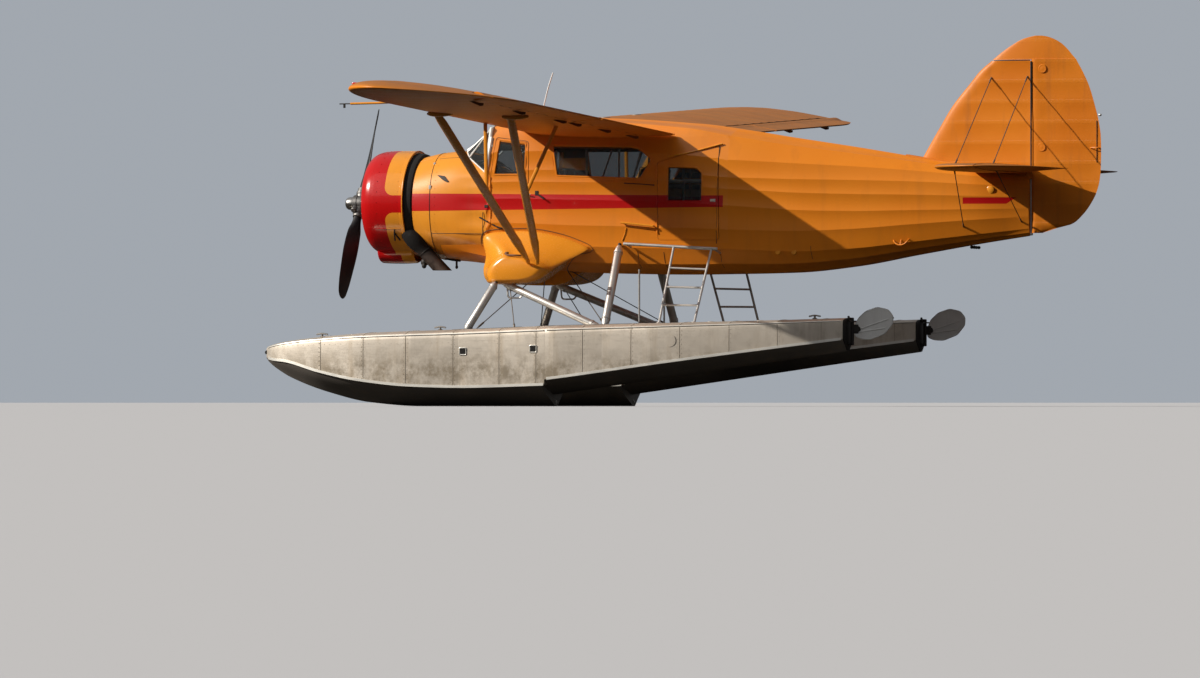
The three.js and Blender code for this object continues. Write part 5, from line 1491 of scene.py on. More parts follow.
def make_wing_shape():
    """The main panel, closed behind by a hollow arc round the noses of flap and aileron, with
    whole sections at the root and the tip and a low strip along the leading edge."""
    y = spaced(WING_ROOT_Y, 6.915, RIB_STEP)[:, None]
    front = wing_frame(y)[0]
    spread = (1 - np.cos(np.linspace(0, np.pi, 30))) / 2
    main = grid(np.concatenate([wing_points(y, lerp(HINGE_X + 0.027, front, spread ** 0.9), True),
                                wing_points(y, lerp(front, HINGE_X + 0.027, spread[1:] ** 1.1), False),
                                hinge_arc(y, COVE_RADIUS, np.linspace(-62, 62, 11)[1:-1])], 1))
    past = np.sin(np.linspace(np.arcsin((6.917 - WING_ROUND_Y) / 1.8), np.pi / 2, 24))
    tip = whole_sections(WING_ROUND_Y + past * (WING_TIP_Y - WING_ROUND_Y)
                         - np.append(np.zeros(23), 0.001))
    root = whole_sections([WING_ROOT_Y + 0.0005, 0.665, FLAP_Y[0] - 0.015])
    y = spaced(WING_ROOT_Y, 6.9, 0.11)
    front, chord, _ = wing_frame(y)
    strip = swept(wing_points(y, front - 0.11 * chord, True) + np.array([0, 0, 0.0012]),
                  np.array([(0.001, -0.018), (0.001, 0.018), (-0.002, 0.018), (-0.002, -0.018)]), up=ABOVE)
    return merged(main, tip, root, strip)


def control_shape(span):
    """A flap or aileron: a round nose about the hinge line and the aerofoil's tail behind it."""
    y = spaced(*span, RIB_STEP)[:, None]
    front, chord, _ = wing_frame(y)
    back = front - chord + 0.001
    t = np.linspace(0, 1, 16)
    top = wing_points(y, lerp(back, HINGE_X, t), True)
    low = wing_points(y, lerp(HINGE_X, back, t[:-1]), False)
    for rows, height in ((top, HINGE_RADIUS), (low, -HINGE_RADIUS)):
        rows[..., 2] = lerp(rows[..., 2], hinge_z(y) + height, ramp(0.12, 0.0, HINGE_X - rows[..., 0]))
    nose = hinge_arc(y, HINGE_RADIUS, np.linspace(90, -90, 13)[1:-1])
    return grid(np.concatenate([top, nose, low], 1))


def hinge_arm(y):
    """A tapered plate below the wing that reaches back to the hinge pin."""
    z, low = hinge_z(y), wing_surface(y, 0.95, False)
    outline = np.array([(0.93, low + 0.004), (0.86, low + 0.002), (0.80, z - 0.062), (0.745, z - 0.068),
                        (0.75, z - 0.095), (0.79, z - 0.102)])
    return grid(np.array([np.column_stack([outline[:, 0], np.full(6, y + d), outline[:, 1]])
                          for d in (-0.006, 0.006)]))


# Foot, top and chord of each strut, and the foot and top of its jury strut
LIFT_STRUTS = {
    "front": ((2.09, 1.09, 1.70), (2.18, 4.40, 3.57), 0.125, (2.132, 2.65, 2.581), (2.15, 2.65, 3.51)),
    "rear": ((2.01, 1.07, 1.70), (1.22, 4.40, 3.525), 0.105, (1.635, 2.65, 2.566), (1.214, 2.65, 3.45))}


def make_lift_struts():
    """Each strut narrows at its ends and carries its jury strut, a cuff near its foot and another
    at the jury strut, a fork, and a drop-shaped fairing where it meets the wing."""
    for name, (foot, top, chord, jury_foot, jury_top) in LIFT_STRUTS.items():
        t = np.linspace(0.045, 0.985, 40)
        size = np.interp(t, [0.045, 0.10, 0.16, 0.93, 0.985], [0.45, 0.75, 1, 1, 0.7])
        body = swept(between(foot, top, t), streamlined(chord, 0.048), size, up=AHEAD)
        jury = strut(jury_foot, jury_top, 0.048, 0.026)
        joint = (jury_foot[1] - foot[1]) / (top[1] - foot[1])
        cuffs = [swept(between(foot, top, (a, a + 0.012, a + 0.024)), streamlined(chord * 1.06, 0.053),
                       [0.97, 1, 0.97], up=AHEAD) for a in (0.165, joint - 0.012)]
        fork = tube(between(foot, top, (0.03, 0.045, 0.06)), 0.022)
        surface = wing_surface(top[1], top[0], False)
        fairing = egg((top[0] - 0.05, top[1] - 0.02, surface - 0.012), (0.15, 0.05, 0.040), tail=1.3)
        finish_pair(name + "_lift_strut_skin", merged(body, jury, *cuffs, fork, fairing), "yellow_metal",
                    YELLOW_METAL, [name + "_lift_strut"])


def make_wings():
    """The wings' skins with hinge arms in painted shade, a dark line along the hinges painted as the shade
    in their gap, fuel caps and tip lamps, the boom with its two tubes on the port wing, and the aerial."""
    line_y = spaced(FLAP_Y[0], AILERON_Y[1], 0.08)
    line = tube(wing_points(line_y, HINGE_X + 0.028 + 0 * line_y, True), 0.005, 6)
    arms = [hinge_arm(y) for y in (0.95, 2.0, 3.1, 3.65, 5.15, 6.65)]
    caps = [turned([(0.0, -0.006), (0.062, -0.006), (0.062, 0.004), (0.050, 0.009), (0.0, 0.010)], 28,
                   (1.9, y, wing_surface(y, 1.9, True)), axis=2) for y in (1.15, 2.35)]
    # Painted shade: a dark tube along the gap before flap and aileron.
    finish_pair("hinge_line", line, "engine_metal", RUBBER_AND_GAP_SHADE)
    finish_pair("wing_skin", make_wing_shape(), "yellow_fabric", WING_FABRIC, ["wing"], angle=40)
    for name, span in (("flap", FLAP_Y), ("aileron", AILERON_Y)):
        finish_pair(name + "_skin", control_shape(span), "yellow_fabric", WING_FABRIC, [name],
                    "{side}_" + name, angle=40)
    # Hinge arms in the yellow darkened as painted shade.
    finish_pair("hinge_arms", merged(*arms), "yellow_metal", SHADED_YELLOW_PAINT)
    finish_pair("fuel_caps", merged(*caps), "silver_tube", DULL_ALUMINIUM)
    front, chord, _ = wing_frame(7.45)
    lamp_x = front - 0.05 * chord
    lamp = egg((lamp_x, 7.45, wing_surface(7.45, lamp_x, True)), (0.035, 0.016, 0.013), tail=1.8)
    for (side, sign), lens in zip(SIDES, (RED_LENS, GREEN_LENS)):
        finish_piece(side + "_wing_lamp", mirrored(lamp, sign), "airframe", "window_glass", lens)
    z = wing_surface(5.5, 2.40, False)
    boom = tube([(2.34, 5.5, z - 0.012), (2.50, 5.5, z - 0.018), (2.68, 5.5, z - 0.021),
                 (2.85, 5.5, z - 0.024)], 0.014)
    pitot = merged(tube([(2.84, 5.5, z - 0.024), (2.92, 5.5, z - 0.025), (2.99, 5.5, z - 0.026)],
                        0.007, 8),
                   strut((2.93, 5.5, z - 0.02), (2.93, 5.5, z - 0.075), 0.03, 0.010, 5))
    finish_piece("pitot_boom", boom, "airframe", "yellow_metal", YELLOW_METAL)
    finish_piece("pitot_tubes", pitot, "airframe", "silver_tube", DARK_STEEL)
    aerial = tube(bent([(2.26, 0.30, 3.555), (2.235, 0.30, 3.63), (2.15, 0.30, 3.95), (2.09, 0.30, 4.13)],
                       0.04), 0.009, 8)
    boss = egg((2.26, 0.30, 3.555), (0.05, 0.03, 0.03), tail=1.4)
    finish_piece("aerial", merged(aerial, boss), "airframe", "silver_tube", WHITE_ROD)


make_wings()
make_lift_struts()


# Tail

# Share of the full thickness by share of the depth, and outlines as Z and X, HORN with both edges
SHARE_KNOTS = np.array([(0, 0.0), (0.01, 0.24), (0.03, 0.42), (0.06, 0.60), (0.12, 0.80), (0.22, 0.94),
                        (0.35, 1.0), (1.0, 1.0)])
FIN_EDGE = np.array([(2.78, -2.45), (3.068, -2.628), (3.207, -2.709), (3.421, -2.837), (3.68, -2.999),
                     (3.954, -3.224), (4.107, -3.352), (4.23, -3.50)])
RUDDER_EDGE = np.array([
    (2.12, -4.15), (2.18, -4.343), (2.23, -4.534), (2.32, -4.647), (2.46, -4.76), (2.61, -4.84),
    (2.765, -4.882), (2.94, -4.897), (3.13, -4.90), (3.31, -4.895), (3.50, -4.866), (3.68, -4.82),
    (3.896, -4.755), (4.064, -4.68), (4.25, -4.578)])
HORN = np.array([(4.243, -3.513, -4.583), (4.30, -3.585, -4.530), (4.366, -3.673, -4.475),
                 (4.44, -3.79, -4.395), (4.49, -3.88, -4.31), (4.522, -3.985, -4.225),
                 (4.537, -4.06, -4.14)])
TAIL_WIRES = (((-3.51, 0.05, 4.02), (-3.47, 1.40, 2.946)), ((-3.97, 0.048, 4.03), (-3.95, 1.40, 2.940)),
              ((-3.46, 1.40, 2.856), (-3.215, 0.245, 2.20)), ((-3.99, 1.40, 2.86), (-3.91, 0.09, 2.26)))


def fixed_surface(s, front, hinge, half, nose, sag):
    """Sections of a fin or tailplane as (distance back, half thickness): a rounded leading edge,
    then even thickness to the lips, and a hollow arc around the moving surface's nose."""
    t = (1 - np.cos(np.linspace(0, np.pi, 26))) / 2 + 0 * s
    lip = hinge + np.sqrt(np.maximum(nose ** 2 - (0.97 * np.minimum(half, nose)) ** 2, 0)) + 0.003
    x = lerp(lip, front, t)
    share = (front - x) / (front - hinge)
    out = half * np.interp(share, *SHARE_KNOTS.T)
    out = np.minimum(out, lerp(0.97 * np.minimum(half, nose), 1, ramp(0, 0.03, x - lip)))
    out = out - sag * wave(s, TAIL_RIB_PITCH) * ramp(0.1, 0.25, share) * ramp(1.0, 0.93, share)
    edge = np.degrees(np.arcsin(np.clip(out[:, :1] / nose, -1, 1)))
    a = np.radians(edge * np.linspace(-1, 1, 9)[1:-1])
    return (np.concatenate([x, x[:, -2::-1], hinge + nose * np.cos(a)], 1),
            np.concatenate([out, -out[:, -2::-1], nose * np.sin(a)], 1))


def moving_surface(s, hinge, back, nose, sag, edge=0.003):
    """Sections of a rudder or elevator: a round nose, then a taper to a thin edge."""
    t = np.linspace(0, 1, 18) + 0 * s
    x = lerp(back, hinge, t)
    share = (hinge - x) / np.maximum(hinge - back, 1e-6)
    out = edge + (nose - edge) * (1 - share ** 1.15)
    out = out - sag * wave(s, TAIL_RIB_PITCH) * ramp(0.05, 0.2, share) * ramp(1.0, 0.88, share)
    out = np.maximum(out, 0.002)
    a = np.radians(np.linspace(90, -90, 11)[1:-1]) + 0 * s
    return (np.concatenate([x, hinge + nose * np.cos(a), x[:, -1:0:-1]], 1),
            np.concatenate([out, nose * np.sin(a), -out[:, -1:0:-1]], 1))


def upright(z, x, out):
    return np.stack([x, out, z + 0 * x], -1)


def level(y, x, out):
    return np.stack([x, y + 0 * x, TAIL_Z + out], -1)


def tail_share(y):
    return np.sqrt(np.maximum(1 - np.clip((y - TAIL_ROUND_Y) / 0.95, 0, 1) ** 2, 0.0009))


def make_fin():
    """The fin with a root fairing strip on each side, and dark strips that paint the shade in the gap ahead
    of the rudder and along the fin's top."""
    z = spaced(2.78, 4.23, 0.042)[:, None]
    front = curve(FIN_EDGE[:, 0], FIN_EDGE[:, 1], z)
    half = lerp(0.05, 0.042, ramp(3.4, 4.23, z))
    fin = grid(upright(z, *fixed_surface(z - TAIL_RIB_Z, front, RUDDER_X, half, 0.050, 0.007)))
    x = spaced(-3.95, -2.42, 0.05)
    foot_z = np.maximum(hull(x, np.pi / 2, 0.0, 0.0)[:, 2] + 0.004, 2.79)
    corner = np.array([(-0.012, -0.02), (-0.012, 0.02), (0.006, 0.012), (0.010, -0.004),
                       (0.006, -0.016)])
    strips = [swept(np.column_stack([x, side * 0.052 + 0 * x, foot_z]), corner, up=ABOVE)
              for side in (1, -1)]
    finish_piece("fin_skin", merged(fin, *strips), "airframe", "yellow_fabric", UPRIGHT_FABRIC, ("fin",),
                 angle=40)
    # Painted shade: dark strips in the gap ahead of the rudder and along the fin's top.
    gaps = [tube([(RUDDER_X + 0.036, side * 0.0405, z) for z in (2.80, 3.2, 3.7, 4.22)], 0.013, 8)
            for side in (1, -1)]
    cap = tube([(-3.53, 0, 4.229), (-3.75, 0, 4.231), (-3.99, 0, 4.231)], 0.009, 8)
    finish_piece("fin_gap_strips", merged(*gaps, cap), "airframe", "engine_metal", RUBBER_AND_GAP_SHADE)


def horn_balance():
    """The rudder's top, which reaches ahead of its hinge: thick in front, thin behind."""
    z = np.concatenate([spaced(4.243, 4.50, 0.03), [4.515, 4.526, 4.533, 4.537]])[:, None]
    front, back = curve(HORN[:, 0], HORN[:, 1:], z[:, 0]).T[..., None]
    x = lerp(back, front, (1 - np.cos(np.linspace(0, np.pi, 34))) / 2)
    share = (front - x) / (front - back)
    half = 0.035 * np.clip((4.56 - z) / 0.325, 0.05, 1)
    out = half * np.interp(share, *SHARE_KNOTS.T) * ramp(1.03, 0.35, share)
    out = np.maximum(out, 0.001) * (share > 0)
    return grid(upright(z, np.concatenate([x, x[:, -2:0:-1]], 1),
                        np.concatenate([out, -out[:, -2:0:-1]], 1)))


def round_covers(x, z, radius, out):
    """An embossed cover on each side of the rudder."""
    cover = turned([(0.0, -0.004), (radius, -0.004), (radius, 0.0), (radius * 0.86, 0.006),
                    (radius * 0.62, 0.0035), (radius * 0.3, 0.007), (0.0, 0.007)], 28, (x, out, z), axis=1)
    return merged(cover, mirrored(cover, -1))


def make_rudder():
    """The rudder with its horn balance and covers, the trim tab's hinge line and horns, the tail
    lamp and the hinges."""
    z = np.concatenate([spaced(2.12, 2.26, 0.02), spaced(2.29, 4.25, 0.042)])[:, None]
    back = curve(RUDDER_EDGE[:, 0], RUDDER_EDGE[:, 1], z)
    lower = grid(upright(z, *moving_surface(z - TAIL_RIB_Z, RUDDER_X, back, 0.042, 0.007)))
    covers = merged(round_covers(-4.16, 4.13, 0.055, 0.036), round_covers(-4.15, 3.17, 0.055, 0.037))
    finish_piece("rudder_skin", merged(lower, horn_balance(), covers), "rudder", "yellow_fabric",
                 UPRIGHT_FABRIC, ("rudder",), angle=40)
    z = spaced(2.98, 3.49, 0.03)
    lines = [tube(np.column_stack([0 * z - 4.845, s * 0.009 + 0 * z, z]), 0.004, 6) for s in (1, -1)]
    finish_piece("rudder_tab_line", merged(*lines), "rudder", "yellow_fabric", RUBBER_AND_GAP_SHADE)
    rods = [tube([(-4.76, s * 0.012, 3.16), (-4.80, s * 0.045, 3.16), (-4.865, s * 0.05, 3.16)], 0.006, 8)
            for s in (1, -1)]
    horns = [strut((-4.865, s * 0.006, 3.16), (-4.865, s * 0.055, 3.16), 0.03, 0.008, 5) for s in (1, -1)]
    finish_piece("rudder_tab_horns", merged(*rods, *horns), "rudder", "yellow_metal", WINDOW_METAL)
    lamp = egg((-4.885, 0, 3.56), (0.022, 0.012, 0.016))
    finish_piece("tail_lamp", lamp, "rudder", "silver_tube", SILVER)
    knuckles = [turned([(0.0, -0.03), (0.020, -0.03), (0.022, -0.02), (0.022, 0.02), (0.020, 0.03),
                        (0.0, 0.03)], 12, (RUDDER_X + 0.012, 0, z), axis=2) for z in (2.34, 2.66)]
    finish_piece("rudder_hinges", merged(*knuckles), "airframe", "silver_tube", DULL_ALUMINIUM)


def make_tailplane():
    """Tailplane and elevator with rounded tips, the elevator's horn, and the bracing wires with a
    fork at each end."""
    tip = TAIL_ROUND_Y + 0.949 * np.sin(np.linspace(0, np.pi / 2, 14))[1:]
    y = np.concatenate([spaced(0.046, TAIL_ROUND_Y, 0.042), tip])[:, None]
    share = tail_share(y)
    thin = np.maximum(0.12, share)
    nose = np.minimum(0.050, TAIL_HALF * thin + 0.004)
    front = ELEVATOR_X + 0.74 * share
    plane = grid(level(y, *fixed_surface(y, front, ELEVATOR_X, TAIL_HALF * thin, nose, 0.003)))
    y = np.concatenate([spaced(0.131, 0.42, 0.02), spaced(0.45, TAIL_ROUND_Y, 0.042), tip])[:, None]
    share = tail_share(y)
    back = np.maximum(ELEVATOR_X - 0.57 * share, ELEVATOR_X - 0.05 - 0.62 * (y - 0.13) / 0.29)
    nose = np.minimum(0.040, TAIL_HALF * np.maximum(0.12, share) - 0.005)
    elevator = grid(level(y, *moving_surface(y, ELEVATOR_X, back, np.maximum(nose, 0.003), 0.003)))
    horn = strut((-4.06, 0.30, TAIL_Z - 0.03), (-4.10, 0.30, TAIL_Z - 0.115), 0.05, 0.010, 6)
    finish_pair("tailplane_skin", plane, "yellow_fabric", TAIL_FABRIC, ["tailplane"], angle=40)
    finish_pair("elevator_skin", merged(elevator, horn), "yellow_fabric", TAIL_FABRIC, ["elevator"],
                "elevators", angle=40)
    wires = [bar(a, b, 0.006, 6, past=-0.02) for a, b in TAIL_WIRES]
    forks = [tube(between(p, q, (-0.008, 0.01, 0.05)), 0.010, 8)
             for a, b in TAIL_WIRES for p, q in ((a, b), (b, a))]
    finish_pair("tail_wires", merged(*wires, *forks), "silver_tube", STEEL_WIRE)


make_fin()
make_rudder()
make_tailplane()


# Stubs, floats, struts and ladders

# X and Z of a stub's outline at the cabin side, and of its outer end
STUB = np.array([
    (2.88, 1.69, 2.69, 1.655), (2.85, 1.85, 2.63, 1.765), (2.87, 2.11, 2.47, 1.88),
    (2.55, 2.16, 2.35, 1.86), (2.20, 2.155, 2.18, 1.84), (1.90, 2.10, 2.06, 1.80),
    (1.68, 2.03, 1.95, 1.75), (1.50, 1.94, 1.88, 1.69), (1.69, 1.895, 1.91, 1.63),
    (1.85, 1.76, 1.99, 1.57), (2.05, 1.61, 2.11, 1.53), (2.26, 1.515, 2.27, 1.512),
    (2.74, 1.51, 2.61, 1.51), (2.85, 1.57, 2.68, 1.565)])
# X, half width, keel Z, chine Z and deck Z of a float ahead of its step and behind it
FLOAT = np.array([
    (5.40, 0.095, 0.560, 0.605, 0.715), (5.315, 0.170, 0.489, 0.578, 0.742),
    (5.09, 0.275, 0.354, 0.555, 0.785), (4.60, 0.390, 0.174, 0.425, 0.840),
    (4.05, 0.455, 0.048, 0.318, 0.880), (3.39, 0.475, 0.0, 0.252, 0.905),
    (2.72, 0.475, 0.0, 0.235, 0.925), (STEP_X, 0.475, 0.0, 0.262, 0.965)])
FLOAT_AFT = np.array([
    (1.80, 0.473, 0.128, 0.312, 0.960), (STEP_X, 0.475, 0.150, 0.330, 0.965),
    (0.0, 0.430, 0.378, 0.548, 1.0), (-1.30, 0.330, 0.560, 0.713, 1.028),
    (STERN_X, 0.205, 0.672, 0.816, 1.050)])
SEAM_X = (4.58, 4.00, 3.44, 2.82, 2.22, 1.74, 1.14, 0.52, -0.10, -0.72, -1.32, -1.86)


def smooth_loop(points, per):
    """A closed curve through the points: cubic pieces whose slopes are half the next-but-one chord."""
    p = np.asarray(points, float)
    before, after = np.roll(p, 1, axis=0), np.roll(p, -1, axis=0)
    slope, end = (after - before) / 2, np.roll(after - before, -1, axis=0) / 2
    t = (np.arange(per) / per)[:, None, None]
    piece = ((2 * t ** 3 - 3 * t ** 2 + 1) * p + (t ** 3 - 2 * t ** 2 + t) * slope
             + (3 * t ** 2 - 2 * t ** 3) * after + (t ** 3 - t ** 2) * end)
    return piece.transpose(1, 0, 2).reshape(-1, p.shape[1])


def make_stub():
    """A fairing lofted out of the cabin side: the root outline blends into the smaller outer one,
    quickly at first, so that the foot is hollow, and the end is rounded off."""
    loop = smooth_loop(STUB, 6)
    y = np.array([0.43, 0.55, 0.64, 0.66, 0.68, 0.70, 0.73, 0.77, 0.82, 0.88, 0.94, 1.00, 1.05, 1.09, 1.12,
                  1.145, 1.16, 1.172, 1.18])
    share = curve([0.43, 0.645, 0.70, 0.78, 0.90, 1.05, 1.18], [0, 0, 0.20, 0.46, 0.74, 1, 1], y)[:, None]
    size = curve([0.43, 1.04, 1.10, 1.145, 1.17, 1.18], [1, 1, 0.95, 0.87, 0.76, 0.66], y)[:, None]
    x = 2.29 + (lerp(loop[:, 0], loop[:, 2], share) - 2.29) * size
    z = 1.68 + (lerp(loop[:, 1], loop[:, 3], share) - 1.68) * size
    body = grid(np.stack([x, y[:, None] + 0 * x, z], -1))
    studs = rivets(on_side(offset(loop[:, :2], 0.018)[10:57:2], 0.001), PORT, 0.0065)
    cup = egg((2.07, 1.085, 1.70), (0.06, 0.045, 0.035))
    finish_pair("stub_skin", merged(body, studs, cup), "yellow_metal", YELLOW_METAL, ["stub_fairing"],
                angle=40)
    skirt = tube(on_side(offset(loop[:, :2], 0.034)[9:58], 0.001), 0.005, 6)
    hook = bent([(2.46, 1.06, 1.875), (2.40, 1.13, 1.862), (2.28, 1.15, 1.858), (2.20, 1.12, 1.855)])
    fittings = merged(skirt, tube(hook, 0.012, 8),
                      strut((2.42, 1.10, 1.80), (2.425, 1.08, 1.90), 0.05, 0.030, 6),
                      egg((2.40, 1.135, 1.825), (0.035, 0.02, 0.03)))
    # The stub's fittings in the yellow darkened as painted shade.
    finish_pair("stub_fittings", fittings, "yellow_metal", SHADED_YELLOW_PAINT)


def float_section(x, table, low=True):
    """Half outlines of a float at X: from the keel out to the chine, or up the side and over."""
    half, keel, chine, deck = curve(table[:, 0], table[:, 1:], x).T[..., None]
    if low:
        flat = np.minimum(0.038, 0.3 * half)
        out = np.array([0.0, 0.2, 0.4, 0.6, 0.75, 0.88, 0.96, 1.0])
        rise = np.array([0.0, 0.19, 0.37, 0.54, 0.685, 0.83, 0.935, 1.0])
        return flat + (half - flat) * out, keel + (chine - keel) * rise
    tall = deck - chine
    out = np.array([1, 1, 0.997, 0.990, 0.983, 0.972, 0.945, 0.90, 0.84, 0.70, 0.5, 0.25, 0])
    z = np.concatenate([chine + np.array([0, 0.25, 0.5, 0.7]) * tall,
                        deck - np.array([0.13, 0.06, 0.025, 0.008]) * tall,
                        deck + np.array([0.002, 0.012, 0.019, 0.0235, 0.025])], 1)
    return out * half, z


def float_lines(fore, aft, step):
    """Even X ahead of the step and behind it, each with half width, keel, chine and deck."""
    for table, span in ((FLOAT, fore), (FLOAT_AFT, aft)):
        x = spaced(*span, step)
        yield x, *curve(table[:, 0], table[:, 1:], x).T


def mirrored_rows(x, y, z, centre):
    """Closed rings from half sections: up one side and back down the other."""
    left = np.stack([x + 0 * y, centre + y, z], -1)
    right = np.stack([x + 0 * y, centre - y, z], -1)[:, ::-1]
    if np.allclose(y[:, -1], 0):
        right = right[:, 1:]
    return grid(np.concatenate([left, right], 1))


def float_shells():
    """A float's upper part and its bottom, each as one closed body ahead of the step and one
    behind it, which starts a little inside the first."""
    fore_x = np.concatenate([[5.40], spaced(5.38, 5.0, 0.03), spaced(4.95, STEP_X, 0.06)])[:, None]
    aft_x = spaced(1.80, STERN_X, 0.07)[:, None]
    upper, bottom = [], []
    for x, table in ((fore_x, FLOAT), (aft_x, FLOAT_AFT)):
        y, z = float_section(x[:, 0], table, False)
        if table is FLOAT_AFT:
            within_first = x > STEP_X - 0.002
            y = y * np.where(within_first, 0.994, 1)
            z = z - np.where(within_first, 0.003, 0) * (z > 0.6)
        upper.append(mirrored_rows(x, y, z, FLOAT_Y))
        y, z = float_section(x[:, 0], table)
        left = np.stack([x + 0 * y, FLOAT_Y + y, z], -1)
        right = np.stack([x + 0 * y, FLOAT_Y - y, z], -1)[:, ::-1]
        ring = np.concatenate([right, left], 1)
        if table is FLOAT:
            ring[-1, :, 0] += 0.05 * np.abs(ring[-1, :, 1] - FLOAT_Y) / 0.475
        bottom.append(grid(ring))
    return merged(*upper), merged(*bottom)


def float_strips():
    """Strips along both chines and both deck edges, and along the keel."""
    strips, keels = [], []
    flat = np.array([(-0.016, -0.006), (0.016, -0.005), (0.016, 0.004), (-0.016, 0.006)])
    for side in (1, -1):
        for x, half, _, chine, deck in float_lines((5.36, 1.64), (1.60, STERN_X + 0.02), 0.08):
            strips.append(swept(np.column_stack([x, FLOAT_Y + side * (half + 0.002), chine + 0.006]), flat,
                                up=ABOVE))
            edge = np.column_stack([x, FLOAT_Y + side * half * 0.975, deck - 0.05 * (deck - chine)])
            strips.append(swept(edge, circle(8, 0.009)))
    for x, _, keel, _, _ in float_lines((5.30, 1.66), (1.55, STERN_X + 0.03), 0.1):
        keels.append(swept(np.column_stack([x, FLOAT_Y + 0 * x, keel + 0.006]),
                           np.array([(-0.006, -0.03), (-0.006, 0.03), (0.01, 0.036), (0.01, -0.036)]),
                           up=ABOVE))
    return merged(*strips), merged(*keels)


def float_seams():
    """Seams as lapped bands over the top and sides with a row of rivets each side, and rows of
    rivets along the sides."""
    bands, studs = [], []
    lift = np.repeat([(0, 0.0012, 0), (0, 0, 0.0012), (0, -0.0012, 0)], (8, 9, 8), axis=0)
    for at in SEAM_X:
        y, z = float_section(np.array([at]), FLOAT if at > STEP_X else FLOAT_AFT, False)
        path = np.column_stack([np.full(25, at), np.concatenate([FLOAT_Y + y[0], FLOAT_Y - y[0, -2::-1]]),
                                np.concatenate([z[0], z[0, -2::-1]])])
        length = np.concatenate([[0], np.cumsum(np.linalg.norm(np.diff(path, axis=0), axis=1))])
        even = spaced(0.03, length[-1] - 0.03, 0.055)
        fine = np.column_stack([np.interp(even, length, column) for column in path.T])
        out = fine - np.array([at, FLOAT_Y, np.mean(z)])
        upright_side = np.abs(out[:, 1:2]) > 0.93 * np.abs(y[0, 1])
        normal = np.where(upright_side, np.sign(out[:, 1:2]) * PORT, ABOVE)
        for shift in (-0.022, 0.022):
            studs.append(rivets(fine + shift * AHEAD + normal * 0.001, normal, 0.0065))
        bands.append(swept(path + lift, circle(6, 0.0035), up=AHEAD))
    for side in (1, -1):
        for x, half, _, chine, deck in float_lines((5.2, 1.68), (1.58, STERN_X + 0.05), 0.075):
            for share, inward in ((0.06, 1.0), (0.80, 0.984)):
                place = np.column_stack([x, FLOAT_Y + side * (half * inward + 0.001),
                                         chine + share * (deck - chine)])
                studs.append(rivets(place, side * PORT))
    return merged(*studs), merged(*bands)


def cleat(x, y, z):
    base = turned([(0.0, -0.01), (0.03, -0.01), (0.03, 0.006), (0.014, 0.012), (0.012, 0.032), (0.0, 0.032)],
                  16, (x, y, z), axis=2)
    horn = bent([(x - 0.075, y, z + 0.030), (x, y, z + 0.042), (x + 0.075, y, z + 0.030)])
    return merged(base, tube(horn, 0.010, 10))


def stern_plate():
    """The transom: the stern's outline as a plate whose outer edge is drawn in."""
    y, z = float_section(np.array([STERN_X]), FLOAT_AFT, False)
    half = np.column_stack([y[0], z[0]])
    low = np.array([[0.04, 0.675]])
    ring = np.concatenate([low, half, (half * [-1, 1])[::-1], low * [-1, 1]])
    return grid(np.array([
        np.column_stack([np.full(len(ring), x), FLOAT_Y + ring[:, 0] * s, 0.87 + (ring[:, 1] - 0.87) * s])
        for x, s in ((STERN_X + 0.004, 0.99), (STERN_X - 0.010, 0.99), (STERN_X - 0.014, 0.96))]))


def float_openings():
    """Dark square openings in the outer side, and the bright frames round them."""
    holes, rings = [], []
    y = FLOAT_Y + 0.4715
    square = rounded([(-0.042, -0.042), (0.042, -0.042), (0.042, 0.042), (-0.042, 0.042)], 0.01, 3)
    loop = densified(square, 0.03)
    for x, z in ((2.686, 0.673), (1.772, 0.702)):
        holes.append(block((x - 0.033, y, z - 0.033), (x + 0.033, y + 0.006, z + 0.033), 0.001))
        path = np.column_stack([x + loop[:, 0], np.full(len(loop), y + 0.003), z + loop[:, 1]])
        rings.append(swept(path, circle(6, 0.0075), up=PORT, along=True))
    return merged(*holes), rings


def float_treads():
    """Two dark strips along the deck, bent with its crown."""
    tread = []
    for start, stop in ((2.95, 2.10), (1.85, 0.60)):
        x = spaced(start, stop, 0.1)
        both = np.concatenate([FLOAT[:-1], FLOAT_AFT[1:]])
        deck = curve(both[:, 0], both[:, 4], x)[:, None]
        across = np.linspace(-0.17, 0.17, 7)
        top = np.stack(np.broadcast_arrays(x[:, None], FLOAT_Y + across,
                                           deck + 0.0285 - 0.25 * np.abs(across) ** 2), -1)
        tread.append(grid(np.concatenate([top, top[:, ::-1] - np.array([0, 0, 0.012])], 1)))
    return merged(*tread)


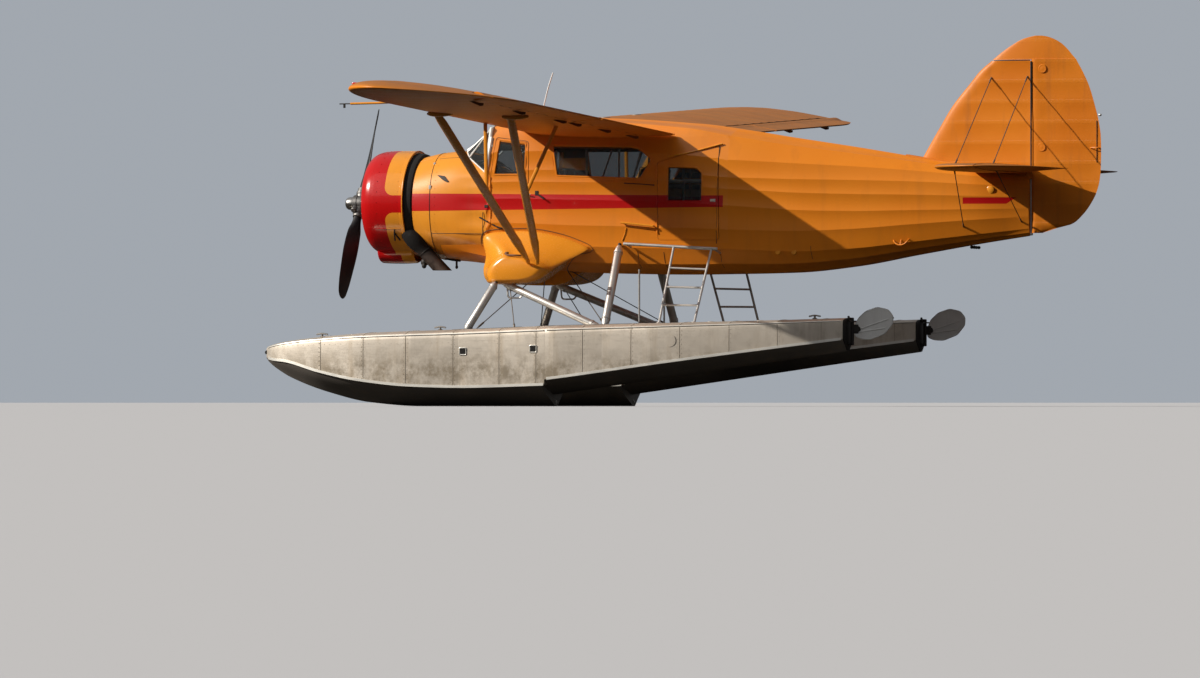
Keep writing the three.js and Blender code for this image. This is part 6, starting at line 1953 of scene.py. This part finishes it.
def make_water_rudders():
    """A flat blade with a bead near its edge and two ribs on each side, on a post with a tiller."""
    paddle = rounded([(-2.20, 0.94), (-2.215, 0.85), (-2.30, 0.815), (-2.42, 0.81), (-2.60, 0.88),
                      (-2.70, 1.0), (-2.705, 1.10), (-2.64, 1.18), (-2.50, 1.21), (-2.35, 1.16),
                      (-2.25, 1.07)], 0.03, 3)
    flat, faces = filled(paddle, (), 0.06)
    plate = shell(flat, faces, lambda f: np.insert(f, 1, FLOAT_Y + 0.006, axis=1),
                  lambda f: np.insert(f, 1, FLOAT_Y - 0.006, axis=1))
    edge = densified(paddle)
    bead = np.column_stack([edge[:, 0] * 0.975 - 2.45 * 0.025, np.full(len(edge), FLOAT_Y),
                            1.01 + (edge[:, 1] - 1.01) * 0.94])
    stiff = [swept(bead, circle(6) * [0.0095, 0.0065], up=PORT, along=True)]
    for (x0, z0), (x1, z1) in (((-2.24, 0.93), (-2.64, 1.06)), ((-2.24, 0.90), (-2.60, 0.95))):
        stiff += [bar((x0, y, z0), (x1, y, z1), 0.007, 8, 5) for y in (FLOAT_Y + 0.006, FLOAT_Y - 0.006)]
    finish_pair("water_rudder_blade", merged(plate, *stiff), "bare_aluminium", RUDDER_GREY,
                ["water_rudder"], "{side}_water_rudder")
    post = tube([(-2.18, FLOAT_Y, z) for z in (0.742, 0.80, 0.90, 1.0, 1.05, 1.079)], 0.0215, 14)
    arm = block((-2.262, FLOAT_Y - 0.014, 0.885), (-2.172, FLOAT_Y + 0.014, 0.995), 0.006)
    tiller = tube([(-2.19, FLOAT_Y - 0.14, 1.035), (-2.182, FLOAT_Y, 1.035),
                   (-2.19, FLOAT_Y + 0.14, 1.035)], 0.009, 8)
    pivot = turned([(0.0, -0.02), (0.034, -0.02), (0.034, 0.02), (0.0, 0.02)], 18, (-2.255, FLOAT_Y, 0.94),
                   axis=1)
    finish_pair("water_rudder_post", merged(post, arm, tiller, pivot), "bare_aluminium", DARK_STEEL,
                ["water_rudder"], "{side}_water_rudder")


def make_floats():
    """Each float's two shells, and its strips, seams, openings, fillers, cleats and stern."""
    upper, bottom = float_shells()
    strips, keels = float_strips()
    studs, bands = float_seams()
    holes, frames = float_openings()
    bumper = merged(tube([(5.395, FLOAT_Y + d, 0.665) for d in (-0.105, -0.06, 0, 0.06, 0.105)],
                         0.026, 16),
                    tube([(5.390, FLOAT_Y, 0.665), (5.389, FLOAT_Y, 0.62), (5.385, FLOAT_Y, 0.57)], 0.020))
    patch = turned([(0.0, -0.003), (0.075, -0.003), (0.075, 0.002), (0.0, 0.003)], 28,
                   (0.02, FLOAT_Y + 0.4315, 0.80), axis=1)
    lug = turned([(0.0, -0.008), (0.040, -0.008), (0.040, 0.008), (0.0, 0.008)], 20,
                 (1.665, FLOAT_Y, 0.045), axis=1)
    cleats = [cleat(x, FLOAT_Y, z) for x, z in ((4.70, 0.856), (3.15, 0.937), (-1.70, 1.065))]
    fillers = [turned([(0.0, -0.01), (0.045, -0.01), (0.045, 0.005), (0.034, 0.011), (0.0, 0.012)], 24,
                      (x, FLOAT_Y + 0.16, curve(FLOAT_AFT[:, 0], FLOAT_AFT[:, 4], x) + 0.016), axis=2)
               for x in (0.25, -0.42, -1.05)]
    mount = [block((-2.165, FLOAT_Y - 0.05, z), (-2.128, FLOAT_Y + 0.05, z + 0.035), 0.006)
             for z in (0.745, 1.045)]
    mount.append(tube([(-2.135, FLOAT_Y, 1.06), (-2.135, FLOAT_Y, 1.075), (-2.13, FLOAT_Y, 1.10)],
                      0.014, 10))
    finish_pair("float_upper", upper, "bare_aluminium", FLOAT_SKIN, ["float"], angle=30)
    finish_pair("float_bottom", bottom, "bare_aluminium", FLOAT_BOTTOM, ["float"], angle=30)
    finish_pair("float_bumper", bumper, "bare_aluminium", RUBBER_AND_GAP_SHADE, ["float"])
    for name, shape, finish in (("strips", merged(strips, *fillers, *frames), BRIGHT_STRIP),
                                ("cleats", merged(*cleats), HUB_STEEL), ("patch", patch, FLOAT_SKIN),
                                ("keels", keels, FLOAT_BOTTOM), ("rivets", studs, FLOAT_SKIN),
                                ("seams", bands, SEAM_GREY), ("openings", holes, DARK_GAP),
                                ("treads", float_treads(), TREAD), ("lug", lug, BRIGHT_STRIP),
                                ("stern", merged(stern_plate(), *mount), DARK_STEEL)):
        finish_pair("float_" + name, shape, "bare_aluminium", finish)


# Foot, top and radius
FLOAT_STRUTS = {
    "front": ((2.845, 1.44, 0.90), (2.531, 1.126, 1.55), 0.048),
    "rear": ((1.045, 1.40, 0.93), (1.092, 0.64, 2.02), 0.050),
    "diagonal": ((1.07, 1.25, 0.93), (2.56, 0.98, 1.545), 0.046)}


def make_float_struts():
    """Round tubes, narrow at both ends, with two collars, a fork at each end and a pin."""
    for name, (foot, top, radius) in FLOAT_STRUTS.items():
        size = np.array([0.5, 0.72, 1, 1, 1, 0.72, 0.5]) * radius
        main = swept(between(foot, top, (0.045, 0.06, 0.10, 0.5, 0.90, 0.94, 0.955)), circle(28), size)
        collars = [swept(between(foot, top, (c - 0.012, c - 0.009, c + 0.009, c + 0.012)), circle(28),
                         radius + np.array([0.0, 0.006, 0.006, 0.0])) for c in (0.13, 0.88)]
        finish_pair(name + "_float_strut_skin", merged(main, *collars), "silver_tube", SILVER,
                    [name + "_float_strut"])
        ends = [tube(between(end, other, (0.015, 0.04, 0.07)), 0.024)
                for end, other in ((foot, top), (top, foot))]
        ends.append(turned([(0.0, -0.045), (0.016, -0.045), (0.016, 0.045), (0.0, 0.045)], 12,
                           between(foot, top, [0.03])[0], axis=1))
        if name != "diagonal":
            ends.append(turned([(0.0, -0.02), (0.075, -0.02), (0.075, -0.008), (0.05, 0.004),
                                (0.0, 0.01)], 20, (foot[0], foot[1], foot[2] + 0.03), axis=2))
        finish_pair(name + "_float_strut_ends", merged(*ends), "silver_tube", DARK_STEEL)


def make_ladders():
    """A rail on two brackets, and two legs with rungs from it to the float's deck. The starboard
    ladder stands further forward."""
    rail = tube([(0.98, 0.85, 2.0), (0.37, 0.85, 1.965), (-0.24, 0.85, 1.93)], 0.020, 14)
    brackets = [tube([(0.95, 0.86, 1.998), (0.95, 0.76, 1.982), (0.95, 0.645, 1.961)], 0.015, 10),
                tube([(-0.20, 0.86, 1.932), (-0.20, 0.74, 1.908), (-0.20, 0.615, 1.883)], 0.015, 10)]
    for (side, sign), shift in zip(SIDES, (0.0, 0.18)):
        one = np.array([(0.324 + shift, 0.85, 1.962), (0.283 + shift, 1.56, 0.985)])
        two = np.array([(-0.163 + shift, 0.85, 1.932), (-0.17 + shift, 1.56, 0.99)])
        legs = [tube(between(*leg, np.linspace(0.01, 0.985, 8)), 0.015) for leg in (one, two)]
        rungs = [bar(lerp(*one, s), lerp(*two, s), 0.013, 12, 5, 0.02) for s in (0.27, 0.51, 0.74)]
        feet = [turned([(0.0, -0.015), (0.030, -0.015), (0.030, -0.004), (0.018, 0.012), (0.0, 0.012)], 16,
                       leg[1] + 0.035 * ABOVE, axis=2) for leg in (one, two)]
        finish_piece(side + "_ladder_tubes", mirrored(merged(rail, *brackets, *legs, *rungs, *feet), sign),
                     "airframe", "silver_tube", SILVER, (side + "_ladder",))


def make_float_rigging():
    """A step below the stub with an upright rod, wires with turnbuckles, and the spreader bars."""
    step = bent([(2.44, 1.005, 1.50), (2.43, 1.01, 1.36), (2.40, 1.01, 1.335), (2.28, 1.01, 1.335),
                 (2.25, 1.01, 1.36), (2.21, 1.01, 1.43)])
    rod = tube([(0.90, 0.48, 1.69), (0.90, 0.48, 1.25), (0.90, 0.48, 0.80)], 0.012, 10)
    finish_pair("boarding_step", merged(tube(step, 0.011, 10), rod), "silver_tube", SILVER)
    wires = []
    for a, b in (((2.775, 1.20, 0.955), (2.30, 0.02, 1.70)), ((1.09, 1.25, 1.0), (2.01, 0.02, 1.70)),
                 ((2.20, 1.42, 0.955), (2.42, 0.98, 1.52))):
        wires.append(bar(a, b, 0.006))
        wires.append(tube(between(a, b, (0.02, 0.035, 0.10, 0.115)), [0.007, 0.012, 0.012, 0.007], 8))
    finish_pair("float_wires", merged(*wires), "silver_tube", STEEL_WIRE)
    for name, x in (("front", 2.98), ("rear", 0.90)):
        across = np.linspace(-1.028, 1.028, 25)
        spreader = swept(np.column_stack([np.full(25, x), across, np.full(25, 0.78)]),
                         circle(24, 0.042))
        rings = [swept([(x, s * y, 0.78) for y in (0.965, 0.972, 1.004, 1.012)], circle(24),
                       [0.043, 0.052, 0.052, 0.043]) for s in (1, -1)]
        finish_piece(name + "_spreader_skin", merged(spreader, *rings), "airframe", "silver_tube", SILVER,
                     (name + "_spreader_bar",))


make_stub()
make_floats()
make_water_rudders()
make_float_struts()
make_ladders()
make_float_rigging()


# Windscreen and cabin

DIAL_PITCH = 0.135
SCREEN = {name: np.array(corner) for name, corner in (
    ("foot_middle", (3.315, 0, 3.172)), ("foot", (3.205, 0.30, 3.140)), ("bend", (3.12, 0.47, 3.07)),
    ("side", (2.85, 0.632, 2.88)), ("post", (2.778, 0.60, 3.44)), ("roof", (2.768, 0.33, 3.52)),
    ("roof_middle", (2.766, 0, 3.535)))}


def screen_pane(*corners):
    """A flat pane 6 mm thick between four corners, of which the last two may be the same."""
    a, b, c, d = [SCREEN[name] for name in corners]
    u, v = np.linspace(0, 1, 7)[:, None, None], np.linspace(0, 1, 7)[:, None]
    top = lerp(lerp(a, b, v), lerp(d, c, v), u)
    normal = np.cross(b - a, d - a)
    normal = normal / np.linalg.norm(normal)
    normal = normal if normal[0] + abs(normal[1]) > 0 else -normal
    bottom = top - 0.006 * normal
    number, quads = square_mesh(7)
    edge = np.concatenate([number[0, :-1], number[:-1, -1], number[-1, :0:-1], number[:0:-1, 0]])
    walls = np.stack([edge, np.roll(edge, -1), np.roll(edge, -1) + 49, edge + 49], -1)
    return (np.concatenate([top.reshape(-1, 3), bottom.reshape(-1, 3)]),
            [quads, quads[:, ::-1] + 49, walls])


def screen_tube(a, b, radius, lift=0.012, sides=10, steps=8, past=0.0):
    """A tube between two corners, lifted off the glass forwards, outwards and up."""
    a, b = [SCREEN[name] + lift * np.array([0.4, 0.3 * np.sign(SCREEN[name][1]), 0.9]) for name in (a, b)]
    return bar(a, b, radius, sides, steps, past)


def make_windscreen():
    """Flat panes between the corners, and tubes along the folds and round the edge."""
    panes = merged(screen_pane("foot_middle", "foot", "roof", "roof_middle"),
                   screen_pane("foot", "bend", "post", "roof"),
                   screen_pane("bend", "side", "post", "post"))
    finish_piece("windscreen_panes", merged(panes, mirrored(panes, -1)), "airframe", "window_glass", GLASS,
                 ("windscreen_glass",), weld=False)
    folds = [screen_tube(*fold) for fold in (("foot", "roof", 0.012), ("side", "post", 0.026),
                                             ("bend", "post", 0.011))]
    edges = [screen_tube(a, b, 0.010, 0.004, 8, 6, 0.02)
             for a, b in (("foot_middle", "foot"), ("foot", "bend"), ("bend", "side"), ("post", "roof"),
                          ("roof", "roof_middle"))]
    tubes = merged(*folds, *edges)
    middle = screen_tube("foot_middle", "roof_middle", 0.012)
    finish_piece("windscreen_tubes", merged(tubes, mirrored(tubes, -1), middle), "airframe",
                 "bare_aluminium", WHITE_TUBE, ("windscreen_frame",))


def make_cabin_frame():
    """The welded tubes inside the windows, the bulkhead at the back and the lining of the roof."""
    y = 0.575
    frames = merged(*[bar(a, b, r, 10) for a, b, r in (
        ((1.95, y, 2.03), (1.95, y, 3.30), 0.014), ((1.13, y, 2.03), (1.13, y, 3.32), 0.014),
        ((0.68, y, 2.03), (0.68, y, 3.32), 0.013), ((1.36, y, 2.78), (1.17, y, 3.30), 0.012),
        ((0.80, y, 3.30), (0.95, y, 2.78), 0.012), ((2.80, 0.50, 3.133), (2.505, 0.50, 3.33), 0.013),
        ((2.74, y, 3.34), (-0.24, y - 0.09, 3.22), 0.014),
        ((2.85, y, 2.78), (-0.24, y - 0.02, 2.78), 0.013),
        ((-0.24, y - 0.09, 2.05), (-0.24, y - 0.09, 3.22), 0.014))])
    cross = [tube([(x, -w, z), (x, 0, z), (x, w, z)], 0.013, 10)
             for x, z, w in ((1.95, 3.34, y), (1.13, 3.34, y), (0.68, 3.34, y), (2.76, 3.36, y),
                             (-0.24, 3.20, 0.48))]
    finish_piece("cabin_tubes", merged(frames, mirrored(frames, -1), *cross), "airframe", "silver_tube",
                 WHITE_TUBE)
    low = angle_at(-0.24, 2.02)
    ring = hull(-0.24, np.linspace(low, np.pi - low, 41), 0.06, 0.0)
    finish_piece("cabin_bulkhead", grid(np.stack([ring, ring + 0.012 * AHEAD])), "airframe",
                 "seat_leather", CABIN_LINING)
    x = spaced(-0.22, 2.70, 0.1)[:, None]
    low = angle_at(x, 3.20)
    arc = lerp(low, np.pi - low, np.linspace(0, 1, 31))
    cloth = np.concatenate([hull(x, arc, 0.055, 0.0), hull(x, arc[:, ::-1], 0.062, 0.0)], 1)
    cloth[..., 0] = np.minimum(cloth[..., 0], 2.72 - 0.12 * np.clip(cloth[..., 2] - SHOULDER_Z, -1, 1))
    finish_piece("cabin_headlining", grid(cloth), "airframe", "seat_leather", CABIN_LINING)


def make_instrument_panel():
    """A board with an eyebrow above it and three rows of dials, the upper ones with needles."""
    outline = rounded([(-0.57, 2.48), (0.57, 2.48), (0.57, 2.86), (0.42, 3.0), (-0.42, 3.0),
                       (-0.57, 2.86)], 0.05)
    flat, faces = filled(densified(outline, 0.08), (), 0.1)
    board = shell(flat, faces, lambda f: np.insert(f, 0, 3.082, axis=1),
                  lambda f: np.insert(f, 0, 3.108, axis=1))
    brow = swept([(3.05, -0.47, 2.995), (3.05, -0.3, 3.035), (3.05, 0, 3.045), (3.05, 0.3, 3.035),
                  (3.05, 0.47, 2.995)],
                 np.array([(0.012, -0.06), (0.012, 0.06), (-0.004, 0.06), (-0.004, -0.06)]), up=ABOVE)
    finish_piece("panel_board", merged(board, brow), "airframe", "panel_black", PANEL_BLACK,
                 ("instrument_panel",))
    dials, bezels = [], []
    for z, count, r in ((2.88, 7, 0.048), (2.73, 6, 0.048), (2.60, 5, 0.034)):
        for i in range(count):
            centre = (0, (i - (count - 1) / 2) * DIAL_PITCH, z)
            dials.append(turned([(0.0, 3.079), (r * 0.88, 3.079), (r * 0.9, 3.081), (0.0, 3.083)], 24,
                                centre))
            bezels.append(turned([(r * 0.88, 3.076), (r, 3.075), (r * 1.04, 3.079), (r * 1.04, 3.084),
                                  (r * 0.88, 3.084)], 24, centre, along=True))
    for i in range(7):
        y = (i - 3) * DIAL_PITCH
        bezels.append(tube([(3.0775, y, 2.88), (3.0775, y + 0.028 * np.cos(i * 1.3),
                                                2.88 + 0.028 * np.sin(i * 1.3))], 0.0025, 5))
    finish_piece("panel_dials", merged(*dials), "airframe", "panel_black", DIAL_FACE)
    finish_piece("panel_bezels", merged(*bezels), "airframe", "panel_black", DULL_ALUMINIUM)


def make_control_wheels():
    """Two columns with spoked wheels, open at the top."""
    parts = []
    for y in (0.305, -0.305):
        column = bent([(2.98, y * 0.25, 2.06), (2.96, y * 0.6, 2.40), (2.93, y, 2.66)], 0.05)
        a = np.radians(np.linspace(-230, 50, 33))
        wheel = np.column_stack([np.full(33, 2.885), y + 0.15 * np.cos(a), 2.68 + 0.13 * np.sin(a)])
        spokes = [tube([(2.885, y, 2.67), (2.885, y + 0.075 * np.cos(b), 2.67 + 0.07 * np.sin(b)),
                        (2.885, y + 0.15 * np.cos(b), 2.68 + 0.13 * np.sin(b))], 0.010, 8)
                  for b in np.radians((-90, 20, 160))]
        hub = turned([(0.0, 2.87), (0.03, 2.87), (0.032, 2.90), (0.02, 2.935), (0.0, 2.94)], 18,
                     (0, y, 2.67))
        parts += [tube(column, 0.018), tube(wheel, 0.013, 10), *spokes, hub]
    finish_piece("control_wheels", merged(*parts), "airframe", "panel_black", PANEL_BLACK)


def cushion_shape(low, high, lean, squash=0.10):
    """A crowned block: each point of a fine grid box is pulled in towards the edges by a
    product of cosines, so the faces bulge and the sides pull in between the corners."""
    low, high = np.array(low, float), np.array(high, float)
    u, v = np.meshgrid(np.linspace(-1, 1, 9), np.linspace(-1, 1, 9), indexing="ij")
    points = np.stack([np.roll(np.stack([np.full((9, 9), side), u, v], -1), axis, -1)
                       for axis in range(3) for side in (-1, 1)])
    away = np.cos(points * np.pi / 2 * 0.98)
    crown = 1 + squash * np.stack([away[..., 1] * away[..., 2], away[..., 0] * away[..., 2],
                                   away[..., 0] * away[..., 1]], -1)
    soft = points * (1 - 0.10 * np.roll(points ** 4, 1, -1) * np.roll(points ** 4, 2, -1)) * crown
    placed = (low + high) / 2 + soft * (high - low) / 2 / (1 + squash * 0.6)
    placed[..., 0] += lean * (placed[..., 2] - low[2])
    return placed.reshape(-1, 3), [square_mesh(9)[1] + i * 81 for i in range(6)]


def settled(piece):
    """The mesh that the modifiers make of a piece, and its points."""
    made = bpy.data.meshes.new_from_object(piece.evaluated_get(bpy.context.evaluated_depsgraph_get()))
    points = np.empty(len(made.vertices) * 3)
    made.vertices.foreach_get("co", points)
    return made, points.reshape(-1, 3)


def inflate(piece, voxel, cap=0.008):
    """Cloth under pressure without gravity for 20 frames; no point may move more than the cap."""
    scene = bpy.context.scene
    remesh = piece.modifiers.new("voxels", "REMESH")
    remesh.mode, remesh.voxel_size = "VOXEL", voxel
    start, before = settled(piece)
    piece.modifiers.clear()
    piece.data = start
    cloth = piece.modifiers.new("cloth", "CLOTH")
    cloth.settings.use_pressure = True
    cloth.settings.uniform_pressure_force = 4.0
    cloth.settings.effector_weights.gravity = 0.0
    cloth.settings.quality = 5
    cloth.point_cache.frame_start, cloth.point_cache.frame_end = 1, 20
    for frame_number in range(1, 21):
        scene.frame_set(frame_number)
    swollen, after = settled(piece)
    piece.modifiers.clear()
    move = after - before
    length = np.linalg.norm(move, axis=1, keepdims=True)
    move *= np.minimum(1, cap / np.maximum(length, 1e-9))
    swollen.vertices.foreach_set("co", (before + move).ravel())
    swollen.update()
    piece.data = swollen
    scene.frame_set(1)


def make_pad(name, node_name, low, high, lean):
    """A cushion or back as cloth, with piping round the seams of its two wide faces."""
    piece = finish_piece(name, cushion_shape(low, high, lean), "airframe", "seat_leather", SEAT_COVER,
                         (node_name,), angle=60)
    inflate(piece, 0.010 if node_name == "rear_bench" else 0.008)
    smooth = piece.modifiers.new("smooth", "SUBSURF")
    smooth.levels = smooth.render_levels = 1
    shade(piece, SEAT_COVER)
    (x0, y0, z0), (x1, y1, z1) = low, high
    if lean:
        corners = [(y0, z0), (y1, z0), (y1, z1), (y0, z1)]
    else:
        corners = [(x0, y0), (x1, y0), (x1, y1), (x0, y1)]
    loop = densified(offset(rounded(corners, 0.03), -0.006))
    if lean:
        seams = [np.column_stack([x + lean * (loop[:, 1] - z0), loop]) for x in (x0 + 0.014, x1 - 0.014)]
    else:
        seams = [np.insert(loop, 2, z, axis=1) for z in (z0 + 0.018, z1 - 0.018)]
    piping = [swept(path, circle(6, 0.0055), along=True) for path in seams]
    finish_piece(name + "_piping", merged(*piping), "airframe", "seat_leather", SEAT_COVER)


def make_seats():
    """Each seat: a cushion, a leaning back, and a frame of two bent tubes, two rear legs and three
    cross tubes."""
    for name, x, y0, y1 in (("pilot_seat", 2.15, 0.10, 0.51), ("copilot_seat", 2.15, -0.51, -0.10),
                            ("rear_bench", 0.90, -0.51, 0.51)):
        make_pad(name + "_cushion", name, (x + 0.035, y0 + 0.02, 2.315),
                 (x + 0.455, y1 - 0.02, 2.425), 0.0)
        make_pad(name + "_back", name, (x - 0.02, y0 + 0.02, 2.43),
                 (x + 0.07, y1 - 0.02, 2.955), -0.13)
        tubes = []
        for y in (y0 + 0.03, y1 - 0.03):
            rail = bent([(x + 0.44, y, 2.02), (x + 0.44, y, 2.25), (x + 0.40, y, 2.295),
                         (x + 0.04, y, 2.295), (x - 0.005, y, 2.36), (x - 0.075, y, 2.93)], 0.04)
            leg = [(x + 0.04, y, 2.295), (x + 0.03, y, 2.15), (x + 0.02, y, 2.02)]
            tubes += [tube(rail, 0.012, 10), tube(leg, 0.012, 10)]
        for at, z in ((x + 0.40, 2.295), (x + 0.04, 2.295), (x - 0.07, 2.90)):
            tubes.append(tube([(at, y, z) for y in (y0 + 0.03, (y0 + y1) / 2, y1 - 0.03)], 0.011, 10))
        finish_piece(name + "_frame", merged(*tubes), "airframe", "seat_leather", DULL_ALUMINIUM)


make_windscreen()
make_cabin_frame()
make_instrument_panel()
make_control_wheels()
make_seats()


# Stage, light and camera

def make_floor():
    """A wide plain floor: a disc whose rings widen outwards. It looks pale, but throws little
    light back up, as dark ground below an aircraft does."""
    made, tree, shader = material("studio floor", Roughness=1.0, Specular_IOR_Level=0.0)
    seen = node(tree, "LightPath").outputs["Is Camera Ray"]
    tree.links.new(blend_colours(tree, seen, (0.035, 0.032, 0.028, 1), (0.50, 0.51, 0.53, 1)),
                   shader.inputs["Base Color"])
    radius = np.concatenate([[0.5], np.geomspace(6, 1500, 24)])
    ring = circle(96)
    points = np.stack([radius[:, None] * ring[:, 0], radius[:, None] * ring[:, 1],
                       np.zeros((25, 96))], -1)
    shape, faces = grid(points, caps=False)
    mesh = bpy.data.meshes.new("studio_floor")
    mesh.from_pydata(shape.tolist(), [], faces[0].tolist() + [list(range(96))])
    mesh.materials.append(made)
    floor = bpy.data.objects.new("studio_floor", mesh)
    bpy.context.scene.collection.objects.link(floor)
    floor.location = (0, 0, -0.003)


def make_light(name, towards, strength, size, colour):
    """A distant lamp that shines from the given direction, its softness as an angle."""
    lamp = bpy.data.lights.new(name, "SUN")
    lamp.energy, lamp.angle, lamp.color = strength, np.radians(size), colour
    made = bpy.data.objects.new(name, lamp)
    bpy.context.scene.collection.objects.link(made)
    made.rotation_euler = Vector(towards).to_track_quat("Z", "Y").to_euler()


def make_world():
    """A grey sky, brighter above, that the camera sees as an even pale blue."""
    world = bpy.context.scene.world or bpy.data.worlds.new("studio")
    bpy.context.scene.world = world
    world.use_nodes = True
    tree = world.node_tree
    seen = node(tree, "LightPath").outputs["Is Camera Ray"]
    rise = node(tree, "SeparateXYZ", {0: node(tree, "TexCoord").outputs["Generated"]}).outputs[2]
    glow = blend_colours(tree, remap(tree, rise, 0.0, 0.9), (0.15, 0.15, 0.155, 1), (0.30, 0.30, 0.31, 1))
    sky = blend_colours(tree, seen, glow, (0.36, 0.39, 0.43, 1))
    tree.links.new(sky, tree.nodes["Background"].inputs["Color"])
    bpy.context.scene.view_settings.view_transform = "Standard"


def make_camera():
    """A long lens far away, 19 degrees behind abeam to port and a little below the target."""
    camera = bpy.data.objects.new("camera", bpy.data.cameras.new("camera"))
    bpy.context.scene.collection.objects.link(camera)
    away, up = np.radians(19), np.radians(-0.3)
    towards = Vector((-np.sin(away) * np.cos(up), np.cos(away) * np.cos(up), np.sin(up)))
    target, distance = Vector((1.307, 0, 0.832)), 150
    camera.location = target + distance * towards
    camera.rotation_euler = towards.to_track_quat("Z", "Y").to_euler()
    camera.data.sensor_width = 36
    camera.data.lens = 363.15
    camera.data.clip_start, camera.data.clip_end = 1, 4000
    bpy.context.scene.camera = camera


make_floor()
make_light("key", (1.575, 1.0, 1.08), 4.75, 0.7, (1.0, 0.93, 0.84))
make_light("fill", (0.9, 1.6, 1.5), 0.36, 50, (1.0, 0.96, 0.92))
make_world()
make_camera()
bpy.context.view_layer.update()
